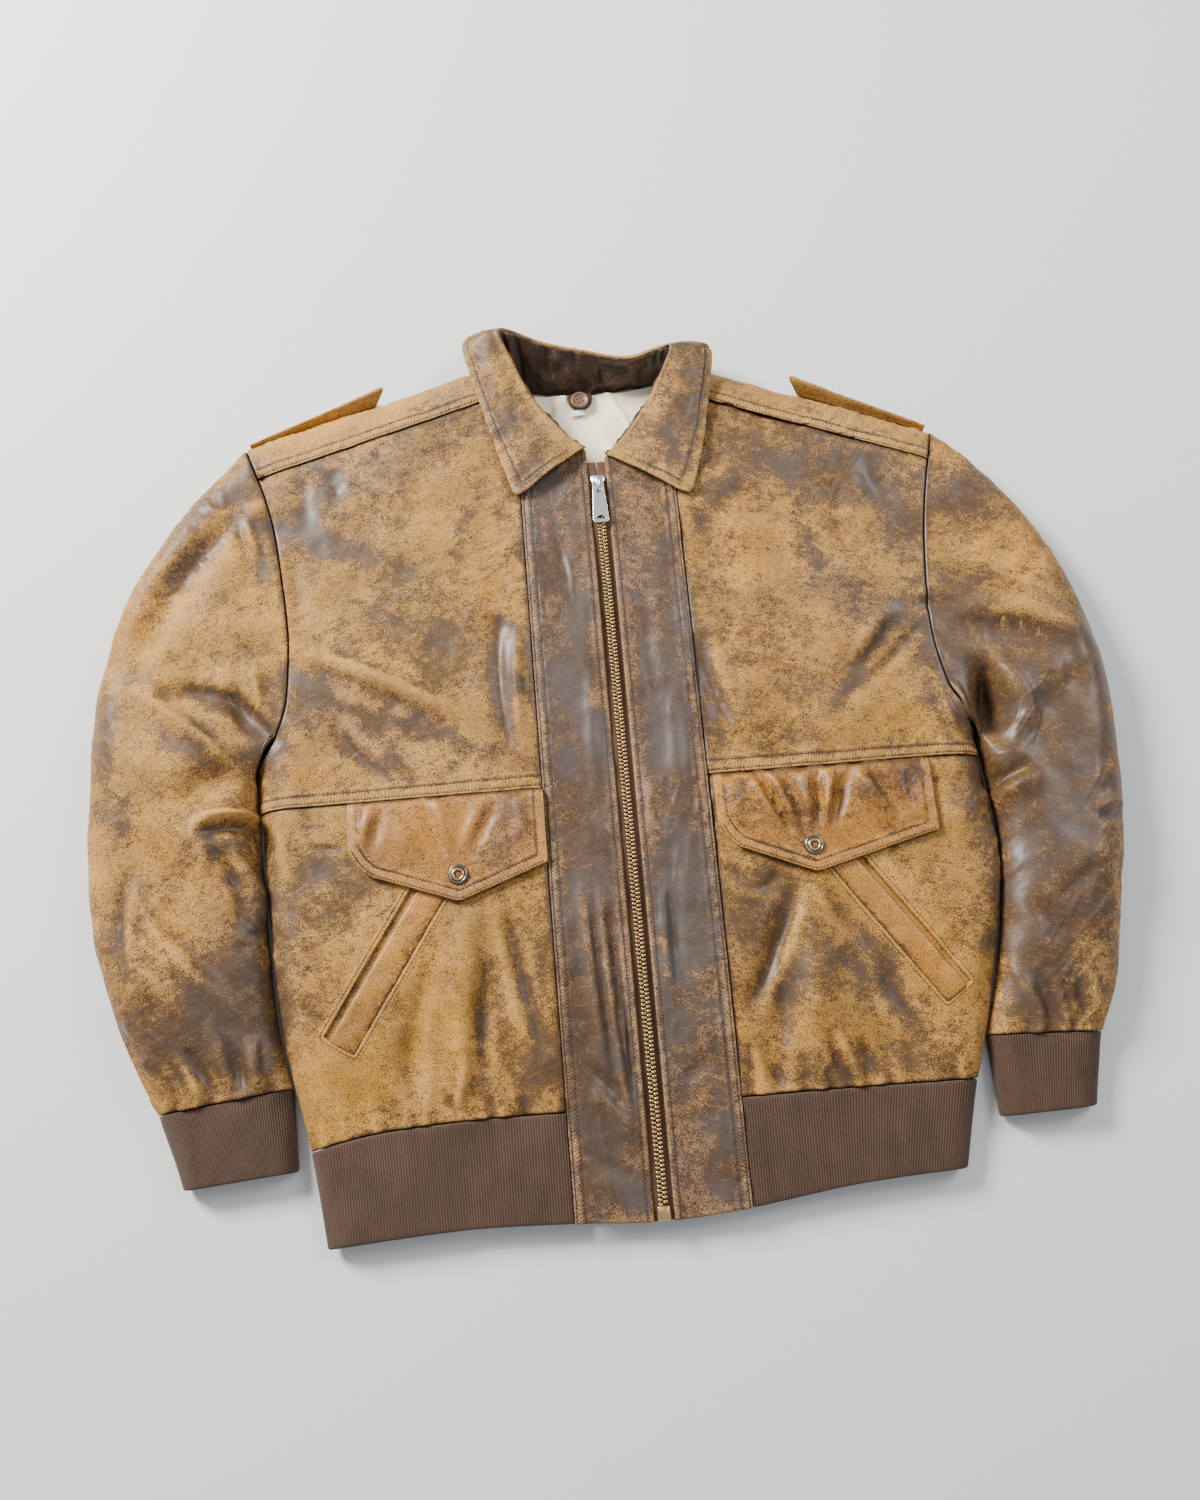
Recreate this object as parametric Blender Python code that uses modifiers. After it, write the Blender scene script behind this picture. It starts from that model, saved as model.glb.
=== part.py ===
"""Worn leather flight jacket, zipped up and laid flat on its back.

Metres. +X is the wearer's left, +Y runs from the hem to the collar and +Z is up. The origin is on the
flat underside of the back, under the middle of the zip. Every panel is a thin wall on one shared form:
a flattened tube for the body, and one for each sleeve.
"""

import math
from collections import namedtuple

import bmesh
import bpy
import numpy as np

# ---- driving sizes
LEATHER = 0.0020  # leather with its lining
KNIT = 0.0028  # rib knit, folded double
COLLAR_LEATHER = 0.0030  # two leathers and the stiffener between them
TAPE = 0.0010
SATIN = 0.0010
SEAM_GAP = 0.0003
SIDE_GAP = 0.0007  # along a folded edge, where walls turn past each other
RIB_GAP = 0.0008  # between leather and knit, which slopes
ARM_GAP = 0.0010  # at the armhole, where the walls lean together
EDGE_HEIGHT = 0.009  # where the front meets the back at a folded edge
UNDER_ROLL = 0.015  # how far in from an edge the underside is flat
CHEST_SEAM = 0.032
PLACKET_SEAM = 0.070
ZIP_EDGE = 0.008
SIDES = (("right", -1), ("left", 1))
ROLL_ANGLES = (34, 64, 86.5, 90)  # where a wall is cut as it turns down at an edge
# Shares of the way down the armhole, the same on the body and on the sleeve.
ARM_SHARES = (
    (0, 0.0005, 0.012, 0.05, 0.12, 0.22, 0.34, 0.46)
    + (0.58, 0.70, 0.80, 0.88, 0.945, 0.985, 0.9995, 1)
)
YOKE_STOP = 4  # the armhole stop where the yoke seam ends
UNDER_SHARES = (0, 0.0004, 0.012, 0.08, 0.28, 0.48, 0.68, 0.86, 0.96, 0.988, 0.9996, 1)
UNDER_YOKE_STOP = 3  # and where it ends on the underside
ROW_STOPS = (0, 0.0001, 0.0030, 0.015)  # how far in from an edge the underside is cut
PANEL_CELLS = 9  # rows of cells between the rib and the chest seam
RIB_CELLS = 3

Body = namedtuple("Body", "y right left crown")
BODY = (
    Body(-0.330, 0.262, 0.236, 0.0160),
    Body(-0.235, 0.277, 0.262, 0.0220),
    Body(-0.150, 0.297, 0.290, 0.0275),
    Body(-0.050, 0.306, 0.310, 0.0305),
    Body(0.040, 0.312, 0.307, 0.0315),
    Body(0.150, 0.316, 0.303, 0.0315),
    Body(0.260, 0.318, 0.303, 0.0305),
    Body(0.360, 0.318, 0.303, 0.0295),
    Body(0.460, 0.318, 0.303, 0.0285),
)
HemLine = namedtuple("HemLine", "x bottom top")
BACK_NECK_Y = 0.416
NECK_HALF = 0.080
BACK_STOPS = (0.80, 0.55, 0.27, 0.13)  # where a row of the back is cut, as shares of its half width
HEM = (
    HemLine(-0.300, -0.322, -0.250),
    HemLine(-0.230, -0.3165, -0.236),
    HemLine(-0.140, -0.313, -0.231),
    HemLine(-0.070, -0.3155, -0.231),
    HemLine(0.000, -0.3195, -0.231),
    HemLine(0.070, -0.315, -0.231),
    HemLine(0.150, -0.305, -0.231),
    HemLine(0.290, -0.299, -0.233),
)
# The fold along the top of each shoulder: at the neck and at the sleeve, and the lowest armhole point.
Shoulder = namedtuple("Shoulder", "neck_x neck_y tip_x tip_y underarm_y")
SHOULDER = {
    "right": Shoulder(0.088, 0.447, 0.320, 0.378, 0.066),
    "left": Shoulder(0.088, 0.436, 0.311, 0.346, 0.048),
}
SHOULDER_ROLL = 0.032
# The shoulder strap's section: how far behind the fold, and its height at the sleeve and at its free end.
StrapPoint = namedtuple("StrapPoint", "behind low high")
STRAP = (
    StrapPoint(0.000, 0.010, 0.011),
    StrapPoint(0.006, 0.016, 0.023),
    StrapPoint(0.012, 0.016, 0.027),
    StrapPoint(0.017, 0.011, 0.018),
    StrapPoint(0.020, 0.003, 0.003),
)
STRAP_START, STRAP_LENGTH, STRAP_POINT, STRAP_CLEAR = 0.004, 0.134, 0.014, 0.0025
STRAP_CELLS = 7
Armhole = namedtuple("Armhole", "share right left")  # how far the seam curves in from a straight line
ARMHOLE = (
    Armhole(0.00, 0.000, 0.000),
    Armhole(0.20, 0.020, 0.015),
    Armhole(0.45, 0.031, 0.026),
    Armhole(0.70, 0.034, 0.028),
    Armhole(0.87, 0.025, 0.018),
    Armhole(1.00, 0.000, 0.000),
)
# Sleeve stations after the armhole: the edge along the body by its y, the outer edge, and the height.
Station = namedtuple("Station", "inner_y outer_x outer_y height")
SLEEVE = {
    "right": (
        Station(0.048, 0.384, 0.308, 0.036),
        Station(0.030, 0.431, 0.224, 0.041),
        Station(0.006, 0.4545, 0.120, 0.043),
        Station(-0.025, 0.457, 0.030, 0.042),
        Station(-0.070, 0.451, -0.055, 0.039),
        Station(-0.118, 0.434, -0.126, 0.035),
        Station(-0.160, 0.415, -0.172, 0.030),
        Station(-0.195, 0.397, -0.207, 0.024),
    ),
    "left": (
        Station(0.036, 0.362, 0.286, 0.036),
        Station(0.020, 0.402, 0.214, 0.040),
        Station(-0.002, 0.4275, 0.120, 0.042),
        Station(-0.032, 0.429, 0.035, 0.040),
        Station(-0.072, 0.418, -0.045, 0.037),
        Station(-0.118, 0.401, -0.118, 0.033),
        Station(-0.162, 0.388, -0.166, 0.028),
        Station(-0.200, 0.371, -0.204, 0.023),
    ),
}
SLEEVE_HEAD_HEIGHT = 0.032
SLEEVE_ROLL = 0.42  # the widest its rolled edges may be, as a share of its width
SLEEVE_CUTS = (0, 0.3, 0.6, 1, 1.6, 2.3, 3, 3.7, 4.4, 5.2, 6, 7)  # the stations where it is cut
UNDER_CELLS = 5
SLEEVE_CLEAR = 0.0025  # between the sleeve's inner edge and the side of the body
Cuff = namedtuple("Cuff", "inner_x inner_y outer_x outer_y height")
CUFF = {
    "right": Cuff(0.286, -0.259, 0.377, -0.266, 0.019),
    "left": Cuff(0.277, -0.264, 0.357, -0.262, 0.019),
}
CUFF_DROP = 0.001  # how much lower than the sleeve's end the cuff starts
CUFF_ROWS, CUFF_CELLS = 3, 14
CUFF_ROLL = 0.9  # the width of its rolled edge, as a share of its height
CUFF_EDGE = 0.7 * EDGE_HEIGHT
CUFF_UNDER = 0.7 * UNDER_ROLL
CUFF_STOPS = (0.0006, 0.004)
# The largest folds, each a soft ridge, or a trough where its height is negative.
Fold = namedtuple("Fold", "x0 y0 x1 y1 width height")
BODY_FOLDS = (
    Fold(-0.095, -0.235, -0.125, -0.070, 0.018, -0.0040),
    Fold(-0.150, -0.240, -0.150, -0.065, 0.020, 0.0045),
    Fold(-0.205, -0.240, -0.190, -0.120, 0.018, -0.0035),
    Fold(0.098, -0.235, 0.125, -0.070, 0.018, -0.0045),
    Fold(0.150, -0.240, 0.150, -0.070, 0.020, 0.0045),
    Fold(0.215, -0.235, 0.185, -0.110, 0.018, -0.0035),
    Fold(-0.290, 0.165, -0.105, 0.090, 0.022, 0.0045),
    Fold(-0.110, 0.060, -0.088, 0.180, 0.016, 0.0035),
    Fold(0.275, 0.175, 0.165, 0.055, 0.024, -0.0045),
    Fold(0.105, 0.290, 0.100, 0.110, 0.018, -0.0030),
)
SLEEVE_FOLDS = {
    "right": (
        Fold(-0.330, 0.320, -0.430, 0.140, 0.018, -0.0070),
        Fold(-0.310, 0.075, -0.385, 0.035, 0.016, -0.0090),
        Fold(-0.330, -0.010, -0.435, 0.110, 0.024, 0.0065),
        Fold(-0.325, -0.095, -0.430, 0.030, 0.020, -0.0060),
        Fold(-0.345, -0.170, -0.430, -0.060, 0.020, 0.0050),
    ),
    "left": (
        Fold(0.285, 0.185, 0.390, 0.160, 0.018, 0.0060),
        Fold(0.300, 0.140, 0.385, 0.110, 0.018, -0.0060),
        Fold(0.300, 0.085, 0.345, 0.045, 0.018, -0.0130),
        Fold(0.325, 0.010, 0.410, 0.090, 0.022, -0.0065),
        Fold(0.330, -0.110, 0.415, -0.030, 0.022, 0.0055),
    ),
}


# ---- the shared form
def through(table, key, name, at):
    """A smooth curve through a table's rows: each stretch is a cubic with slopes from its neighbours."""
    xs = np.array([getattr(row, key) for row in table], float)
    ys = np.array([getattr(row, name) for row in table], float)
    return curve(xs, ys, at)


def curve(xs, ys, at):
    slopes = np.gradient(ys, xs)
    at = np.clip(at, xs[0], xs[-1])
    i = np.clip(np.searchsorted(xs, at, side="right") - 1, 0, len(xs) - 2)
    step = xs[i + 1] - xs[i]
    t = (at - xs[i]) / step
    rise = ys[i] * (2 * t**3 - 3 * t**2 + 1) + ys[i + 1] * (3 * t**2 - 2 * t**3)
    return rise + step * (slopes[i] * (t**3 - 2 * t**2 + t) + slopes[i + 1] * (t**3 - t**2))


def quarter(share):
    """0 at an edge, rising as a quarter ellipse to 1 at share 1 and past it."""
    return np.sqrt(1 - (1 - np.clip(share, 0, 1)) ** 2)


def side_of(x):
    return "right" if x < 0 else "left"


def half_width(side, y):
    return through(BODY, "y", side, y)


def shoulder_fold(side, x):
    s = SHOULDER[side]
    return s.neck_y + (x - s.neck_x) * (s.tip_y - s.neck_y) / (s.tip_x - s.neck_x)


def folds(table, x, y):
    """Each fold is a bell across its line, and fades to nothing at both ends."""
    total = 0.0
    for f in table:
        dx, dy = f.x1 - f.x0, f.y1 - f.y0
        length = math.hypot(dx, dy)
        along = ((x - f.x0) * dx + (y - f.y0) * dy) / length**2
        across = ((x - f.x0) * dy - (y - f.y0) * dx) / length
        fade = math.sin(math.pi * min(1, max(0, along)))
        total += f.height * math.exp(-((across / f.width) ** 2)) * fade
    return total


def edge_distance(side, x, y):
    """How far a point is in from the body's folded side, which ends at the underarm."""
    under = SHOULDER[side].underarm_y
    gap = float(half_width(side, min(y, under))) - x
    return max(0, gap) if y <= under else math.hypot(max(0, gap), y - under)


def body_top(x, y):
    """Height of the outside of the front."""
    side, out = side_of(x), abs(x)
    crown = float(through(BODY, "y", "crown", y))
    roll = float(quarter(edge_distance(side, out, y) / (1.15 * crown)))
    roll *= float(quarter((shoulder_fold(side, out) - y) / SHOULDER_ROLL))
    low = EDGE_HEIGHT + SIDE_GAP / 2
    return low + (crown - low + folds(BODY_FOLDS, x, y)) * roll


def body_under(x, y):
    """Height of the outside of the back: flat, and turned up to meet the front at the edges."""
    side, out = side_of(x), abs(x)
    roll = float(quarter(edge_distance(side, out, y) / UNDER_ROLL))
    roll *= float(quarter((shoulder_fold(side, out) - y) / UNDER_ROLL))
    return (EDGE_HEIGHT - SIDE_GAP / 2) * (1 - roll)


def armhole(side, share):
    """The plan point (distance from the middle, y) at this share of the way down the armhole."""
    s = SHOULDER[side]
    low_x = float(half_width(side, s.underarm_y))
    x = s.tip_x + (low_x - s.tip_x) * share - float(through(ARMHOLE, "share", side, share))
    return x, s.tip_y + (s.underarm_y - s.tip_y) * share


def row_out(inner, outer, roll, flat_cells):
    """Plan points from inner to outer, closer together where the wall turns down at the outer end."""
    inner, outer = np.array(inner), np.array(outer)
    length = np.linalg.norm(outer - inner)
    flat = [(length - roll) * i / flat_cells for i in range(flat_cells + 1)]
    turned = [length - roll + roll * math.sin(math.radians(a)) for a in ROLL_ANGLES]
    return [inner + (outer - inner) * d / length for d in flat + turned]


# ---- making objects
def clear_scene():
    for obj in list(bpy.data.objects):
        bpy.data.objects.remove(obj, do_unlink=True)


def collection(name):
    made = bpy.data.collections.new(name)
    bpy.context.scene.collection.children.link(made)
    return made


def material(name, colour, roughness, metallic=0.0):
    made = bpy.data.materials.new(name)
    made.use_nodes = True
    shader = made.node_tree.nodes["Principled BSDF"]
    shader.inputs["Base Color"].default_value = (*colour, 1)
    shader.inputs["Roughness"].default_value = roughness
    shader.inputs["Metallic"].default_value = metallic
    return made


def put(name, mesh, where, finish):
    obj = bpy.data.objects.new(name, mesh)
    obj.data.materials.append(finish)
    where.objects.link(obj)
    return obj


def cloth(name, grid, thickness, finish, outside_up=True, ring=False):
    """A wall on a grid of outside points, rows by columns. A ring joins the last column to the first."""
    rows, columns = len(grid), len(grid[0])
    points = [tuple(p) for row in grid for p in row]
    faces = []
    for r in range(rows - 1):
        for c in range(columns if ring else columns - 1):
            d = (c + 1) % columns
            faces.append((r * columns + c, r * columns + d, (r + 1) * columns + d, (r + 1) * columns + c))
    mesh = bpy.data.meshes.new(name)
    mesh.from_pydata(points, [], faces)
    mesh.validate()
    upward = sum(p.normal.z * (p.center.z if ring else 1) * p.area for p in mesh.polygons)
    if (upward > 0) != outside_up:
        mesh.flip_normals()
    mesh.shade_smooth()
    obj = put(name, mesh, JACKET, finish)
    wall = obj.modifiers.new("wall", "SOLIDIFY")
    wall.thickness = thickness
    wall.offset = -1
    return obj


def turned(name, profile, finish, steps, place, tilt=0.0):
    """A solid of revolution about Z. The profile is (radius, height) pairs, from the top of its axis down."""
    mesh = bpy.data.meshes.new(name)
    mesh.from_pydata([(r, 0, z) for r, z in profile], [(i, i + 1) for i in range(len(profile) - 1)], [])
    obj = put(name, mesh, JACKET, finish)
    spin = obj.modifiers.new("spin", "SCREW")
    spin.steps = spin.render_steps = steps
    spin.use_merge_vertices = True
    spin.merge_threshold = 0.00001
    obj.location = place
    obj.rotation_euler = (tilt, 0, 0)
    return obj


def block(name, size, place, where, finish, turn=(0, 0, 0)):
    bpy.ops.mesh.primitive_cube_add(size=1, location=place, rotation=turn)
    obj = bpy.context.object
    obj.name = obj.data.name = name
    for vertex in obj.data.vertices:
        vertex.co = [a * b for a, b in zip(vertex.co, size)]
    obj.data.materials.append(finish)
    for old in obj.users_collection:
        old.objects.unlink(obj)
    where.objects.link(obj)
    return obj


def cut(obj, cutter):
    cutter.hide_render = True
    cutter.display_type = "WIRE"
    tool = obj.modifiers.new("cut", "BOOLEAN")
    tool.operation = "DIFFERENCE"
    tool.object = cutter


def rounded(obj, width, segments=2):
    bevel = obj.modifiers.new("rounded", "BEVEL")
    bevel.width = width
    bevel.segments = segments
    bevel.limit_method = "ANGLE"


# ---- front and back
def side_point(side, low, high, share):
    """The point on the folded side of the body this share of the way between two lines y(x)."""
    x = float(half_width(side, 0))
    for _ in range(4):  # the side's place and its height settle together
        y = low(x) + (high(x) - low(x)) * share
        x = float(half_width(side, y))
    return x, y


def plan_rows(inner_x, side, low, high, cells, flat_cells):
    """Rows of plan points between two lines y(x), from inner_x out to the folded side of the body."""
    rows = []
    for i in range(cells + 1):
        share = i / cells
        out, y = side_point(side, low, high, share)
        crown = float(through(BODY, "y", "crown", y))
        points = row_out((inner_x, 0), (out, 0), 1.15 * crown, flat_cells)
        rows.append([(x, low(x) + (high(x) - low(x)) * share) for x, _ in points])
    return rows


def lifted(rows, sign, height=body_top, lift=0.0):
    return [[(sign * x, y, height(sign * x, y) + lift) for x, y in row] for row in rows]


def hem_top(sign):
    return lambda x: float(through(HEM, "x", "top", sign * x))


def hem_bottom(sign):
    return lambda x: float(through(HEM, "x", "bottom", sign * x))


def chest_line(x):
    return CHEST_SEAM


def side_stops(side):
    """Heights of the points on the body's side between the chest seam and the underarm."""
    low = SHOULDER[side].underarm_y
    return CHEST_SEAM + SEAM_GAP, CHEST_SEAM + 0.5 * (low - CHEST_SEAM)


def front_lower(side, sign):
    """Pocket panel, from the rib up to the chest seam, with a slanted window for the welt pocket."""
    rows = plan_rows(PLACKET_SEAM + SEAM_GAP, side, hem_top(sign), chest_line, PANEL_CELLS, 7)
    obj = cloth("front_lower_" + side, lifted(rows, sign), LEATHER, TAN)
    window = WINDOW[side]
    tall = 0.060
    size = (window.width, window.length, tall)
    place = (sign * window.x, window.y, tall * 0.7)
    cut(obj, block("cutter_pocket_" + side, size, place, CUTTERS, TAN, (0, 0, sign * window.slant)))


def front_upper(side, sign):
    """Chest panel, from the chest seam to the yoke seam, with the armhole at its outer edge."""
    outer = [(float(half_width(side, y)), y) for y in side_stops(side)]
    outer += [armhole(side, share) for share in reversed(ARM_SHARES[YOKE_STOP:])]
    low, top = outer[0], outer[-1]
    inner_top = shoulder_fold(side, PLACKET_SEAM) - (shoulder_fold(side, top[0]) - top[1])
    rows = []
    for x, y in outer:
        inner_y = low[1] + (inner_top - low[1]) * (y - low[1]) / (top[1] - low[1])
        crown = float(through(BODY, "y", "crown", y))
        rows.append(row_out((PLACKET_SEAM + SEAM_GAP, inner_y), (x, y), 1.15 * crown, 6))
    cloth("front_upper_" + side, lifted(rows, sign), LEATHER, TAN)


def yoke(side, sign):
    """Shoulder strip: from the seam on the front, over the fold, and in under the back."""
    seam = armhole(side, ARM_SHARES[YOKE_STOP])
    ends = [(seam[0], seam[1] + 2 * SEAM_GAP)]
    ends += [armhole(side, share) for share in reversed(ARM_SHARES[:YOKE_STOP])]
    grid = [yoke_row(side, sign, end, body_top) for end in ends]
    for share in UNDER_SHARES[1 : UNDER_YOKE_STOP + 1]:
        grid.append(yoke_row(side, sign, armhole(side, share), body_under))
    cloth("yoke_" + side, grid, LEATHER, TAN)


def yoke_row(side, sign, end, height):
    """A row of the yoke, level with the shoulder fold, from the neck to its end at the armhole."""
    cells = 8
    drop = shoulder_fold(side, end[0]) - end[1]
    start_x = SHOULDER[side].neck_x - 0.35 * drop
    row = []
    for i in range(cells + 1):
        x = start_x + (end[0] - start_x) * i / cells
        y = shoulder_fold(side, x) - drop
        row.append((sign * x, y, height(sign * x, y)))
    return row


def neckline(side, x):
    """The front neck seam as y(x), from the zip out to the placket seam."""
    top = shoulder_fold(side, PLACKET_SEAM) - 0.045
    start = 0.344 if side == "right" else 0.336
    share = (x - ZIP_EDGE) / (PLACKET_SEAM - ZIP_EDGE)
    return start + (top - start) * share**1.15


def placket(side, sign):
    """Front band beside the zip, from the hem to the neck."""
    columns, rows = 3, 16
    grid = []
    for r in range(rows + 1):
        line = []
        for c in range(columns + 1):
            x = ZIP_EDGE + (PLACKET_SEAM - ZIP_EDGE) * c / columns
            low, high = hem_bottom(sign)(x), neckline(side, x)
            y = low + (high - low) * r / rows
            line.append((sign * x, y, body_top(sign * x, y)))
        grid.append(line)
    cloth("placket_" + side, grid, LEATHER, DARK)


def back():
    """Back panel, flat on the ground, between the rib, the sides, the armholes and the yoke."""
    halves = {}
    for side, sign in SIDES:
        low = hem_top(sign)
        ends = [side_point(side, low, chest_line, i / PANEL_CELLS) for i in range(PANEL_CELLS + 1)]
        middle = side_stops(side)[1]
        ends.append((float(half_width(side, middle)), middle))
        ends += [armhole(side, share) for share in reversed(UNDER_SHARES[UNDER_YOKE_STOP:])]
        x, y = ends[-1]
        ends[-1] = (x, y - 2 * SEAM_GAP)
        halves[side] = [half_row(side, sign, end) for end in ends]
    grid = []
    for right, left in zip(halves["right"], halves["left"]):
        mid_y = min(0.5 * (right[-1][1] + left[-1][1]), BACK_NECK_Y)
        points = right + [(0.0, mid_y)] + left[::-1]
        if not grid:
            points = [(x, float(through(HEM, "x", "top", x))) for x, _ in points]
        grid.append([(x, y, body_under(x, y)) for x, y in points])
    cloth("back", grid, LEATHER, TAN, outside_up=False)


def back_rise(side, x):
    """How far a row of the back climbs from its end to x: along the shoulder, then across the neck."""
    end_x, end_y = armhole(side, UNDER_SHARES[UNDER_YOKE_STOP])
    drop = shoulder_fold(side, end_x) - end_y
    along = shoulder_fold(side, max(x, NECK_HALF)) - drop
    return BACK_NECK_Y + (along - BACK_NECK_Y) * min(1, x / NECK_HALF) ** 2 - end_y


def half_row(side, sign, end):
    """Points from the end of a row of the back towards the middle, closer together near the end."""
    x, y = end
    s = SHOULDER[side]
    climb = max(0, (y - s.underarm_y) / (s.tip_y - s.underarm_y)) ** 1.5
    xs = [x - d for d in ROW_STOPS] + [(x - ROW_STOPS[-1]) * share for share in BACK_STOPS]
    return [(sign * v, y + climb * back_rise(side, v)) for v in xs]


def rib_front(side, sign):
    """Knit hem band on the front, between the placket and the side."""
    low, high = hem_bottom(sign), hem_top(sign)
    rows = plan_rows(PLACKET_SEAM + SEAM_GAP, side, low, lambda x: high(x) - RIB_GAP, RIB_CELLS, 7)
    cloth("hem_rib_" + side, lifted(rows, sign), KNIT, KNIT_BROWN)


def rib_back():
    """Knit hem band on the back."""
    grid = []
    for i in range(RIB_CELLS + 1):
        share = i / RIB_CELLS
        halves = {}
        for side, sign in SIDES:
            low, high = hem_bottom(sign), hem_top(sign)
            end = side_point(side, low, lambda x: high(x) - RIB_GAP, share)
            halves[side] = half_row(side, sign, end)
        xs = [x for x, _ in halves["right"]] + [0.0] + [x for x, _ in halves["left"]][::-1]
        row = []
        for x in xs:
            low = float(through(HEM, "x", "bottom", x))
            high = float(through(HEM, "x", "top", x)) - RIB_GAP
            y = low + (high - low) * share
            row.append((x, y, body_under(x, y)))
        grid.append(row)
    cloth("hem_rib_back", grid, KNIT, KNIT_BROWN, outside_up=False)


# ---- sleeves
def sleeve_edges(side, t):
    """Inner and outer edge points and the height, t stations from the armhole."""
    stations = SLEEVE[side]
    first = SHOULDER[side]
    ts = np.arange(len(stations) + 1.0)
    under = (float(half_width(side, first.underarm_y)), first.underarm_y)
    inner_y = np.array([under[1]] + [s.inner_y for s in stations])
    y = float(curve(ts, inner_y, t))
    x = float(half_width(side, y)) + SLEEVE_CLEAR * min(1, t * 4)
    outer_x = float(curve(ts, np.array([first.tip_x] + [s.outer_x for s in stations]), t))
    outer_y = float(curve(ts, np.array([first.tip_y] + [s.outer_y for s in stations]), t))
    height = float(curve(ts, np.array([SLEEVE_HEAD_HEIGHT] + [s.height for s in stations]), t))
    return np.array((x, y)), np.array((outer_x, outer_y)), height


def section_stops(width, roll, count):
    """Distances from one edge of a section to the other, closer together where it turns down."""
    turned = [roll * (1 - math.sin(math.radians(a))) for a in reversed(ROLL_ANGLES)] + [roll]
    between = count - 2 * len(turned)
    step = (width - 2 * roll) / (between + 1)
    middle = [roll + step * (i + 1) for i in range(between)]
    return turned + middle + [width - d for d in reversed(turned)]


def under_stops(width):
    """The same for the underside, which is flat but for its edges."""
    edge = list(ROW_STOPS)
    step = (width - 2 * edge[-1]) / UNDER_CELLS
    return edge + [edge[-1] + step * i for i in range(1, UNDER_CELLS)] + [width - d for d in reversed(edge)]


def sleeve_row(side, sign, t, top):
    """One section of a sleeve, from its outer edge to its edge along the body.

    It is the armhole seam itself at 0, and has become the sleeve's own flattened tube by 1.
    """
    first_in, first_out, _ = sleeve_edges(side, 0)
    inner, outer, height = sleeve_edges(side, t)
    width = float(np.linalg.norm(outer - inner))
    if top:
        shares, low, body = ARM_SHARES, EDGE_HEIGHT + SIDE_GAP / 2, body_top
        roll = min(height, SLEEVE_ROLL * width)
        stops = section_stops(width, roll, len(shares))
    else:
        shares, roll, low, body = UNDER_SHARES, UNDER_ROLL, EDGE_HEIGHT - SIDE_GAP / 2, body_under
        stops = under_stops(width)
    own = min(1.0, t) ** 2 * (3 - 2 * min(1.0, t))
    row = []
    for share, stop in zip(shares, stops):
        ax, ay = armhole(side, share)
        seam = np.array((ax, ay)) + ARM_GAP * armhole_outward(side, share)
        moved = seam + (outer + (inner - outer) * share) - (first_out + (first_in - first_out) * share)
        x, y = moved + (outer + (inner - outer) * stop / width - moved) * own
        tube = float(quarter(stop / roll) * quarter((width - stop) / roll))
        if top:
            z = low + (height - low + folds(SLEEVE_FOLDS[side], sign * x, y)) * tube
        else:
            z = low * (1 - tube)
        row.append((sign * x, y, z * own + body(sign * ax, ay) * (1 - own)))
    return row


def armhole_outward(side, share):
    """The direction across the armhole seam, away from the body."""
    step = 0.02
    a, b = armhole(side, max(0, share - step)), armhole(side, min(1, share + step))
    across = np.array((a[1] - b[1], b[0] - a[0]))
    return across / np.linalg.norm(across)


def sleeve(side, sign):
    """Upper and under sleeve, joined along both edges."""
    last = len(SLEEVE[side])
    ts = [*SLEEVE_CUTS, last]
    cloth("sleeve_upper_" + side, [sleeve_row(side, sign, t, True) for t in ts], LEATHER, TAN)
    under = [sleeve_row(side, sign, t, False) for t in ts]
    cloth("sleeve_under_" + side, under, LEATHER, TAN, outside_up=False)


def cuff(side, sign):
    """Knit cuff: a flattened tube that leaves the sleeve and narrows a little."""
    inner, outer, height = sleeve_edges(side, len(SLEEVE[side]))
    end = CUFF[side]
    low, high = np.array((end.inner_x, end.inner_y)), np.array((end.outer_x, end.outer_y))
    along = ((low + high) - (inner + outer)) / 2
    along /= np.linalg.norm(along)
    start_in, start_out = inner + along * RIB_GAP, outer + along * RIB_GAP
    rows = []
    for i in range(CUFF_ROWS + 1):
        share = i / CUFF_ROWS
        a, b = start_in + (low - start_in) * share, start_out + (high - start_out) * share
        tall = (height - CUFF_DROP) * (1 - share) + end.height * share
        rows.append(cuff_ring(a, b, tall, sign))
    cloth("cuff_" + side, rows, KNIT, KNIT_BROWN, ring=True)


def cuff_ring(a, b, tall, sign):
    width = float(np.linalg.norm(b - a))
    roll = CUFF_ROLL * tall
    ring = []
    for stop in section_stops(width, roll, CUFF_CELLS)[1:-1]:
        tube = float(quarter(stop / roll) * quarter((width - stop) / roll))
        p = b + (a - b) * stop / width
        ring.append((sign * p[0], p[1], CUFF_EDGE + (tall - CUFF_EDGE) * tube))
    ends = (*CUFF_STOPS, CUFF_UNDER)
    for stop in (*(width - end for end in ends), width / 2, *reversed(ends)):
        tube = float(quarter(stop / CUFF_UNDER) * quarter((width - stop) / CUFF_UNDER))
        p = b + (a - b) * stop / width
        ring.append((sign * p[0], p[1], CUFF_EDGE * (1 - tube)))
    return ring


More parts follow.
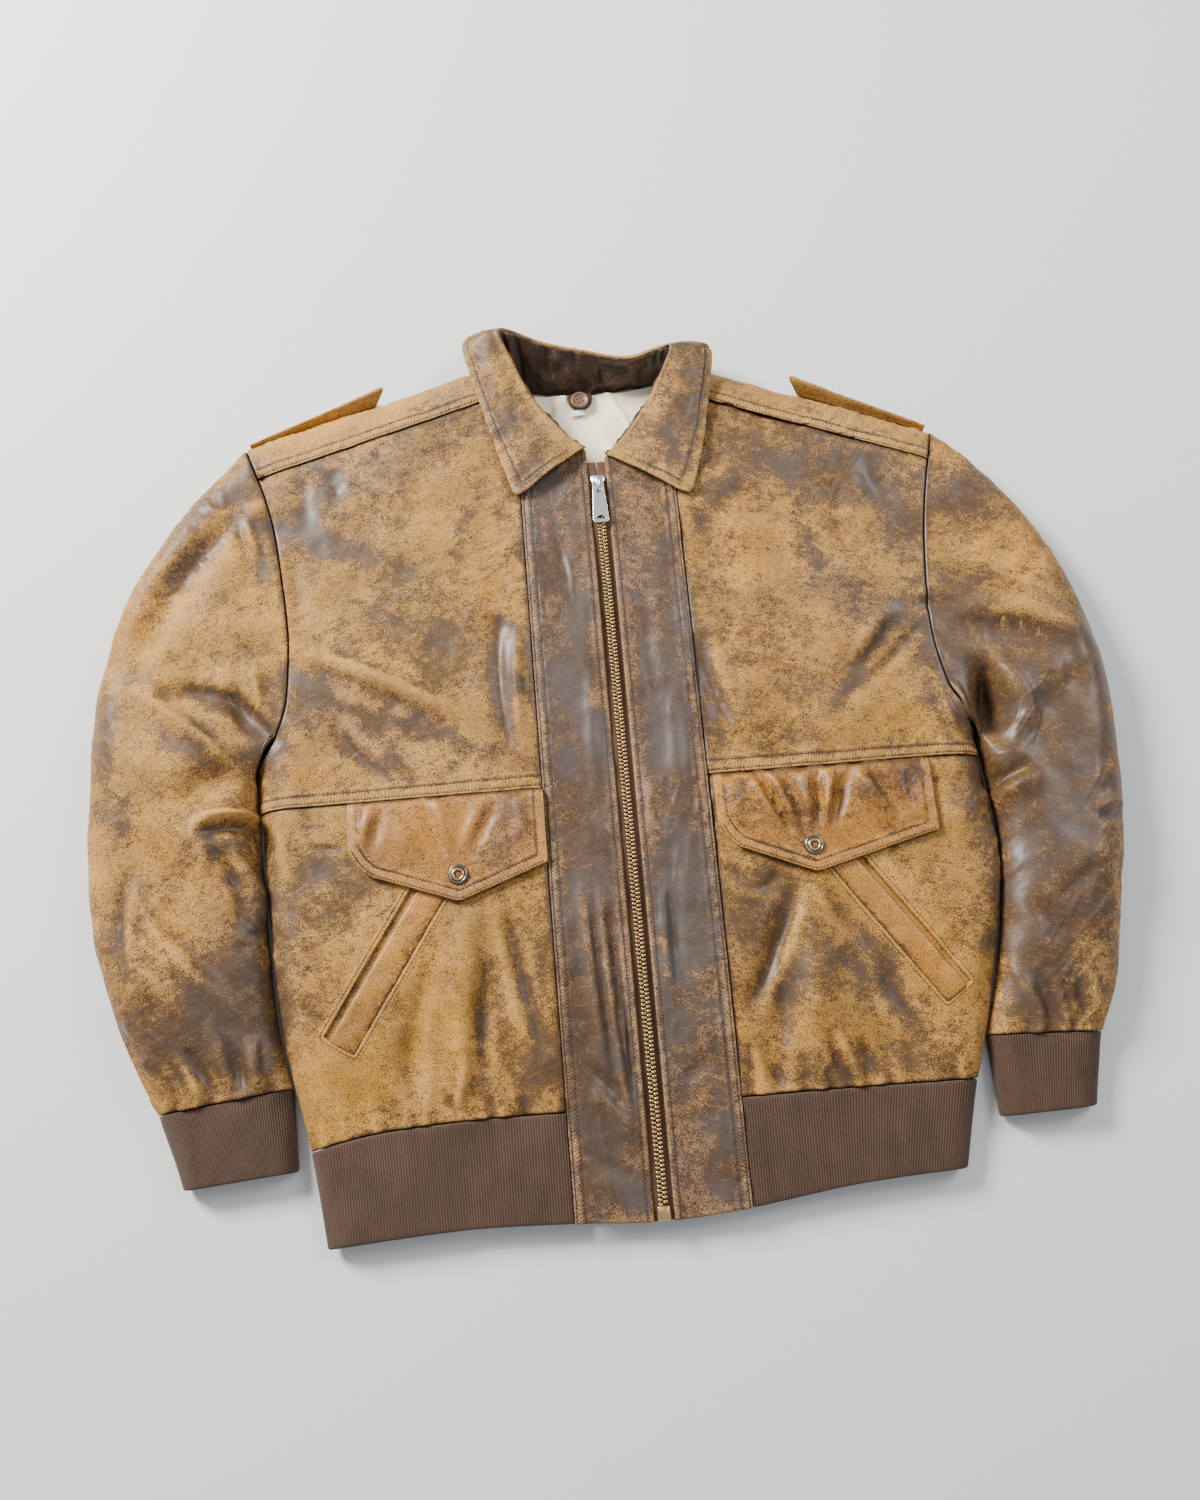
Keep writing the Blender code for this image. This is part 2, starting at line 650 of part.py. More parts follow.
# ---- collar
# Sections across the collar, from one front corner round the neck to the other. Each goes from the neck
# seam (base) up to the fold, and down to the outer edge. The right front corner comes first.
Section = namedtuple("Section", "base_x base_y base_z fold_x fold_y fold_z edge_x edge_y edge_z")
COLLAR = (
    Section(-0.0085, 0.3470, 0.0295, -0.0100, 0.3450, 0.0360, -0.0750, 0.2980, 0.0345),
    Section(-0.0240, 0.3600, 0.0292, -0.0240, 0.3580, 0.0375, -0.0830, 0.3240, 0.0345),
    Section(-0.0410, 0.3800, 0.0290, -0.0400, 0.3780, 0.0400, -0.0920, 0.3570, 0.0345),
    Section(-0.0570, 0.4000, 0.0285, -0.0550, 0.4010, 0.0440, -0.1010, 0.3950, 0.0355),
    Section(-0.0690, 0.4180, 0.0260, -0.0680, 0.4320, 0.0500, -0.1090, 0.4300, 0.0380),
    Section(-0.0810, 0.4310, 0.0160, -0.0780, 0.4590, 0.0550, -0.1130, 0.4620, 0.0360),
    Section(-0.0620, 0.4240, 0.0055, -0.0660, 0.4600, 0.0520, -0.0830, 0.4790, 0.0150),
    Section(-0.0330, 0.4190, 0.0034, -0.0360, 0.4470, 0.0480, -0.0400, 0.4680, 0.0070),
    Section(0.0000, 0.4175, 0.0032, 0.0000, 0.4380, 0.0450, 0.0000, 0.4590, 0.0050),
    Section(0.0330, 0.4190, 0.0034, 0.0360, 0.4290, 0.0430, 0.0390, 0.4510, 0.0060),
    Section(0.0610, 0.4220, 0.0055, 0.0660, 0.4340, 0.0470, 0.0800, 0.4560, 0.0140),
    Section(0.0810, 0.4240, 0.0160, 0.0760, 0.4340, 0.0510, 0.1130, 0.4400, 0.0350),
    Section(0.0690, 0.4100, 0.0260, 0.0670, 0.4130, 0.0470, 0.1140, 0.4110, 0.0360),
    Section(0.0570, 0.3910, 0.0285, 0.0550, 0.3910, 0.0420, 0.1080, 0.3800, 0.0350),
    Section(0.0410, 0.3700, 0.0292, 0.0400, 0.3690, 0.0395, 0.1000, 0.3440, 0.0345),
    Section(0.0240, 0.3510, 0.0300, 0.0240, 0.3500, 0.0375, 0.0910, 0.3120, 0.0345),
    Section(0.0090, 0.3385, 0.0304, 0.0105, 0.3370, 0.0360, 0.0820, 0.2870, 0.0345),
)
LINING_FOOT_Y, LINING_FOOT_HALF, LINING_TOP_HALF = 0.270, 0.110, 0.076
LINING_RISE, LINING_WAVE = 0.0052, 0.0010
LINING_CELLS = 6
COLLAR_GAP = 0.0008  # where the fall starts past the fold
STAND_DROP = 0.0066  # where the stand ends short of it
COLLAR_CUTS = 25
COLLAR_BULGE = 0.014


def collar_lines(count):
    """The collar's sections at even steps, each as its base, fold and edge points."""
    ts = np.arange(len(COLLAR), dtype=float)
    at = np.linspace(0, ts[-1], count)
    line = {}
    for end in ("base", "fold", "edge"):
        names = [f"{end}_{axis}" for axis in "xyz"]
        line[end] = np.array([curve(ts, np.array([getattr(s, n) for s in COLLAR]), at) for n in names]).T
    return line


def collar():
    """The stand faces the neck, and the fall turns out over it and lies on the fronts."""
    lines = collar_lines(COLLAR_CUTS)
    fall, stand = [], []
    for base, fold, edge in zip(lines["base"], lines["fold"], lines["edge"]):
        out = (edge - fold) / np.linalg.norm(edge - fold)
        bulge = np.array((0, 0, COLLAR_BULGE))
        start = fold + out * COLLAR_GAP
        fall.append([start + (edge - start) * s + bulge * s * (1 - s) for s in (0, 0.25, 0.5, 0.75, 1)])
        top = fold - (fold - base) / np.linalg.norm(fold - base) * STAND_DROP
        stand.append([base + (top - base) * s for s in (0, 0.5, 1)])
    cloth("collar_fall", fall, COLLAR_LEATHER, TAN)
    obj = cloth("collar_stand", stand, LEATHER, DARK)
    obj.modifiers["wall"].offset = 0


def neck_lining():
    """Satin over the inside of the back, where the open neck shows it."""
    grid = []
    for i in range(LINING_CELLS + 1):
        share = i / LINING_CELLS
        row = []
        for k in range(-4, 5):
            x = k / 4 * (LINING_FOOT_HALF + (LINING_TOP_HALF - LINING_FOOT_HALF) * share**2)
            top = BACK_NECK_Y - 0.0015 + 0.009 * (x / LINING_TOP_HALF) ** 2
            y = LINING_FOOT_Y + (top - LINING_FOOT_Y) * share
            row.append((x, y, LINING_RISE + LINING_WAVE * math.sin(share * 7 + k)))
        grid.append(row)
    cloth("lining_back", grid, SATIN, CREAM)


BUTTON_PLACE = (-0.0090, 0.4065, 0.0112)
BUTTON_PROFILE = (
    ((0, 0.0018), (0.0052, 0.0018), (0.0062, 0.0030), (0.0078, 0.0030))
    + ((0.0085, 0.0020), (0.0085, 0.0010), (0.0070, 0), (0, 0))
)
HOLE_STEP, HOLE_RADIUS, HOLE_DEPTH = 0.0019, 0.0009, 0.02
# The tab's half width along its length, which ends behind the button.
TAB_LENGTH, TAB_HALF, TAB_TOP, TAB_HEIGHT, TAB_THICK = 0.016, 0.012, 0.008, 0.0102, 0.0015
TAB_TAPER = 0.85
TAG_SIZE, TAG_OFFSET, TAG_HEIGHT = (0.0130, 0.0060, 0.0008), (-0.0027, -0.0114), 0.0088


def neck_button():
    """Button and its leather tab at the middle of the back neck, with a bare tape tag under them."""
    place = BUTTON_PLACE
    grid = []
    for share in (0, 0.25, 0.5, 0.75, 1):
        half = TAB_HALF * math.sqrt(1 - (share * TAB_TAPER) ** 2)
        y = place[1] + TAB_TOP - TAB_LENGTH * share
        grid.append([(place[0] + half * c / 3, y, TAB_HEIGHT) for c in range(-3, 4)])
    cloth("neck_tab", grid, TAB_THICK, DARK)
    button = turned("neck_button", BUTTON_PROFILE, BUTTON, 24, place)
    holes = bpy.data.meshes.new("cutter_button_holes")
    drill = bmesh.new()
    for dx in (-HOLE_STEP, HOLE_STEP):
        for dy in (-HOLE_STEP, HOLE_STEP):
            size = {"radius1": HOLE_RADIUS, "radius2": HOLE_RADIUS, "depth": HOLE_DEPTH}
            made = bmesh.ops.create_cone(drill, cap_ends=True, segments=8, **size)
            bmesh.ops.translate(drill, verts=made["verts"], vec=(dx, dy, 0))
    drill.to_mesh(holes)
    drill.free()
    cutter = put("cutter_button_holes", holes, CUTTERS, BUTTON)
    cutter.location = place
    cut(button, cutter)
    tag_place = (place[0] + TAG_OFFSET[0], place[1] + TAG_OFFSET[1], TAG_HEIGHT)
    block("neck_tag", TAG_SIZE, tag_place, JACKET, CREAM)


# ---- shoulder straps
def epaulette(side, sign):
    """Strap sewn in at the sleeve head, hanging behind the shoulder fold with its edge on the ground."""
    s = SHOULDER[side]
    tip = np.array((s.tip_x, s.tip_y))
    along = np.array((s.neck_x - s.tip_x, s.neck_y - s.tip_y))
    along /= np.linalg.norm(along)
    behind = np.array((along[1], -along[0]))
    grid = []
    for i in range(STRAP_CELLS + 1):
        share = i / STRAP_CELLS
        row = []
        for point in STRAP:
            corner = point.behind in (STRAP[0].behind, STRAP[-1].behind)
            end = STRAP_LENGTH - (STRAP_POINT if corner else 0)
            x, y = tip + along * (STRAP_START + end * share) + behind * (point.behind + STRAP_CLEAR)
            row.append((sign * x, y, point.low + (point.high - point.low) * share))
        grid.append(row)
    cloth("epaulette_" + side, grid, LEATHER, TAN)


# ---- pockets
Window = namedtuple("Window", "x y length width slant")
WINDOW = {
    "right": Window(0.2045, -0.1000, 0.158, 0.030, math.radians(33.5)),
    "left": Window(0.2110, -0.1000, 0.156, 0.028, math.radians(34.5)),
}
SLIT = 0.0065  # the width of the pocket's opening
WELT_LIFT = 0.0004
FACING_REACH, FACING_DROP, FACING_THICK = 0.009, 0.0048, 0.0012


def in_window(window, along, across):
    """A plan point in a window: along it towards the chest, and across it away from the zip."""
    c, s = math.cos(window.slant), math.sin(window.slant)
    return window.x - along * s + across * c, window.y + along * c + across * s


def on_window(side, sign, along, across, lift, cells=(10, 3)):
    window = WINDOW[side]
    grid = []
    for i in range(cells[0] + 1):
        row = []
        for k in range(cells[1] + 1):
            a = along[0] + (along[1] - along[0]) * i / cells[0]
            b = across[0] + (across[1] - across[0]) * k / cells[1]
            x, y = in_window(window, a, b)
            row.append((sign * x, y, body_top(sign * x, y) + lift))
        grid.append(row)
    return grid


def welt(side, sign):
    """Folded strip in the zip side of the window, beside a slit for the hand, with leather behind it."""
    window = WINDOW[side]
    half, wide, gap = window.length / 2, window.width / 2, 2 * SEAM_GAP
    strip = on_window(side, sign, (-half + gap, half - gap), (-wide + gap, wide - SLIT), WELT_LIFT)
    cloth("welt_" + side, strip, LEATHER, TAN)
    long, across = half + FACING_REACH, wide + FACING_REACH
    behind = on_window(side, sign, (-long, long), (-across, across), -FACING_DROP)
    cloth("pocket_facing_" + side, behind, FACING_THICK, TAN)


FlapPoint = namedtuple("FlapPoint", "share bottom")
# The flap's lower edge, share by share from the wearer's right end to the left end.
FLAP = (
    FlapPoint(0.00, -0.006),
    FlapPoint(0.03, -0.020),
    FlapPoint(0.10, -0.032),
    FlapPoint(0.30, -0.0445),
    FlapPoint(0.52, -0.0585),
    FlapPoint(0.76, -0.045),
    FlapPoint(1.00, -0.0315),
)
FLAP_SPAN = {"right": (-0.2345, -0.0695), "left": (0.0735, 0.2570)}
FLAP_LIFT = 0.0016
FLAP_THICK = 0.0030
FLAP_SHARES = (0.0, 0.03, 0.10, 0.20, 0.30, 0.41, 0.52, 0.64, 0.76, 0.88, 1.0)
FLAP_CELLS = 5
SNAP_SHARE, SNAP_Y, SNAP_LIFT = 0.52, -0.036, 0.0006
# Where the point and the snap come on each flap, as a share of its width.
FLAP_POINT = {"right": 0.546, "left": 0.424}
SNAP_PROFILE = (
    ((0, 0.0008), (0.0028, 0.0008), (0.0031, 0.0026), (0.0042, 0.0030), (0.0050, 0.0026))
    + ((0.0054, 0.0013), (0.0074, 0.0015), (0.0082, 0.0006), (0.0082, 0), (0, 0))
)


def flap_x(side, share):
    """The place of one of the outline's shares, with its point moved to this flap's own."""
    start, end = FLAP_SPAN[side]
    moved = float(np.interp(share, (0, SNAP_SHARE, 1), (0, FLAP_POINT[side], 1)))
    return start + (end - start) * moved


def flap(side, sign):
    """Pocket flap, caught in the chest seam, with a shallow point."""
    grid = []
    for share in FLAP_SHARES:
        x = flap_x(side, share)
        low = float(np.interp(share, [p.share for p in FLAP], [p.bottom for p in FLAP]))
        high = CHEST_SEAM - SEAM_GAP
        ys = [low + (high - low) * k / FLAP_CELLS for k in range(FLAP_CELLS + 1)]
        grid.append([(x, y, body_top(x, y) + FLAP_LIFT + FLAP_THICK) for y in ys])
    cloth("flap_" + side, grid, FLAP_THICK, TAN)
    x, y = flap_x(side, SNAP_SHARE), SNAP_Y
    top = body_top(x, y) + FLAP_LIFT + FLAP_THICK + SNAP_LIFT
    turned("snap_" + side, SNAP_PROFILE, STEEL, 20, (x, y, top))


# ---- zip
SLIDER_Y = 0.3100
SLIDER_SIZE = (0.0128, 0.0160, 0.0036)
SLIDER_LIFT = 0.0004  # the slider's foot above the tape
BRIDGE_SIZE, BRIDGE_RISE, BRIDGE_EDGE = (0.0030, 0.0136, 0.0052), 0.0056, 0.0012
BRIDGE_EYE = (0.02, 0.0096, 0.0032)
PULL_AXIS_RISE = 0.0053  # the pull's pivot above the slider's foot
PULL_OUTLINE = (
    ((-0.0046, 0.0010), (0.0046, 0.0010), (0.0054, -0.0100))
    + ((0.0070, -0.0394), (-0.0070, -0.0394), (-0.0054, -0.0100))
)
PULL_THICK, PULL_EDGE = 0.0016, 0.0003
PULL_SLOT, PULL_SLOT_Y = (0.0040, 0.0100, 0.01), -0.0057
PULL_EYE, PULL_EYE_Y = (0.0090, 0.0046, 0.01), -0.0346
CHAIN_WIDTH, CHAIN_HEIGHT = 0.0075, 0.0030
CHAIN_GAP = 0.0085  # from the middle of the slider to the first tooth
BOX_LENGTH = 0.011
BOX_SIZE, BOX_RISE, BOX_EDGE = (0.010, BOX_LENGTH, 0.0042), 0.0026, 0.0006
ZIP_FOOT, TAPE_TOP = 0.001, 0.333
TAPE_STOPS = (0.0006, 0.008, 0.0165)
ZIP_ROWS = 16


def zip_level(y):
    """Height of the face of the zip's tape."""
    return body_top(0.0001, y) - LEATHER - SEAM_GAP


def zip_tape(side, sign):
    low = hem_bottom(1)(0) + ZIP_FOOT
    grid = []
    for i in range(ZIP_ROWS + 1):
        y = low + (TAPE_TOP - low) * i / ZIP_ROWS
        grid.append([(sign * x, y, body_top(sign * x, y) - LEATHER - SEAM_GAP) for x in TAPE_STOPS])
    cloth("zip_tape_" + side, grid, TAPE, TAPE_BROWN)


def zip_chain():
    """The closed teeth, as one plain bar on the tape."""
    low, high = hem_bottom(1)(0) + ZIP_FOOT + BOX_LENGTH + SEAM_GAP, SLIDER_Y - CHAIN_GAP
    grid = []
    for i in range(ZIP_ROWS + 1):
        y = low + (high - low) * i / ZIP_ROWS
        z = zip_level(y) + SEAM_GAP + CHAIN_HEIGHT
        grid.append([(x, y, z) for x in (-CHAIN_WIDTH / 2, 0, CHAIN_WIDTH / 2)])
    cloth("zip_chain", grid, CHAIN_HEIGHT, BRASS)


def zip_metal():
    """Retaining box at the hem, slider at the neck, and the slider's hanging pull."""
    y = hem_bottom(1)(0) + ZIP_FOOT + BOX_LENGTH / 2
    box = block("zip_box", BOX_SIZE, (0, y, zip_level(y) + BOX_RISE), JACKET, BRASS)
    rounded(box, BOX_EDGE)
    foot = zip_level(SLIDER_Y) + SLIDER_LIFT
    middle = foot + SLIDER_SIZE[2] / 2
    body = block("zip_slider", SLIDER_SIZE, (0, SLIDER_Y, middle), JACKET, STEEL)
    arch = block("slider_bridge", BRIDGE_SIZE, (0, SLIDER_Y, foot + BRIDGE_RISE), JACKET, STEEL)
    rounded(arch, BRIDGE_EDGE)
    pivot_z = foot + PULL_AXIS_RISE
    cut(arch, block("cutter_bridge", BRIDGE_EYE, (0, SLIDER_Y, pivot_z), CUTTERS, STEEL))
    join = body.modifiers.new("bridge", "BOOLEAN")
    join.operation = "UNION"
    join.object = arch
    arch.hide_render = True
    arch.display_type = "WIRE"
    for old in arch.users_collection:
        old.objects.unlink(arch)
    CUTTERS.objects.link(arch)
    pull(pivot_z)


def pull(pivot_z):
    """Hangs towards the hem from a bar through the slider's bridge, and can be turned up over it."""
    hinge = bpy.data.objects.new("pull_hinge", None)
    hinge.location = (0, SLIDER_Y, pivot_z)
    JACKET.objects.link(hinge)
    mesh = bpy.data.meshes.new("zip_pull")
    tab = bmesh.new()
    face = tab.faces.new([tab.verts.new((x, y, -PULL_THICK / 2)) for x, y in PULL_OUTLINE])
    grown = bmesh.ops.extrude_face_region(tab, geom=[face])
    raised = [v for v in grown["geom"] if isinstance(v, bmesh.types.BMVert)]
    bmesh.ops.translate(tab, verts=raised, vec=(0, 0, PULL_THICK))
    bmesh.ops.recalc_face_normals(tab, faces=tab.faces)
    tab.to_mesh(mesh)
    tab.free()
    obj = put("zip_pull", mesh, JACKET, STEEL)
    obj.parent = hinge
    holes = (("cutter_slot", PULL_SLOT, PULL_SLOT_Y), ("cutter_eye", PULL_EYE, PULL_EYE_Y))
    for name, size, y in holes:
        hole = block(name, size, (0, 0, 0), CUTTERS, STEEL)
        hole.parent = hinge
        hole.location = (0, y, 0)
        cut(obj, hole)
    rounded(obj, PULL_EDGE, 1)


def main():
    neck_lining()
    neck_button()
    back()
    rib_back()
    for side, sign in SIDES:
        front_lower(side, sign)
        front_upper(side, sign)
        yoke(side, sign)
        placket(side, sign)
        rib_front(side, sign)
        sleeve(side, sign)
        cuff(side, sign)
        epaulette(side, sign)
        welt(side, sign)
        flap(side, sign)
        zip_tape(side, sign)
    collar()
    zip_chain()
    zip_metal()


clear_scene()
JACKET = collection("leather_jacket")
CUTTERS = collection("cutters")
TAN = material("worn_tan_leather", (0.42, 0.25, 0.10), 0.5)
DARK = material("dark_brown_leather", (0.16, 0.09, 0.06), 0.4)
KNIT_BROWN = material("brown_rib_knit", (0.17, 0.10, 0.07), 0.9)
CREAM = material("cream_satin", (0.85, 0.78, 0.62), 0.4)
TAPE_BROWN = material("zip_tape", (0.30, 0.16, 0.06), 0.8)
BRASS = material("antique_brass", (0.60, 0.45, 0.25), 0.35, 1.0)
STEEL = material("nickel", (0.75, 0.75, 0.73), 0.3, 1.0)
BUTTON = material("brown_button", (0.22, 0.13, 0.08), 0.4)
main()
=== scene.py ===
import math

import bmesh
import bpy
import numpy as np

from mathutils import Matrix, Vector


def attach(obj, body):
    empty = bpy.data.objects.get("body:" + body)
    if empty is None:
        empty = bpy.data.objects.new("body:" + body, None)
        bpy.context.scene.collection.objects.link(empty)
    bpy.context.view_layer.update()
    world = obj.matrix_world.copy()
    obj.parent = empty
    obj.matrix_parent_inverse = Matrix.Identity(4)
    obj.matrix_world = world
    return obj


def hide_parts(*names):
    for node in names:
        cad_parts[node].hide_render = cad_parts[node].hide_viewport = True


# A worn leather flight jacket, laid flat on its back and zipped up.
# Metres: +X is the wearer's left, +Y runs from the hem to the collar, +Z is up.
# "right" and "left" are the wearer's.

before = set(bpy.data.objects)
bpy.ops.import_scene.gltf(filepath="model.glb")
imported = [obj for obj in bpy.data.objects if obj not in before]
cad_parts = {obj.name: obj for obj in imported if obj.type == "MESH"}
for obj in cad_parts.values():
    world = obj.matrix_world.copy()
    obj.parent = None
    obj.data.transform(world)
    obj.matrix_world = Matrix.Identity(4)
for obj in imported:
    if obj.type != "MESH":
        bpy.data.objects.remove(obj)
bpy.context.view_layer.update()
print("frame loaded:", len(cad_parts), "nodes")

sides = (("right", -1), ("left", 1))

walls = {
    "leather": 0.0020,
    "knit": 0.0028,
    "collar": 0.0030,
    "flap": 0.0030,
    "tape": 0.0010,
    "satin": 0.0010,
    "facing": 0.0012,
    "tab": 0.0015,
}
gaps = {"seam": 0.0003, "side": 0.0007, "rib": 0.0008, "armhole": 0.0010}
grids = {
    "cell": 0.0019 * 1,  # size of the leather's mesh cells
    "hiddenCell": 0.0042,
    "insideStep": 4,  # the inside of a wall keeps every fourth point
}

# ---- the jacket's form
bodyForm = {
    "y": (-0.330, -0.235, -0.150, -0.050, 0.040, 0.150, 0.260, 0.360, 0.460),
    "right": (0.262, 0.277, 0.297, 0.306, 0.312, 0.316, 0.318, 0.318, 0.318),
    "left": (0.236, 0.262, 0.290, 0.310, 0.307, 0.303, 0.303, 0.303, 0.303),
    "crown": (0.0160, 0.0220, 0.0275, 0.0305, 0.0315, 0.0315, 0.0305, 0.0295, 0.0285),
    "edgeHeight": 0.009,  # where the front meets the back at a folded edge
    "topRoll": 1.15,  # the front's roll at the side, as a share of the crown's height
    "underRoll": 0.015,
    "shoulderRoll": 0.032,
    "chestSeam": 0.032,
    "placketSeam": 0.070,
    "zipEdge": 0.008,
    "backNeckY": 0.416,
    "neckHalf": 0.080,
}
seamX = bodyForm["placketSeam"] + gaps["seam"]  # where the panels beside the plackets start
hemLine = {
    "x": (-0.300, -0.230, -0.140, -0.070, 0.000, 0.070, 0.150, 0.290),
    "bottom": (-0.322, -0.3165, -0.313, -0.3155, -0.3195, -0.315, -0.305, -0.299),
    "top": (-0.250, -0.236, -0.231, -0.231, -0.231, -0.231, -0.231, -0.233),
}
shoulder = {
    "right": {"neckX": 0.088, "neckY": 0.447, "tipX": 0.320, "tipY": 0.378, "underarmY": 0.066},
    "left": {"neckX": 0.088, "neckY": 0.436, "tipX": 0.311, "tipY": 0.346, "underarmY": 0.048},
}
armholeCurve = {  # how far the armhole seam curves in from a straight line
    "share": (0.00, 0.20, 0.45, 0.70, 0.87, 1.00),
    "right": (0.000, 0.020, 0.031, 0.034, 0.025, 0.000),
    "left": (0.000, 0.015, 0.026, 0.028, 0.018, 0.000),
    "yokeEnd": 0.12,
    "underYokeEnd": 0.08,
}
sleeveForm = {  # stations after the armhole
    "right": {
        "innerY": (0.048, 0.030, 0.006, -0.025, -0.070, -0.118, -0.160, -0.195),
        "outerX": (0.384, 0.431, 0.4545, 0.457, 0.451, 0.434, 0.415, 0.397),
        "outerY": (0.308, 0.224, 0.120, 0.030, -0.055, -0.126, -0.172, -0.207),
        "height": (0.036, 0.041, 0.043, 0.042, 0.039, 0.035, 0.030, 0.024),
    },
    "left": {
        "innerY": (0.036, 0.020, -0.002, -0.032, -0.072, -0.118, -0.162, -0.200),
        "outerX": (0.362, 0.402, 0.4275, 0.429, 0.418, 0.401, 0.388, 0.371),
        "outerY": (0.286, 0.214, 0.120, 0.035, -0.045, -0.118, -0.166, -0.204),
        "height": (0.036, 0.040, 0.042, 0.040, 0.037, 0.033, 0.028, 0.023),
    },
    "headHeight": 0.032,
    "clear": 0.0025,
    "topShares": (
        0, 0.0005, 0.012, 0.05, 0.12, 0.22, 0.34, 0.46, 0.58, 0.70, 0.80, 0.88, 0.945, 0.985, 0.9995, 1,
    ),
    "underShares": (0, 0.0004, 0.012, 0.08, 0.28, 0.48, 0.68, 0.86, 0.96, 0.988, 0.9996, 1),
    "rollAngles": (90, 86.5, 64, 34),
    "underRows": (0, 0.0001, 0.0030, 0.015),
}

# Large creases: x0, y0, x1, y1, width, height and bend in millimetres, then lean. Height is negative in
# a trough, bend bows the line to one side, and lean makes one flank steeper than the other.
millimetre = 0.001
bodyCreases = (
    (-95, -250, -130, -50, 16, -6, 0, 0), (-150, -250, -145, -50, 18, 6, 0, 0),
    (-200, -250, -175, -80, 16, -4.5, 0, 0), (86, -250, 135, -50, 16, -6.5, 0, 0),
    (142, -250, 150, -50, 18, 6.5, 0, 0), (205, -250, 170, -60, 16, -5, 0, 0),
    (-290, 165, -105, 90, 22, 4.5, 0, 0), (-110, 60, -88, 180, 16, 3.5, 0, 0),
    (275, 175, 165, 55, 24, -4.5, 0, 0), (105, 290, 100, 110, 18, -3, 0, 0),
)
sleeveCreases = {
    "right": (
        (-330, 320, -430, 140, 18, -7, 0, 0), (-310, 75, -385, 35, 16, -9, 0, 0),
        (-330, -10, -435, 110, 24, 6.5, 0, 0), (-325, -95, -430, 30, 20, -6, 0, 0),
        (-345, -170, -430, -60, 20, 5, 0, 0),
    ),
    "left": (
        (285, 185, 390, 160, 22, 4, 0, 0), (300, 140, 385, 110, 18, -4.5, 0, 0),
        (306, 120, 333, 52, 16, -15, -4, 0), (322, 112, 322, 30, 12, -22, 2, 0),
        (325, 10, 410, 90, 22, -6.5, 0, 0), (330, -110, 415, -30, 22, 5.5, 0, 0),
    ),
}
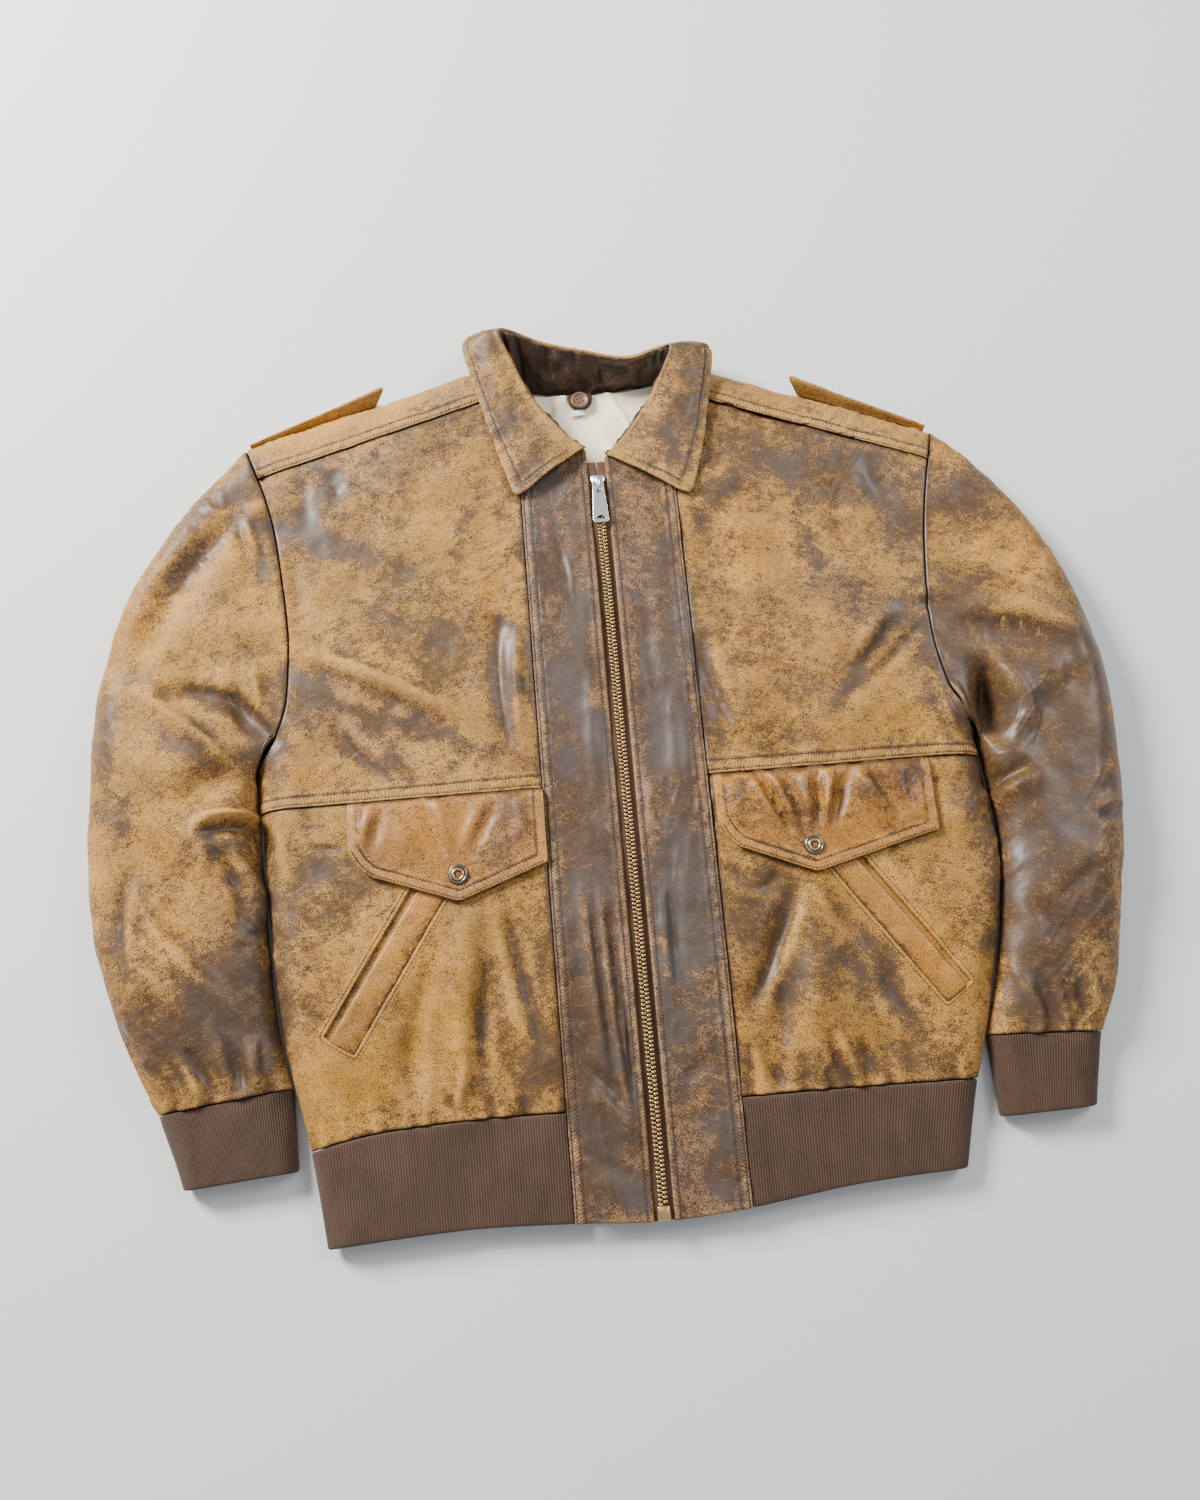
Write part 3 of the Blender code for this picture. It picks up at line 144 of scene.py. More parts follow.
# The finer creases that lie over the large ones, in the same columns.
fineCreases = (
    # right sleeve
    (-321, 304, -393, 222, 10, -2.6, 2, 0.2), (-330, 322, -405, 238, 8, 1.4, 2, 0),
    (-318, 313, -296, 316, 5, 2.2, 3, 0.3), (-315, 304, -305, 268, 4, 2, 4, 0.3),
    (-322, 298, -312, 262, 4, -1.4, 4, 0), (-414, 148, -310, 46, 6.5, 4.2, -6, 0.45),
    (-397, 143, -318, 128, 9, -3.6, -3, 0), (-340, 140, -292, 84, 9, -4.2, -4, 0.2),
    (-328, 156, -314, 90, 8, -3, 3, 0), (-310, 162, -291, 98, 4.5, 2.6, 6, 0.2),
    (-430, 100, -380, 60, 10, 1.4, 0, 0), (-360, 23, -306, 27, 6, 4.8, -4, 0.4),
    (-360, 12, -304, 18, 7, -4.4, -4, 0), (-361, 24, -352, -22, 6, 2.2, -4, 0),
    (-331, 0, -311, -70, 6, 3.6, -7, 0.3), (-342, 2, -322, -68, 6, -3, -7, 0),
    (-412, -6, -414, -105, 8, -3.4, 8, 0), (-405, -20, -404, -95, 7, 1.6, 8, 0),
    (-411, -32, -325, -136, 7.5, 3.4, 4, 0.35), (-400, -40, -318, -118, 8, -2.2, 4, 0),
    (-430, -128, -390, -200, 5.5, -3.2, 2, 0.2), (-423, -124, -382, -198, 5.5, 1.8, 2, 0),
    (-376, -158, -352, -203, 4.5, 3, 1, 0.3), (-367, -155, -344, -200, 4.5, -2.6, 1, 0),
    (-352, -135, -334, -198, 5, 2.2, -2, 0.2), (-337, -150, -326, -197, 4.5, -2.4, -1, 0),
    (-315, -150, -312, -196, 5.5, 3.2, 2, 0.2), (-326, -160, -322, -197, 4.5, -2.2, 1, 0),
    # left sleeve
    (292, 167, 418, 124, 9, 2.6, -9, -0.2), (300, 150, 400, 108, 12, -3, -8, 0),
    (300, 196, 360, 186, 9, -1.8, 0, 0), (296, 178, 318, 196, 5, 1.6, 2, 0),
    (292, 98, 306, 58, 4.2, 5, 4, 0.2), (312, 130, 352, 46, 7.5, 3.6, -12, 0.4),
    (303, 6, 344, 20, 6.5, -3.6, 2, 0), (300, -6, 352, 12, 7, 3, 3, 0.3),
    (350, 60, 410, 100, 12, -2.4, 0, 0), (388, -33, 420, -24, 4.5, -3, 0, 0.2),
    (386, -26, 420, -16, 5, 2.2, 0, 0), (372, 130, 398, 40, 10, 1.8, 4, 0),
    (344, -100, 388, -66, 8, -2.4, 0, 0), (306, -78, 336, -164, 9, 2.2, -4, 0.2),
    (300, -140, 322, -200, 5, 2.2, 0, 0), (318, -150, 332, -202, 5, -2.6, 0, 0),
    (334, -156, 340, -203, 4.5, 2.4, 1, 0.2), (350, -160, 354, -203, 4.5, -2.4, -1, 0),
    (360, -150, 368, -200, 4.5, 2, 0, 0),
    # left chest
    (207, 302, 216, 214, 11, -3.2, 4, 0), (243, 322, 283, 226, 12, -3.4, 6, 0),
    (225, 318, 245, 236, 10, 1.6, 3, 0), (252, 172, 205, 120, 11, 3.4, 6, 0.3),
    (281, 160, 208, 92, 4.5, -2.4, 2, 0), (230, 110, 180, 50, 12, 2, 0, 0),
    (74, 160, 95, 70, 8.5, -4, 3, 0.2), (86, 162, 112, 62, 10, 2.2, 3, 0),
    (270, 172, 303, 166, 5, -2, 1, 0), (268, 184, 300, 186, 5, 1.4, 1, 0),
    (130, 60, 125, 34, 6, -1.4, 0, 0), (275, 110, 290, 40, 6, 2, 2, 0),
    # right chest
    (-285, 178, -119, 91, 7.5, 3, -4, 0.45), (-282, 163, -122, 80, 8, -3, -4, 0),
    (-249, 104, -198, 46, 7.5, -2.2, 2, 0), (-240, 110, -190, 52, 8, 1.6, 2, 0),
    (-96, 198, -94, 60, 8, -4.6, 6, 0.2), (-80, 184, -83, 76, 5, 3, 4, -0.3),
    (-278, 262, -270, 180, 7, -1.6, 0, 0), (-268, 345, -262, 280, 9, -1.6, 0, 0),
    (-240, 350, -235, 300, 8, -1.2, 0, 0), (-290, 120, -262, 74, 8, 1.6, 0, 0),
    # right pocket panel
    (-119, -47, -89, -200, 8, 4, 4, 0.35), (-104, -70, -83, -190, 8, -4.2, 3, 0),
    (-128, -103, -133, -229, 7.5, -4, 2, 0.25), (-137, -60, -136, -150, 10, 2.6, 3, 0),
    (-151, -64, -197, -224, 9, -3.2, 8, 0), (-158, -64, -180, -226, 9, 2.4, 6, 0.2),
    (-146, -185, -158, -229, 5, 2.6, 0, 0), (-168, -205, -154, -229, 4, -2.2, 0, 0),
    (-116, -195, -108, -229, 4.5, 1.8, 0, 0), (-210, -190, -190, -226, 6, 1.8, 0, 0),
    (-297, 26, -278, -36, 8, 3, 3, 0.2), (-305, 30, -292, -10, 7, -1.8, 3, 0),
    (-272, -1, -236, -5, 3, -1.4, 1, 0), (-279, -130, -255, -150, 5, -1.4, 0, 0),
    (-240, -30, -232, -80, 12, -1.4, 0, 0),
    # left pocket panel
    (133, -58, 74, -182, 9, -5, -6, 0.2), (140, -74, 87, -172, 6.5, 3.4, -5, -0.4),
    (156, -62, 193, -124, 9, -3.4, 4, 0), (150, -66, 200, -160, 9, 1.8, 4, 0),
    (194, -122, 224, -206, 9, -3.6, 4, 0), (184, -120, 206, -205, 9, 2.2, 4, 0),
    (144, -100, 124, -228, 10, 2.4, 0, 0.2), (118, -120, 104, -226, 8, -2.6, 0, 0),
    (150, -186, 168, -230, 5, 3.4, 0, 0.2), (143, -188, 155, -230, 4.5, -3, 0, 0),
    (170, -190, 182, -230, 5, -2.6, 0, 0), (84, -190, 93, -230, 4.5, 2.4, 0, 0),
    (100, -205, 104, -230, 4, -2.4, 0, 0), (195, -200, 196, -230, 5, 1.8, 0, 0),
    (79, -40, 97, -70, 6, -2.4, 2, 0), (97, -70, 122, -52, 6, -2.4, 4, 0),
    (262, 10, 280, -50, 9, 2.2, 0, 0), (270, -110, 240, -150, 8, -1.4, 0, 0),
    # plackets
    (-30, -50, -17, -262, 4.2, 3.4, 3, 0.35), (-22, -60, -14, -250, 4, -3.2, 2, 0),
    (-43, -40, -34, -215, 5.5, 2.8, 2, 0), (-36, -50, -26, -240, 4, -2.6, 2, 0),
    (-55, -210, -13, -262, 6, 2.2, -3, 0.3), (-52, -196, -20, -236, 5.5, -2.2, -3, 0),
    (-60, -262, -15, -290, 6, -1.4, 0, 0), (-45, 300, -30, 180, 8, -1.4, 0, 0),
    (-20, 150, -24, 20, 6, 1.4, 2, 0), (24, -50, 22, -160, 5, 2.6, 2, 0),
    (33, -20, 30, -150, 6, -2, 2, 0), (50, 120, 44, -20, 7, 1.6, 2, 0),
    (30, 220, 34, 80, 7, -1.4, 2, 0), (20, -215, 52, -200, 5, -1.4, 0, 0),
    (16, 60, 20, -40, 4, 1.4, 0, 0),
)
softness = {
    "creaseGain": 1.5,
    "crinkle": 0.00075,
    # gain, width, length, wander, its size, seed
    "crinkleWaves": ((1, 0.011, 0.045, 0.4, 0.03, 6), (0.6, 0.006, 0.028, 0.5, 0.02, 7)),
    "uneven": ((0.0015, 0.075, 3), (0.0009, 0.022, 4), (0.0003, 0.009, 5)),  # height, size, seed
}


def curve(xs, ys, at):
    # A smooth curve through points: each stretch is a cubic whose slopes come from its neighbours.
    xs, ys = np.asarray(xs, float), np.asarray(ys, float)
    slopes = np.gradient(ys, xs)
    at = np.clip(at, xs[0], xs[-1])
    i = np.clip(np.searchsorted(xs, at, side="right") - 1, 0, len(xs) - 2)
    step = xs[i + 1] - xs[i]
    t = (at - xs[i]) / step
    rise = ys[i] * (2 * t**3 - 3 * t**2 + 1) + ys[i + 1] * (3 * t**2 - 2 * t**3)
    return rise + step * (slopes[i] * (t**3 - 2 * t**2 + t) + slopes[i + 1] * (t**3 - t**2))


def quarter(share):
    # 0 at an edge, rising as a quarter ellipse to 1.
    return np.sqrt(1 - (1 - np.clip(share, 0, 1)) ** 2)


def ease(low, high, at):
    # 0 up to low, 1 from high on, and a smooth S between.
    share = np.clip((at - low) / (high - low), 0, 1)
    return share * share * (3 - 2 * share)


def bell(at, width):
    return np.exp(-((at / width) ** 2))


def ripple(u, v, seed):
    # Smooth noise from -1 to 1: random heights on a unit lattice, eased between the four nearest.
    heights = np.random.default_rng(seed).uniform(-1, 1, (64, 64))
    u, v = np.broadcast_arrays(np.asarray(u, float), np.asarray(v, float))
    i, j = np.floor(u).astype(int), np.floor(v).astype(int)
    a, b = u - i, v - j
    a, b = a * a * (3 - 2 * a), b * b * (3 - 2 * b)
    low = heights[i % 64, j % 64] * (1 - a) + heights[(i + 1) % 64, j % 64] * a
    high = heights[i % 64, (j + 1) % 64] * (1 - a) + heights[(i + 1) % 64, (j + 1) % 64] * a
    return low * (1 - b) + high * b


def creases(table, x, y):
    # Each crease is a bell across a bowed line, and fades to nothing at both ends.
    total = np.zeros(np.broadcast(x, y).shape)
    for *lengths, lean in table:
        x0, y0, x1, y1, width, height, bend = (millimetre * value for value in lengths)
        dx, dy = x1 - x0, y1 - y0
        length = math.hypot(dx, dy)
        along = np.clip(((x - x0) * dx + (y - y0) * dy) / length**2, 0, 1)
        across = ((x - x0) * dy - (y - y0) * dx) / length - bend * 4 * along * (1 - along)
        reach = width * (1 + lean * np.tanh(across / width))
        total += height * bell(across, reach) * np.sin(math.pi * along)
    return total


def halfWidth(side, y):
    return curve(bodyForm["y"], bodyForm[side], y)


def crownAt(y):
    return curve(bodyForm["y"], bodyForm["crown"], y)


def shoulderFold(side, x):
    s = shoulder[side]
    return s["neckY"] + (x - s["neckX"]) * (s["tipY"] - s["neckY"]) / (s["tipX"] - s["neckX"])


def edgeDistance(side, x, y):
    # How far a point is in from the folded side, which ends at the underarm.
    under = shoulder[side]["underarmY"]
    gap = np.maximum(0, halfWidth(side, np.minimum(y, under)) - x)
    return np.where(y <= under, gap, np.hypot(gap, y - under))


def onSide(x, right, left):
    return np.where(x < 0, right, left)


def bodyTop(x, y):
    # The front: a crown that rolls down to the folded sides and the shoulder fold.
    x, y = np.broadcast_arrays(np.asarray(x, float), np.asarray(y, float))
    out, crown = np.abs(x), crownAt(y)
    low = bodyForm["edgeHeight"] + gaps["side"] / 2
    rolls = []
    for side, _ in sides:
        roll = quarter(edgeDistance(side, out, y) / (bodyForm["topRoll"] * crown))
        rolls.append(roll * quarter((shoulderFold(side, out) - y) / bodyForm["shoulderRoll"]))
    return low + (crown - low + creases(bodyCreases, x, y)) * onSide(x, *rolls)


def bodyUnder(x, y):
    # The back: flat on the ground, and turned up to meet the front at the edges.
    x, y = np.broadcast_arrays(np.asarray(x, float), np.asarray(y, float))
    out = np.abs(x)
    rolls = []
    for side, _ in sides:
        roll = quarter(edgeDistance(side, out, y) / bodyForm["underRoll"])
        rolls.append(roll * quarter((shoulderFold(side, out) - y) / bodyForm["underRoll"]))
    return (bodyForm["edgeHeight"] - gaps["side"] / 2) * (1 - onSide(x, *rolls))


def unevenness(x, y):
    # What lies over the form everywhere: the leather's soft unevenness and its crinkles.
    parts = (height * ripple(x / size, y / size, seed) for height, size, seed in softness["uneven"])
    return sum(parts) + crinkle(x, y)


def relief(x, y):
    return softness["creaseGain"] * creases(fineCreases, x, y) + unevenness(x, y)


def crinkle(x, y):
    # Narrow wrinkles where two noises cross zero, in patches; upright near the zip, slanted elsewhere.
    slant = np.where(np.abs(x) < bodyForm["placketSeam"], 0.12, 0.75) * np.sign(x)
    along, across = y * np.cos(slant) + x * np.sin(slant), x * np.cos(slant) - y * np.sin(slant)
    total = 0
    for gain, wide, long, wander, size, seed in softness["crinkleWaves"]:
        bent = across / wide + wander * ripple(x / size, y / size, seed + 2)
        total = total + gain * np.maximum(0, 1 - 3.2 * np.abs(ripple(bent, along / long, seed)))
    patches = ease(-0.25, 0.55, ripple(x / 0.050, y / 0.055, 10))
    return softness["crinkle"] * patches * total


def armhole(side, share):
    # The plan point this share of the way from the shoulder to the underarm.
    s = shoulder[side]
    lowX = halfWidth(side, s["underarmY"])
    x = s["tipX"] + (lowX - s["tipX"]) * share - curve(armholeCurve["share"], armholeCurve[side], share)
    return x, s["tipY"] + (s["underarmY"] - s["tipY"]) * share


def armholeOutward(side, share):
    step = 0.02
    ax, ay = armhole(side, np.maximum(0, share - step))
    bx, by = armhole(side, np.minimum(1, share + step))
    across = np.stack((ay - by, bx - ax), -1)
    return across / np.linalg.norm(across, axis=-1, keepdims=True)


def hemTop(x):
    return curve(hemLine["x"], hemLine["top"], x)


def hemBottom(x):
    return curve(hemLine["x"], hemLine["bottom"], x)


# ---- making meshes
def stops(length, cell, start=(), end=()):
    # Even steps along a length, with set distances from its start and its end put among them.
    even = np.linspace(0, length, max(2, round(length / cell)) + 1)
    extra = np.concatenate((np.array(start, float), length - np.array(end, float)))
    if len(extra):
        clear = np.abs(even[:, None] - extra[None]).min(1) > 0.45 * cell
        even = even[clear | (even == 0) | (even == length)]
    return np.unique(np.round(np.concatenate((even, extra)), 7))


def normalsOf(grid, facing, ring=False):
    # The direction straight out of a grid of points, on the side that faces the given way.
    wide = np.concatenate((grid[:, -1:], grid, grid[:, :1]), 1) if ring else grid
    alongRow, downColumn = np.gradient(wide, axis=1), np.gradient(wide, axis=0)
    normals = np.cross(alongRow, downColumn)
    normals = normals[:, 1:-1] if ring else normals
    normals /= np.maximum(np.linalg.norm(normals, axis=2, keepdims=True), 1e-12)
    turned = (normals * facing).sum() < 0
    return (-normals if turned else normals), turned


def quads(index):
    # Four-cornered faces over a grid of point numbers.
    corners = (index[:-1, :-1], index[:-1, 1:], index[1:, 1:], index[1:, :-1])
    return np.stack(corners, -1).reshape(-1, 4)


cuts = {}  # each wall's greatest width and length and its area, all round on a tube


def cutOf(grid, ring):
    # Measured on a coarse part of the grid, so that creases count and the grain doesn't.
    rows, columns = (np.unique(np.linspace(0, count - 1, 48).astype(int)) for count in grid.shape[:2])
    g = grid[np.ix_(rows, np.append(columns, 0) if ring else columns)]
    turned = np.cross(g[1:, 1:] - g[:-1, :-1], g[1:, :-1] - g[:-1, 1:])
    strips = np.linalg.norm(turned, axis=2).sum(1) / 2
    downSteps = np.linalg.norm(np.diff(g, axis=0), axis=2)
    across, down = (strips / downSteps.mean(1)).max(), downSteps.sum(0).max()
    return float(across), float(down), float(min(strips.sum(), across * down))


def shell(name, grid, thickness, facing=(0, 0, 1), ring=False, step=None, **layers):
    # A closed thin wall: the outside on every point of the grid, the inside on every few of them, moved
    # in by the thickness, and a rim of faces that joins the two. The layers are values at the points.
    rows, columns = grid.shape[:2]
    step = step or grids["insideStep"]
    cuts[name] = cutOf(grid, ring)
    normals, turned = normalsOf(grid, facing, ring)
    rowPicks = np.unique(np.append(np.arange(0, rows, step), rows - 1))
    columnPicks = np.unique(np.append(np.arange(0, columns, step), 0 if ring else columns - 1))
    picks = np.ix_(rowPicks, columnPicks)
    outer = np.arange(rows * columns).reshape(rows, columns)
    inner = rows * columns + np.arange(len(rowPicks) * len(columnPicks)).reshape(len(rowPicks), -1)
    if ring:
        outer, inner = (np.column_stack((index, index[:, 0])) for index in (outer, inner))
        columnPicks = np.append(columnPicks, columns)
    faces = quads(outer).tolist() + quads(inner)[:, [0, 3, 2, 1]].tolist()
    rims = [(outer[0], inner[0], columnPicks, True), (outer[-1], inner[-1], columnPicks, False)]
    if not ring:
        rims.append((outer[:, 0], inner[:, 0], rowPicks, False))
        rims.append((outer[:, -1], inner[:, -1], rowPicks, True))
    for edge, behind, along, backward in rims:
        for k in range(len(along) - 1):
            face = edge[along[k] : along[k + 1] + 1].tolist() + [int(behind[k + 1]), int(behind[k])]
            faces.append(face[::-1] if backward else face)
    if turned:
        faces = [face[::-1] for face in faces]

    def both(outside, inside):
        width = outside.shape[-1]
        return np.concatenate((outside.reshape(-1, width), inside[picks].reshape(-1, width)))

    obj = meshObject(name, both(grid, grid - normals * thickness), faces)
    for layer, values in layers.items():
        addLayer(obj.data, layer, both(values, values))
    return obj, normals


def meshObject(name, points, faces):
    mesh = bpy.data.meshes.new(name)
    mesh.from_pydata(np.asarray(points).tolist(), [], faces)
    mesh.validate()
    mesh.shade_smooth()
    return linked(bpy.data.objects.new(name, mesh))


def linked(obj):
    bpy.context.scene.collection.objects.link(obj)
    return obj


def addLayer(mesh, name, values):
    # tone holds how dark, hazy, golden and rubbed the finish is at each point, the dark share with painted
    # shade in seam ditches, stitch rows and deep folds added, and the hazy share also placing a painted
    # blue-grey sheen;
    # pleat how strong its ripples are and how far along the seam it is, and cut its place on the flat
    # cloth.
    if name == "cut":
        corners = np.empty(len(mesh.loops), np.int32)
        mesh.loops.foreach_get("vertex_index", corners)
        layer, key, values = mesh.uv_layers.new(name=name), "uv", values[corners]
    elif name == "tone":
        layer, key = mesh.attributes.new(name, "FLOAT_COLOR", "POINT"), "color"
    else:
        layer, key = mesh.attributes.new(name, "FLOAT_VECTOR", "POINT"), "vector"
    layer.data.foreach_set(key, values.astype(np.float32).ravel())


def moved(grid, facing, amount, ring=False):
    return grid + normalsOf(grid, facing, ring)[0] * amount[..., None]


def joined(x, y, z):
    return np.stack(np.broadcast_arrays(x, y, z), -1).astype(float)


# ---- the leather's finish
# Patches of the finish, and a few of painted shade where marked: x, y, length and width in mm, angle in
# degrees, then how dark, hazy and golden each is.
tonePatches = (
    # right chest
    (-205, 345, 75, 26, 16, 0.15, 0.75, -0.2), (-262, 297, 26, 20, 30, 0.62, 0.4, 0),
    (-225, 318, 50, 12, -30, 0.3, 0.45, 0), (-235, 270, 40, 14, -20, 0.25, 0.3, 0),
    (-120, 268, 50, 9, 82, 0.5, 0.1, 0.1), (-160, 225, 60, 20, -35, 0.28, 0.15, 0),
    (-141, 162, 40, 28, 25, 0.52, 0.1, 0), (-200, 200, 50, 12, -30, 0.22, 0.2, 0),
    (-205, 106, 92, 8, -24, 0.8, 0.1, 0), (-268, 130, 20, 18, 0, 0.4, 0.3, 0),
    (-222, 88, 30, 16, -45, 0.42, 0.6, -0.2), (-196, 66, 30, 8, -45, 0.5, 0.1, 0),
    (-92, 118, 62, 9, 90, 0.85, 0.1, 0.1), (-107, 118, 50, 8, 88, 0.3, 0.05, 0.3),
    (-272, 165, 24, 20, 0, -0.1, 0, 0.5), (-122, 207, 30, 24, 0, -0.15, 0, 0.5),
    (-250, 55, 40, 18, 0, -0.15, 0, 0.4), (-140, 300, 40, 30, 0, -0.1, 0.1, 0.4),
    # left chest
    (104, 295, 20, 12, 60, 0.75, 0.1, 0), (90, 262, 30, 8, 90, 0.45, 0.2, 0),
    (179, 240, 45, 8, 95, 0.4, 0.1, 0), (236, 289, 40, 26, -10, 0.35, 0.05, 0.3),
    (190, 315, 80, 34, -15, 0.42, 0.6, 0), (266, 246, 18, 30, 0, 0.45, 0.55, -0.2),
    (205, 190, 50, 22, -50, 0.25, 0.65, -0.2), (150, 215, 35, 20, 0, -0.2, 0, 0.4),
    (77, 100, 60, 7, 93, 0.9, 0.1, 0), (94, 110, 50, 8, 92, 0.35, 0.05, 0.3),
    (162, 137, 40, 16, -60, 0.1, 0.2, 0.2), (213, 122, 58, 8, 48, 0.62, 0.2, 0),
    (262, 165, 20, 16, 0, 0.45, 0.3, 0), (280, 120, 20, 30, 0, 0.35, 0.4, 0),
    (240, 60, 50, 16, 0, -0.1, 0, 0.5), (130, 60, 40, 16, 0, 0.15, 0.05, 0.5),
    # right sleeve
    (-389, 200, 40, 30, 60, -0.2, 0, 0.5), (-345, 318, 45, 11, 40, 0.62, 0.2, 0),
    (-306, 268, 12, 30, 0, 0.55, 0.25, 0), (-372, 270, 50, 14, 45, 0.3, 0.45, 0),
    (-440, 110, 40, 14, 90, 0.5, 0.1, 0.2), (-330, 128, 36, 14, -40, 0.72, 0.15, 0),
    (-300, 90, 16, 28, 0, 0.7, 0.25, 0), (-360, 90, 40, 10, -42, 0.45, 0.05, 0.2),
    (-429, 39, 20, 24, 0, 0.5, 0.15, 0), (-399, 10, 30, 20, 0, -0.15, 0, 0.4),
    # The first patch below is painted shade under the hook-shaped fold near the underarm.
    (-330, 10, 26, 10, 10, 0.6, 0.2, 0), (-313, -40, 34, 12, 88, 0.7, 0.35, 0),
    (-330, -108, 40, 30, 60, 0.85, 0.35, -0.3), (-362, -150, 45, 35, 0, 0.85, 0.3, -0.3),
    (-318, -160, 24, 40, 0, 0.75, 0.4, -0.3), (-408, -150, 24, 30, 60, 0.5, 0.2, 0),
    (-420, -80, 20, 30, 0, 0.35, 0.1, 0), (-380, -60, 30, 18, -40, -0.05, 0, 0.4),
    # left sleeve
    (335, 275, 40, 26, 30, 0.6, 0.4, 0), (352, 210, 30, 20, 0, -0.05, 0.1, 0.3),
    (308, 171, 26, 18, -20, 0.8, 0.2, 0), (360, 128, 60, 13, -18, 0.85, 0.15, 0),
    (320, 70, 30, 30, 80, 0.95, 0.1, -0.3), (381, 78, 50, 30, 65, 1.6, -0.05, -0.4),
    (360, 20, 40, 26, 80, 1.2, 0.05, -0.4), (345, -40, 40, 22, 70, 0.75, 0.4, -0.4),
    (330, -100, 50, 24, 70, 0.65, 0.45, -0.3), (322, -170, 24, 30, 0, 0.7, 0.5, -0.3),
    (412, 50, 50, 14, 85, 0.6, 0.15, 0.1), (405, -18, 20, 14, 0, 0.75, 0.1, 0),
    (398, -95, 50, 16, 75, -0.2, 0.6, 0), (376, -150, 30, 20, 60, -0.05, 0.6, 0),
    (300, 10, 30, 14, 80, 0.6, 0.3, 0), (352, -60, 90, 30, 78, 0.55, 0.05, -0.4),
    (352, -50, 150, 50, 80, 0.5, 0.15, -0.3), (392, -10, 60, 12, 78, 0, 0.5, -0.2),
    # The last two patches are painted shade in the deep hollow of the fold by the underarm, not the
    # finish's colour.
    (318, 92, 36, 10, 112, 1.6, -0.4, -0.8), (322, 62, 30, 10, 85, 1.6, -0.4, -0.8),
    # plackets
    (-49, 250, 70, 20, 88, 0.25, 0.7, -0.3), (-30, 110, 110, 12, 88, 0.65, 0.4, -0.3),
    (-56, 120, 60, 10, 88, 0.25, 0.1, 0.7), (-30, 10, 90, 16, 92, 0.65, 0.75, -0.4),
    (-54, -40, 50, 8, 88, 0.3, 0.1, 0.6), (-22, -200, 80, 10, 92, 0.35, 0.1, 0.4),
    (-48, -190, 80, 18, 90, 1.1, -0.4, 0), (-55, -270, 30, 14, 90, 0.1, 0.05, 0.7),
    (-30, -290, 30, 16, 0, 0.6, 0.2, 0.1), (36, 225, 60, 16, 92, -0.12, 0.2, 0.4),
    (52, 170, 100, 8, 90, 0.6, 0.1, 0.4), (26, 130, 60, 10, 92, 0.7, 0.6, -0.3),
    (46, 40, 70, 14, 88, 0.6, 0.8, -0.4), (24, -20, 60, 8, 90, 0.25, 0.1, 0.7),
    (40, -80, 50, 18, 90, 0.75, 0.65, -0.3), (46, -215, 70, 18, 92, 0.15, 0.05, 0.9),
    (22, -150, 60, 8, 90, 0.7, 0.2, 0.2), (52, -275, 30, 12, 90, 0.6, 0.2, 0.1),
    # pocket panels
    (-272, -54, 30, 45, 0, 0.42, 0.15, 0), (-240, -20, 40, 16, 0, 0.35, 0.1, 0.1),
    (-239, -192, 45, 30, 20, -0.12, 0.05, 0.6), (-165, -150, 24, 60, 0, -0.3, 0, 0.4),
    (-112, -110, 60, 10, 78, 0.3, 0.05, 0.3), (-86, -130, 70, 10, 88, 0.5, 0.05, 0.1),
    (-92, -205, 30, 18, 60, 0.6, 0.1, 0), (-138, -215, 24, 14, 0, 0.35, 0.1, 0.1),
    (-180, -90, 50, 12, -55, 0.25, 0.1, 0.1), (102, -85, 45, 20, 65, 0.62, 0.15, 0),
    (124, -140, 30, 20, 60, 0.5, 0.15, 0), (198, -150, 50, 24, -60, 0.5, 0.3, 0),
    (160, -110, 16, 40, 0, 0, 0.05, 0.5), (250, -148, 30, 30, 0, -0.2, 0, 0.5),
    (266, -60, 30, 40, 0, -0.05, 0.1, 0.3), (157, -218, 60, 14, 0, 0.45, 0.1, 0.1),
    (100, -200, 30, 20, 0, 0.1, 0.05, 0.6),
    # yokes, and the collar's two leaves
    (-130, 412, 30, 30, 0, 0.25, 0.5, -0.1), (-250, 385, 50, 24, 16, -0.1, 0, 0.4),
    (130, 400, 30, 26, 0, 0.3, 0.3, 0.2), (240, 360, 60, 20, -22, 0.2, 0.15, 0.4),
    (-83, 372, 22, 20, 70, 0.7, 0.1, 0), (-62, 330, 30, 14, 50, 0.25, 0.05, 0.3),
    (-78, 450, 26, 14, 0, 0.45, 0.1, 0.2), (88, 385, 26, 16, 80, 0.55, 0.3, 0),
    (70, 330, 30, 16, -50, 0.35, 0.4, 0), (82, 436, 22, 14, 0, 0.6, 0.25, 0),
    # flaps
    (-170, 10, 50, 16, 0, 0.05, 0, 0.6), (-100, 4, 30, 22, 30, 0.45, 0.3, 0),
    (140, 0, 20, 28, 0, 0.3, 0.05, 0.7), (200, 5, 30, 18, 0, 0.4, 0.05, 0.7),
    (240, 14, 10, 20, 0, 0.65, 0.15, 0), (94, 4, 12, 26, 20, 0.3, 0.05, 0.6),
)
hollows = {"reach": 4, "dark": 250, "light": 230, "edgePale": 0.45, "edgeRub": 0.75}
baseTones = {  # dark, hazy, golden and rubbed, before the patches
    "panel": (0.42, 0.12, 0.42, 0.10),
    "sleeve": (0.43, 0.05, 0.50, 0.09),
    "lower": (0.44, 0.05, 0.54, 0.12),
    # The plackets' high haze also carries the painted blue-grey sheen.
    "placket": (0.62, 0.72, 0.08, 0.14),
    "yoke": (0.20, 0.16, 0.34, 0.30),
    "collar": (0.50, 0.22, 0.34, 0.12),
    "flapRight": (0.36, 0.10, 0.70, 0.10),
    "flapLeft": (0.34, 0.00, 1.00, 0.05),
    "welt": (0.20, 0.04, 0.80, 0.20),
    "strap": (0.16, 0.10, 0.44, 0.30),
    "back": (0.36, 0.20, 0.40, 0.06),
    "stand": (0.85, 0.30, 0.00, 0.00),
}


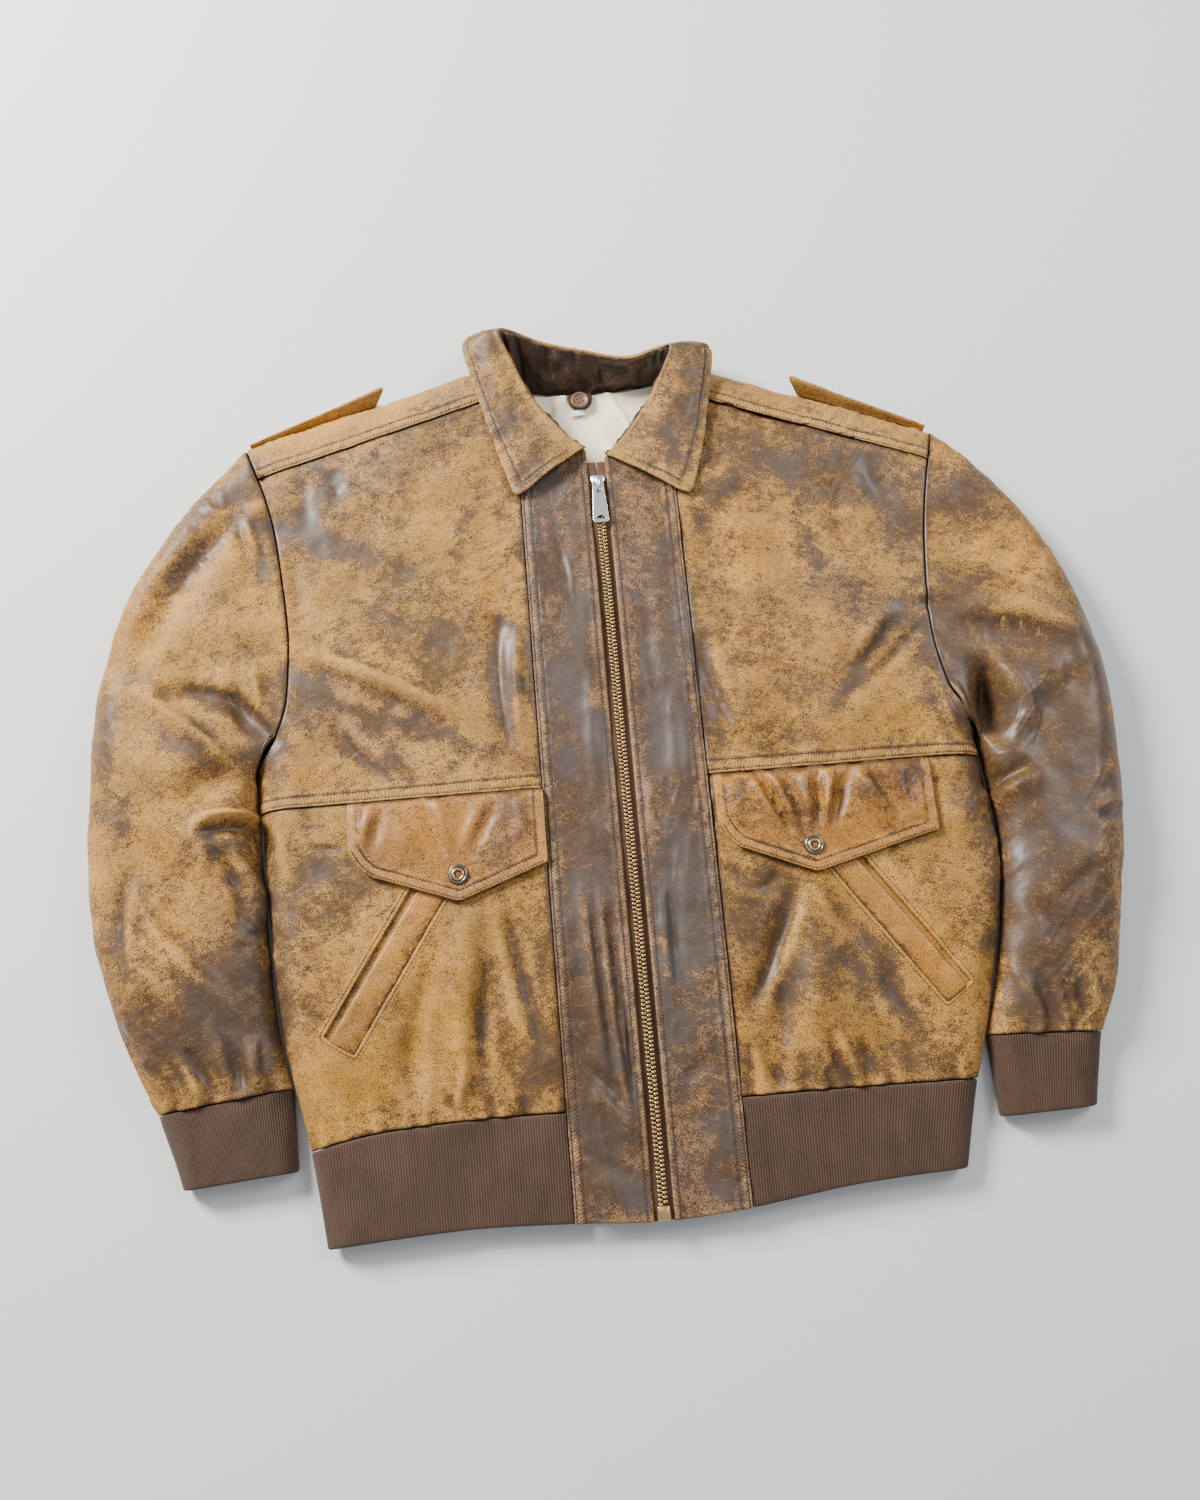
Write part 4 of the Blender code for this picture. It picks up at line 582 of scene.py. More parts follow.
def toneAt(x, y, base, field=None, rub=None, paintedShade=0.0):
    # Adds the patches, with wandering outlines, then darkens hollows and lightens ridges and edges, and
    # last darkens by the painted shade given for seam ditches, stitch rows and slits.
    tones = np.stack(np.broadcast_arrays(*[value + 0 * x for value in baseTones[base]]), -1)
    wanderX, wanderY = (
        at + 0.010 * ripple(x / 0.021, y / 0.021, seed) + 0.004 * ripple(x / 0.007, y / 0.007, seed + 1)
        for at, seed in ((x, 21), (y, 23))
    )
    for *place, angle, dark, haze, gold in tonePatches:
        px, py, long, wide = (millimetre * value for value in place)
        c, s = math.cos(math.radians(angle)), math.sin(math.radians(angle))
        along = (wanderX - px) * c + (wanderY - py) * s
        across = (wanderY - py) * c - (wanderX - px) * s
        share = bell(along, long) * bell(across, wide)
        tones[..., :3] += share[..., None] * (dark, 0.8 * haze, gold)
    tones[..., 0] += 0.15 * ripple(x / 0.045, y / 0.045, 25) + 0.11 * ripple(x / 0.016, y / 0.012, 26)
    tones[..., 1] += 0.14 * ripple(x / 0.060, y / 0.050, 27) + 0.10 * ripple(x / 0.014, y / 0.018, 28)
    tones[..., 2] += 0.18 * ripple(x / 0.050, y / 0.060, 29)
    if field is not None:
        sunk = blurred(field, hollows["reach"]) - blurred(field, 1)
        tones[..., 0] += np.clip(sunk * hollows["dark"], -0.30, 0.55)
        tones[..., 3] += np.clip(-sunk * hollows["light"], -0.1, 0.40)
    if rub is not None:
        tones[..., 0] -= hollows["edgePale"] * rub
        tones[..., 3] += hollows["edgeRub"] * rub
    tones[..., 0] += paintedShade
    tones[..., 3] -= paintedShade
    return np.clip(tones, 0, 1)


def blurred(field, reach):
    # The mean over a square of grid cells, taken along one way and then the other.
    window = 2 * reach + 1
    for axis, pad in enumerate((((reach, reach), (0, 0)), ((0, 0), (reach, reach)))):
        wide = np.pad(field, pad, "edge")
        count = field.shape[axis]
        field = sum(np.take(wide, np.arange(count) + k, axis) for k in range(window)) / window
    return field


# ---- materials
class Wire:
    # A node's output that can be added to and multiplied like a number; each sum is a Math node.
    def __init__(self, socket):
        self.socket, self.tree = socket, socket.id_data

    def out(self, which):
        return Wire(self.socket.node.outputs[which])

    def math(self, operation, *others, clamp=False):
        given = dict(enumerate((self, *others)))
        return add(self.tree, "Math", given, operation=operation, use_clamp=clamp)

    def __add__(self, other):
        return self.math("ADD", other)

    def __sub__(self, other):
        return self.math("SUBTRACT", other)

    def __mul__(self, other):
        return self.math("MULTIPLY", other)

    def __rsub__(self, other):
        return add(self.tree, "Math", {0: other, 1: self}, operation="SUBTRACT")


def feed(socket, value):
    if isinstance(value, Wire):
        value.tree.links.new(value.socket, socket)
    else:
        socket.default_value = value


def add(tree, kind, given=None, out=0, **settings):
    # Adds a node with these inputs and settings, and returns one of its outputs.
    made = tree.nodes.new("ShaderNode" + kind)
    for key, value in settings.items():
        setattr(made, key, value)
    for key, value in (given or {}).items():
        feed(made.inputs[key], value)
    return Wire(made.outputs[out])


def mixed(share, a, b):
    return add(share.tree, "Mix", {"Factor": share, "A": a, "B": b}, "Result", data_type="RGBA")


def scaled(vector, by):
    return add(vector.tree, "VectorMath", {0: vector, "Scale": by}, operation="SCALE")


def smooth(value, low, high, start=0.0, end=1.0):
    given = {"Value": value, "From Min": low, "From Max": high, "To Min": start, "To Max": end}
    return add(value.tree, "MapRange", given, "Result", interpolation_type="SMOOTHSTEP")


def noise(where, size, detail=2.0, rough=0.5, twist=0.0, out="Fac"):
    given = {"Vector": where, "Scale": 1 / size, "Detail": detail, "Roughness": rough, "Distortion": twist}
    return add(where.tree, "TexNoise", given, out)


def cells(where, size, feature="DISTANCE_TO_EDGE"):
    return add(where.tree, "TexVoronoi", {"Vector": where, "Scale": 1 / size}, "Distance", feature=feature)


def newGroup(name, inputs, outputs):
    # Inputs come with their values; a colour is the one that has four.
    tree = bpy.data.node_groups.new(name, "ShaderNodeTree")
    kinds = {True: "NodeSocketColor", False: "NodeSocketFloat"}
    for label, value in inputs.items():
        kind = kinds[isinstance(value, tuple)]
        tree.interface.new_socket(label, in_out="INPUT", socket_type=kind).default_value = value
    for label in outputs:
        tree.interface.new_socket(label, in_out="OUTPUT", socket_type=kinds[label == "Colour"])
    given, out = tree.nodes.new("NodeGroupInput"), tree.nodes.new("NodeGroupOutput")
    where = add(tree, "TexCoord", out="Object")
    return tree, where, {label: Wire(given.outputs[label]) for label in inputs}, out.inputs


leatherLook = {
    "tan": (0.350, 0.180, 0.052, 1),
    "gold": (0.365, 0.172, 0.026, 1),
    "haze": (0.205, 0.128, 0.088, 1),
    "dark": (0.060, 0.031, 0.016, 1),
    "rubbed": (0.500, 0.310, 0.115, 1),
    "bloomAndSheen": (0.118, 0.099, 0.090, 1),
    "spot": (0.024, 0.013, 0.007, 1),
    "clump": 0.0055,
    "mottle": 0.016,
    "cloud": 0.045,
    "crack": 0.0040,
    "grain": 0.0010,
    "pleat": 0.0027,
    "streak": 0.0036,
    "streakTurn": -0.35,
    "streakLong": 5.0,
    "coat": (0.0, 0.62),
}


def streaked(where):
    # The same slanted, drawn-out coordinates on both halves of the jacket.
    parts = add(where.tree, "SeparateXYZ", {0: where})
    halves = {"X": parts.math("ABSOLUTE"), "Y": parts.out("Y"), "Z": parts.out("Z")}
    turn = {
        "Vector": add(where.tree, "CombineXYZ", halves),
        "Rotation": (0, 0, leatherLook["streakTurn"]),
        "Scale": (leatherLook["streakLong"], 1, 1),
    }
    return add(where.tree, "Mapping", turn, vector_type="TEXTURE")


def bentBy(where, size, reach):
    # Coordinates pushed about by a noise, so that straight cracks wander.
    push = scaled(noise(where, size, out="Color"), reach)
    return add(where.tree, "VectorMath", {0: where, 1: push}, operation="ADD")


def wornLeatherGroup():
    # A dark finish over tan leather. It breaks up into specks where it is thin, and covers where it is
    # thick; patches lean towards gold or a grey haze, and rubbed places show the pale leather.
    look = leatherLook
    given = {label: look[label.lower()] for label in ("Tan", "Gold", "Haze", "Dark")}
    outputs = ("Colour", "Roughness", "Height", "Coat")
    tree, where, given, out = newGroup("wornLeather", given | {"Wear": 1.0, "Polish": 0.0}, outputs)
    tone = add(tree, "Attribute", out="Color", attribute_name="tone")
    dark = add(tree, "SeparateColor", {0: tone})
    haze, gold, rub = dark.out(1), dark.out(2), tone.out("Alpha")
    cloud = noise(where, look["cloud"], 3)
    mottle = noise(where, look["mottle"], twist=0.6)
    clump = noise(where, look["clump"], twist=0.5)
    fine = noise(where, look["grain"], 3, 0.62)
    streak = noise(streaked(where), look["streak"], 3, 0.6, 0.3)
    crack = cells(bentBy(where, look["clump"] / 3, look["crack"] * 0.8), look["crack"])

    # how much of the dark finish is left: a soft film, and specks where it has broken up
    left = (mottle + cloud * 0.8 - 0.90) * 0.70 + (streak - 0.5) * 0.72 + dark
    broken = fine + (clump - 0.5) * 0.42 + left * 0.38
    lines = smooth(crack, 0.10, 0.02) * smooth(broken, 0.62, 0.82)
    worn = rub * given["Wear"] * smooth(fine, 0.30, 0.60, 1.0, 0.3)
    kept = 1.0 - worn * 0.75
    film = smooth(left, 0.25, 1.30, 0.0, 0.96) * kept
    specks = smooth(broken, 0.700, 0.800) * smooth(left, 0.35, 1.0, 0.86, 0.50)
    specks = specks.math("MAXIMUM", lines * 0.5) * kept

    warm = gold.math("MULTIPLY", smooth(mottle, 0.34, 0.62, 0.65, 1.35), clamp=True)
    dull = haze.math("MULTIPLY", smooth(mottle, 0.38, 0.64, 0.45, 1.0), clamp=True)
    colour = mixed(dull, mixed(warm, given["Tan"], given["Gold"]), given["Haze"])
    # the ripples between two stitch rows: how strong, and how far along the seam
    fold = add(tree, "SeparateXYZ", {0: add(tree, "Attribute", out="Vector", attribute_name="pleat")})
    phase = fold.out("Y").math("DIVIDE", look["pleat"]) + mottle * 3.0
    wave = (phase * (2 * math.pi)).math("SINE") * fold
    shade = smooth(fine, 0.37, 0.63, 1.48, 0.56) * smooth(cloud, 0.34, 0.66, 0.70, 1.06)
    shade = shade * smooth(clump, 0.34, 0.66, 1.07, 0.93) * (wave * 0.16 + 1.0)
    colour = mixed(worn * 0.75, scaled(colour, shade), look["rubbed"])
    colour = mixed(film, colour, given["Dark"])
    # a blue-grey colour over the dark film where it is hazy: partly the finish's own bloom, partly a
    # painted sheen standing for reflected sky, strongest on the plackets
    colour = mixed(film * haze * smooth(cloud, 0.36, 0.62, 0.0, 0.92), colour, look["bloomAndSheen"])
    feed(out["Colour"], mixed(specks, colour, look["spot"]))

    glossy = film.math("MAXIMUM", specks * 0.6).math("MAXIMUM", given["Polish"])
    feed(out["Roughness"], 0.60 - glossy * 0.24 + smooth(fine, 0.35, 0.65, -0.07, 0.10))
    pores = cells(where, look["grain"] * 1.1, "F1")
    feed(out["Height"], pores * 0.50 + wave * 0.9 - lines * 0.45 + clump * 1.6)
    feed(out["Coat"], smooth(glossy, 0.1, 0.9, *look["coat"]))
    return tree


knitLook = {
    "colour": (0.100, 0.049, 0.024, 1),
    "grooveShade": (0.004, 0.002, 0.001, 1),
    "wale": 0.0022,
    "course": 0.0016,
}


def knitGroup():
    # Rows of V-shaped stitches: a wave down each rib, bent by its distance from the rib's middle.
    look = knitLook
    tree, where, _, out = newGroup("knit", {}, ("Colour", "Height"))
    flat = add(tree, "SeparateXYZ", {0: add(tree, "UVMap", uv_map="cut")})
    rib = flat.math("PINGPONG", look["wale"] / 2)
    wave = ((flat.out("Y") + rib * 0.9) * (2 * math.pi / look["course"])).math("SINE")
    fuzz = noise(where, 0.0007, 3, 0.7)
    # The grooves between the ribs and between the stitch rows are mixed towards the near-black groove
    # colour: painted shade. The two noises below add the wool's own unevenness.
    shade = smooth(wave, -1.0, 0.9, 0.72, 1.0) * smooth(rib, 0.0, look["wale"] / 2, 0.30, 1.0)
    shade = shade * smooth(noise(where, 0.030, 3, 0.6), 0.3, 0.7, 0.80, 1.15)
    shade = shade * smooth(fuzz, 0.3, 0.7, 0.62, 1.30)
    feed(out["Colour"], mixed(shade, look["grooveShade"], look["colour"]))
    feed(out["Height"], wave * 0.5 + fuzz)
    return tree


def weaveGroup():
    # Plain weave, as two crossed waves, over soft unevenness.
    given = {"Colour": (0.8, 0.8, 0.8, 1), "Thread": 2000.0}
    tree, where, given, out = newGroup("weave", given, ("Colour", "Height"))
    parts = add(tree, "SeparateXYZ", {0: where})
    waves = [(part * given["Thread"]).math("SINE") for part in (parts, parts.out("Y"))]
    uneven = smooth(noise(where, 0.012, 3, 0.6), 0.3, 0.7, 0.95, 1.05)
    feed(out["Colour"], scaled(given["Colour"], uneven))
    feed(out["Height"], waves[0] * waves[1])
    return tree


def metalGroup():
    # Dirt in broad patches over plated metal.
    given = {"Metal": (0.7, 0.7, 0.7, 1), "Dirt": (0.1, 0.08, 0.05, 1)}
    tree, where, given, out = newGroup("platedMetal", given, ("Colour", "Roughness"))
    grime = smooth(noise(where, 0.0022, 4, 0.7), 0.46, 0.72)
    feed(out["Colour"], mixed(grime * 0.6, given["Metal"], given["Dirt"]))
    feed(out["Roughness"], grime * 0.25 + 0.24)
    return tree


def material(name, group=None, given=None, strength=0.0, depth=0.0, **constants):
    # A plain material, or one whose colour, roughness, coat and relief come from a node group.
    made = bpy.data.materials.new(name)
    made.use_nodes = True
    tree = made.node_tree
    into = tree.nodes["Principled BSDF"].inputs
    for label, value in constants.items():
        into[label.replace("_", " ")].default_value = value
    sockets = {"Colour": "Base Color", "Roughness": "Roughness", "Coat": "Coat Weight"}
    outputs = add(tree, "Group", given, node_tree=group).socket.node.outputs if group else ()
    for output in outputs:
        if output.name == "Height":
            relief = {"Strength": strength, "Distance": depth, "Height": Wire(output)}
            feed(into["Normal"], add(tree, "Bump", relief))
        else:
            feed(into[sockets[output.name]], Wire(output))
    return made


leatherNodes, weaveNodes, metalNodes = wornLeatherGroup(), weaveGroup(), metalGroup()


def leather(name, strength, **given):
    shine = {"IOR": 1.44, "Specular_IOR_Level": 0.14, "Coat_Roughness": 0.40, "Coat_IOR": 1.44}
    return material(name, leatherNodes, given, strength, 0.00035, **shine)


def cloth(name, colour, threadsPerRadian, roughness, strength):
    given = {"Colour": (*colour, 1), "Thread": threadsPerRadian}
    return material(name, weaveNodes, given, strength, 0.0002, Roughness=roughness)


def metal(name, *colour):
    return material(name, metalNodes, {"Metal": (*colour, 1)}, Metallic=1.0)


flapTan, flapGold = (0.285, 0.136, 0.038, 1), (0.330, 0.134, 0.016, 1)
wool = {"Roughness": 0.85, "IOR": 1.40, "Sheen_Weight": 0.12, "Sheen_Roughness": 0.5}
finishes = {
    "tan": leather("wornTanLeather", 0.55),
    "dark": leather("darkBrownLeather", 0.45, Tan=(0.250, 0.125, 0.045, 1), Wear=0.7),
    "stand": leather("collarStandLeather", 0.25, Tan=(0.11, 0.06, 0.035, 1), Wear=0.3),
    "flap": leather("flapLeather", 0.35, Tan=flapTan, Gold=flapGold, Polish=0.6),
    "knit": material("brownRibKnit", knitGroup(), None, 0.6, 0.0003, **wool),
    "cream": cloth("creamSatin", (1.0, 0.87, 0.63), 9000.0, 0.38, 0.10),
    "tape": cloth("zipTapeCloth", (0.075, 0.034, 0.013), 4200.0, 0.85, 0.6),
    "label": cloth("labelTape", (0.80, 0.79, 0.75), 5200.0, 0.8, 0.4),
    "thread": cloth("brownThread", (0.034, 0.016, 0.009), 7000.0, 0.7, 0.3),
    "brass": metal("agedBrass", 0.66, 0.45, 0.21),
    "nickel": metal("wornNickel", 0.86, 0.88, 0.88),
    "gunmetal": metal("gunmetal", 0.22, 0.20, 0.18),
    "button": cloth("brownButton", (0.150, 0.078, 0.045), 900.0, 0.35, 0.05),
}
print("materials made:", len(finishes))


# ---- leather panels
seams = {
    "first": 0.0022,
    "second": 0.0088,
    "grooveDepth": 0.00070,
    "grooveWidth": 0.0007,
    "rise": 0.0008,
    "edgeDrop": 0.0013,
    "edgeRound": 0.0018,
    "pucker": 0.00060,
    "puckerPitch": 0.0046,
    "trim": 0.0078,
    "tuckDepth": 0.0016,
    "tuckWidth": 0.0022,
    "stitchPitch": 0.0031,
}
doubleRows = ("first", "second")
doubleStops = (0.0004, 0.0010, 0.0016, 0.0022, 0.0028, 0.0080, 0.0088, 0.0096, 0.0115, 0.0135)
plainStops = (0.0004, 0.0010, 0.0018, 0.0030)
stitchRuns = []  # rows of stitches, each as its points and its outward directions


def band(d, rows=doubleRows):
    # Across a topstitched edge: raised over the folded seam, pressed in at each row, rounded at the edge.
    rise = seams["rise"] * (1 - ease(seams[rows[-1]] + 0.0008, seams[rows[-1]] + 0.0045, d))
    pressed = sum(bell(d - seams[row], seams["grooveWidth"]) for row in rows) * seams["grooveDepth"]
    return rise - pressed - seams["edgeDrop"] * (1 - quarter(d / seams["edgeRound"]))


def puckers(d, along, seed):
    # Short ripples across the band, where the thread has drawn the leather in.
    inside = ease(0.0004, 0.0022, d) * (1 - ease(0.0085, 0.0140, d))
    return seams["pucker"] * inside * ripple(along / seams["puckerPitch"], d / 0.009, seed)


def pleatMask(d, rows=doubleRows):
    # 1 between the two stitch rows, and 0 outside them.
    low, high = (seams[row] for row in rows)
    return ease(low - 0.0004, low + 0.0006, d) * (1 - ease(high - 0.0008, high + 0.0004, d))


def stitchRowShade(d, rows=doubleRows):
    # Painted shade: darker in the pressed stitch rows and in the ditch beyond the edge.
    return 0.45 * sum(bell(d - seams[row], 0.0009) for row in rows) + 0.5 * np.exp(-d / 0.0006)


def ditchShade(d):
    # Painted shade in a seam's ditch, darkest where the other side's edge overlaps it.
    return 0.75 * np.exp(-d / 0.0014) + 0.18 * np.exp(-d / 0.006)


def tuck(d):
    # The lower side of a seam dips as it goes under the upper one.
    return -seams["tuckDepth"] * np.exp(-d / seams["tuckWidth"])


def plainEdge(d):
    # A plain seam: both sides turn down into it.
    return -0.0016 * (1 - quarter(d / 0.0026)) - 0.0004 * np.exp(-d / 0.006)


def trimmed(d, depth, reach):
    # Rounds a free edge off.
    return -depth * (1 - quarter(d / reach))


def seamWaves(d, along, seed):
    # Small slack waves that run out from a plain seam.
    return 0.0006 * np.exp(-d / 0.010) * (1 - np.exp(-d / 0.0015)) * ripple(along / 0.011, d / 0.03, seed)


def unit(v):
    return v / np.maximum(np.linalg.norm(v, axis=-1, keepdims=True), 1e-9)


def lengths(points):
    return np.concatenate(([0], np.cumsum(np.linalg.norm(np.diff(points, axis=0), axis=1))))


def between(at, run, points):
    # The points at these distances along a line of points.
    return np.stack([np.interp(at, run, column) for column in points.T], -1)


def evenly(params, points, cell, start=(), end=()):
    # Picks parameters at even distances along a line of points, and says how far along each is.
    run = lengths(points)
    at = stops(run[-1], cell, start, end)
    return np.interp(at, run, params), at


def nearest(distances, wanted):
    return int(np.argmin(np.abs(distances - wanted)))


def flatUv(rowAt, columnAt):
    return np.stack(np.meshgrid(columnAt, rowAt), -1)


def dress(obj, finish):
    obj.data.materials.clear()
    obj.data.materials.append(finish)
    return obj


def settle(obj, node, finish, body="jacket", on=None, removed=0.0):
    # Gives a piece its finish, puts it on its body and hides the CAD node it stands for; for cloth the
    # cut's size is looked up, and nothing more is done with it.
    dress(obj, finishes[finish])
    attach(obj, body)
    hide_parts(node)
    if on:
        width, length, area = cuts[obj.name]
        area - removed
    return obj


class Panel:
    # A grid of points on the form, with its distances from the four edges and its added relief.
    def __init__(self, grid, rowAt, columnAt, facing=(0, 0, 1)):
        self.grid, self.facing, self.cut = grid, facing, flatUv(rowAt, columnAt)
        self.fromStart, self.fromEnd = rowAt[:, None], (rowAt[-1] - rowAt)[:, None]
        self.fromInner, self.fromOuter = columnAt[None], (columnAt[-1] - columnAt)[None]
        self.x, self.y = grid[..., 0], grid[..., 1]
        # field is the added relief, rub the wear that pales the finish, and the third the painted shade in
        # seam ditches and stitch rows.
        self.field, self.rub, self.paintedShade = (np.zeros(grid.shape[:2]) for _ in range(3))
        self.pleat = np.zeros(grid.shape)

    def pleated(self, mask, along):
        self.pleat[..., 0], self.pleat[..., 1] = mask, along

    def sew(self, node, end, base, finish, thickness, on, step=None, removed=0.0):
        # Makes the shell of the CAD node called node + end.
        tone = toneAt(self.x, self.y, base, self.field, self.rub, self.paintedShade)
        self.grid = moved(self.grid, self.facing, self.field)
        layers = {"tone": tone, "cut": self.cut, "pleat": self.pleat}
        name = node + "_shell" + end
        obj, self.normals = shell(name, self.grid, thickness, self.facing, step=step, **layers)
        return settle(obj, node + end, finish, on=on, removed=removed)

    def stitch(self, line, down=False, first=2, last=-2):
        # Stitches along one row of the grid's points, or down one column.
        at = (slice(first, last), line) if down else (line, slice(first, last))
        stitchRuns.append((self.grid[at], self.normals[at]))

    def stitchTwice(self, distances, down=False, first=2, last=-2):
        for row in doubleRows:
            self.stitch(nearest(distances, seams[row]), down, first, last)


def foldedEnds(side, sign, low, high, shares):
    # Where rows between two lines y(x) meet the folded side; each pass comes closer.
    x = np.full(len(shares), float(halfWidth(side, 0)))
    for _ in range(4):
        y = low(sign * x) + (high(sign * x) - low(sign * x)) * shares
        x = halfWidth(side, y)
    return x, y


def sidePlan(side, sign, innerX, low, high, cell, start=(), end=(), inner=()):
    # Rows between two lines y(x), and columns from innerX out to the folded side, closer where it rolls.
    dense = np.linspace(0, 1, 400)
    x, y = foldedEnds(side, sign, low, high, dense)
    middle = 0.5 * (innerX + float(halfWidth(side, 0)))
    tall = float(high(sign * middle) - low(sign * middle))
    rowAt = stops(tall, cell, start, end)
    share = rowAt / tall
    outX, outY = np.interp(share, dense, x), np.interp(share, dense, y)
    roll = bodyForm["topRoll"] * crownAt(outY)
    flat = stops(float(np.mean(outX - roll)) - innerX, cell, inner)
    turn = np.radians(np.linspace(0, 90, max(8, round(0.050 / cell))))[1:]
    stretch = (outX - roll - innerX)[:, None] / flat[-1]
    blend = ease(0.2 * flat[-1], 0.9 * flat[-1], flat)
    flatX = innerX + flat[None] + (flat[-1] * (stretch - 1)) * blend[None]
    turnX = (outX - roll)[:, None] + roll[:, None] * np.sin(turn)[None]
    xs = np.concatenate((flatX, turnX), 1)
    ys = low(sign * xs) + (high(sign * xs) - low(sign * xs)) * share[:, None]
    columnAt = np.concatenate((flat, flat[-1] + 0.046 * turn / turn[-1]))
    return sign * xs, ys, rowAt, columnAt


def gathers(d, along, seed, tall=0.020):
    # Leather drawn in to the knit: short upright ridges, uneven in width and height.
    reach = tall * (1 + 0.7 * ripple(along / 0.024, 0.5, seed + 1))
    bent = along / 0.0080 + 0.5 * ripple(along / 0.03, 0.2, seed + 2)
    return 0.0023 * np.exp(-d / reach) * ripple(bent, d / 0.05, seed)


windows = {
    "right": {"x": 0.2045, "y": -0.1000, "length": 0.158, "width": 0.030, "slant": math.radians(33.5)},
    "left": {"x": 0.2110, "y": -0.1000, "length": 0.156, "width": 0.028, "slant": math.radians(34.5)},
}


def inWindow(side, sign, along, across):
    # Plan points by their place in a pocket window: along it to the chest, across it away from the zip.
    w = windows[side]
    c, s = math.cos(w["slant"]), math.sin(w["slant"])
    return sign * (w["x"] - along * s + across * c), w["y"] + along * c + across * s


def windowPlace(side, sign, x, y):
    w = windows[side]
    c, s = math.cos(w["slant"]), math.sin(w["slant"])
    dx, dy = sign * x - w["x"], y - w["y"]
    return -dx * s + dy * c, dx * c + dy * s


def gatherSeed(side):
    return {"right": 31, "left": 41}[side]


def panelSurface(side, x, y):
    # The pocket panel's own surface, which the pocket's parts also lie on.
    return bodyTop(x, y) + relief(x, y) * 0.9 + gathers(y - hemTop(x), x, gatherSeed(side))


def chestLine(x):
    return bodyForm["chestSeam"] + 0 * x


def ribLine(x):
    # The knit's upper edge, just below the leather's.
    return hemTop(x) - gaps["rib"]


def frontLower(side, sign):
    cell, edges = grids["cell"], (plainStops, plainStops, plainStops)
    xs, ys, rowAt, columnAt = sidePlan(side, sign, seamX, hemTop, chestLine, cell, *edges)
    p = Panel(joined(xs, ys, bodyTop(xs, ys)), rowAt, columnAt)
    p.field += relief(p.x, p.y) * 0.9 * ease(0, 0.004, p.fromOuter)
    p.field += gathers(p.fromStart, p.x, gatherSeed(side)) * ease(0, 0.02, p.fromOuter)
    p.field += tuck(p.fromEnd) + tuck(p.fromInner) + plainEdge(p.fromStart)
    p.field += seamWaves(p.fromOuter, p.y, 51)
    along, across = windowPlace(side, sign, p.x, p.y)
    long, wide = windows[side]["length"], windows[side]["width"]
    outside = np.hypot(np.maximum(0, abs(along) - long / 2), np.maximum(0, abs(across) - wide / 2))
    p.rub += 0.4 * np.exp(-outside / 0.006)
    p.paintedShade += ditchShade(p.fromEnd) + ditchShade(p.fromInner) + 0.5 * ditchShade(p.fromStart)
    back = ["back_shell"]
    obj = p.sew("front_lower", "_" + side, "lower", "tan", walls["leather"], back, removed=long * wide)
    cutWindow(obj, side, sign)


def cutWindow(obj, side, sign):
    # Cuts the pocket's window out with an upright block.
    half, wide = windows[side]["length"] / 2, windows[side]["width"] / 2
    outline = ((-half, -wide), (-half, wide), (half, wide), (half, -wide))
    corners = [inWindow(side, sign, *corner) for corner in outline]
    points = [(x, y, z) for z in (0.012, 0.060) for x, y in corners]
    cutter = repaired(meshObject("cutter_" + side, points, capped(2, 4)))
    tool = obj.modifiers.new("cut", "BOOLEAN")
    tool.operation, tool.solver, tool.object = "DIFFERENCE", "EXACT", cutter
    whole, obj.data = obj.data, meshOf(obj)
    obj.modifiers.clear()
    obj.data.name = obj.name
    bpy.data.meshes.remove(whole)
    bpy.data.objects.remove(cutter)


def capped(levels, count):
    # The faces of a closed tube: rings of points, one after another, and a cap at each end.
    index = np.arange(levels * count).reshape(levels, count)
    around = quads(np.column_stack((index, index[:, 0]))).tolist()
    return around + [index[0, ::-1].tolist(), index[-1].tolist()]


def meshOf(obj):
    # The mesh that an object has once its modifiers are applied, or its curve is filled.
    graph = bpy.context.evaluated_depsgraph_get()
    return bpy.data.meshes.new_from_object(obj.evaluated_get(graph))


def repaired(obj, weld=0):
    # Turns a closed mesh's faces outwards, after merging points that are closer than the weld.
    mesh = bmesh.new()
    mesh.from_mesh(obj.data)
    if weld:
        bmesh.ops.remove_doubles(mesh, verts=mesh.verts, dist=weld)
    bmesh.ops.recalc_face_normals(mesh, faces=mesh.faces)
    mesh.to_mesh(obj.data)
    mesh.free()
    return obj


def chestOuter(side, y):
    # The outer edge of the chest panel: the folded side, then the armhole.
    s = shoulder[side]
    share = np.clip((s["tipY"] - y) / (s["tipY"] - s["underarmY"]), 0, 1)
    return np.where(y <= s["underarmY"], halfWidth(side, y), armhole(side, share)[0])


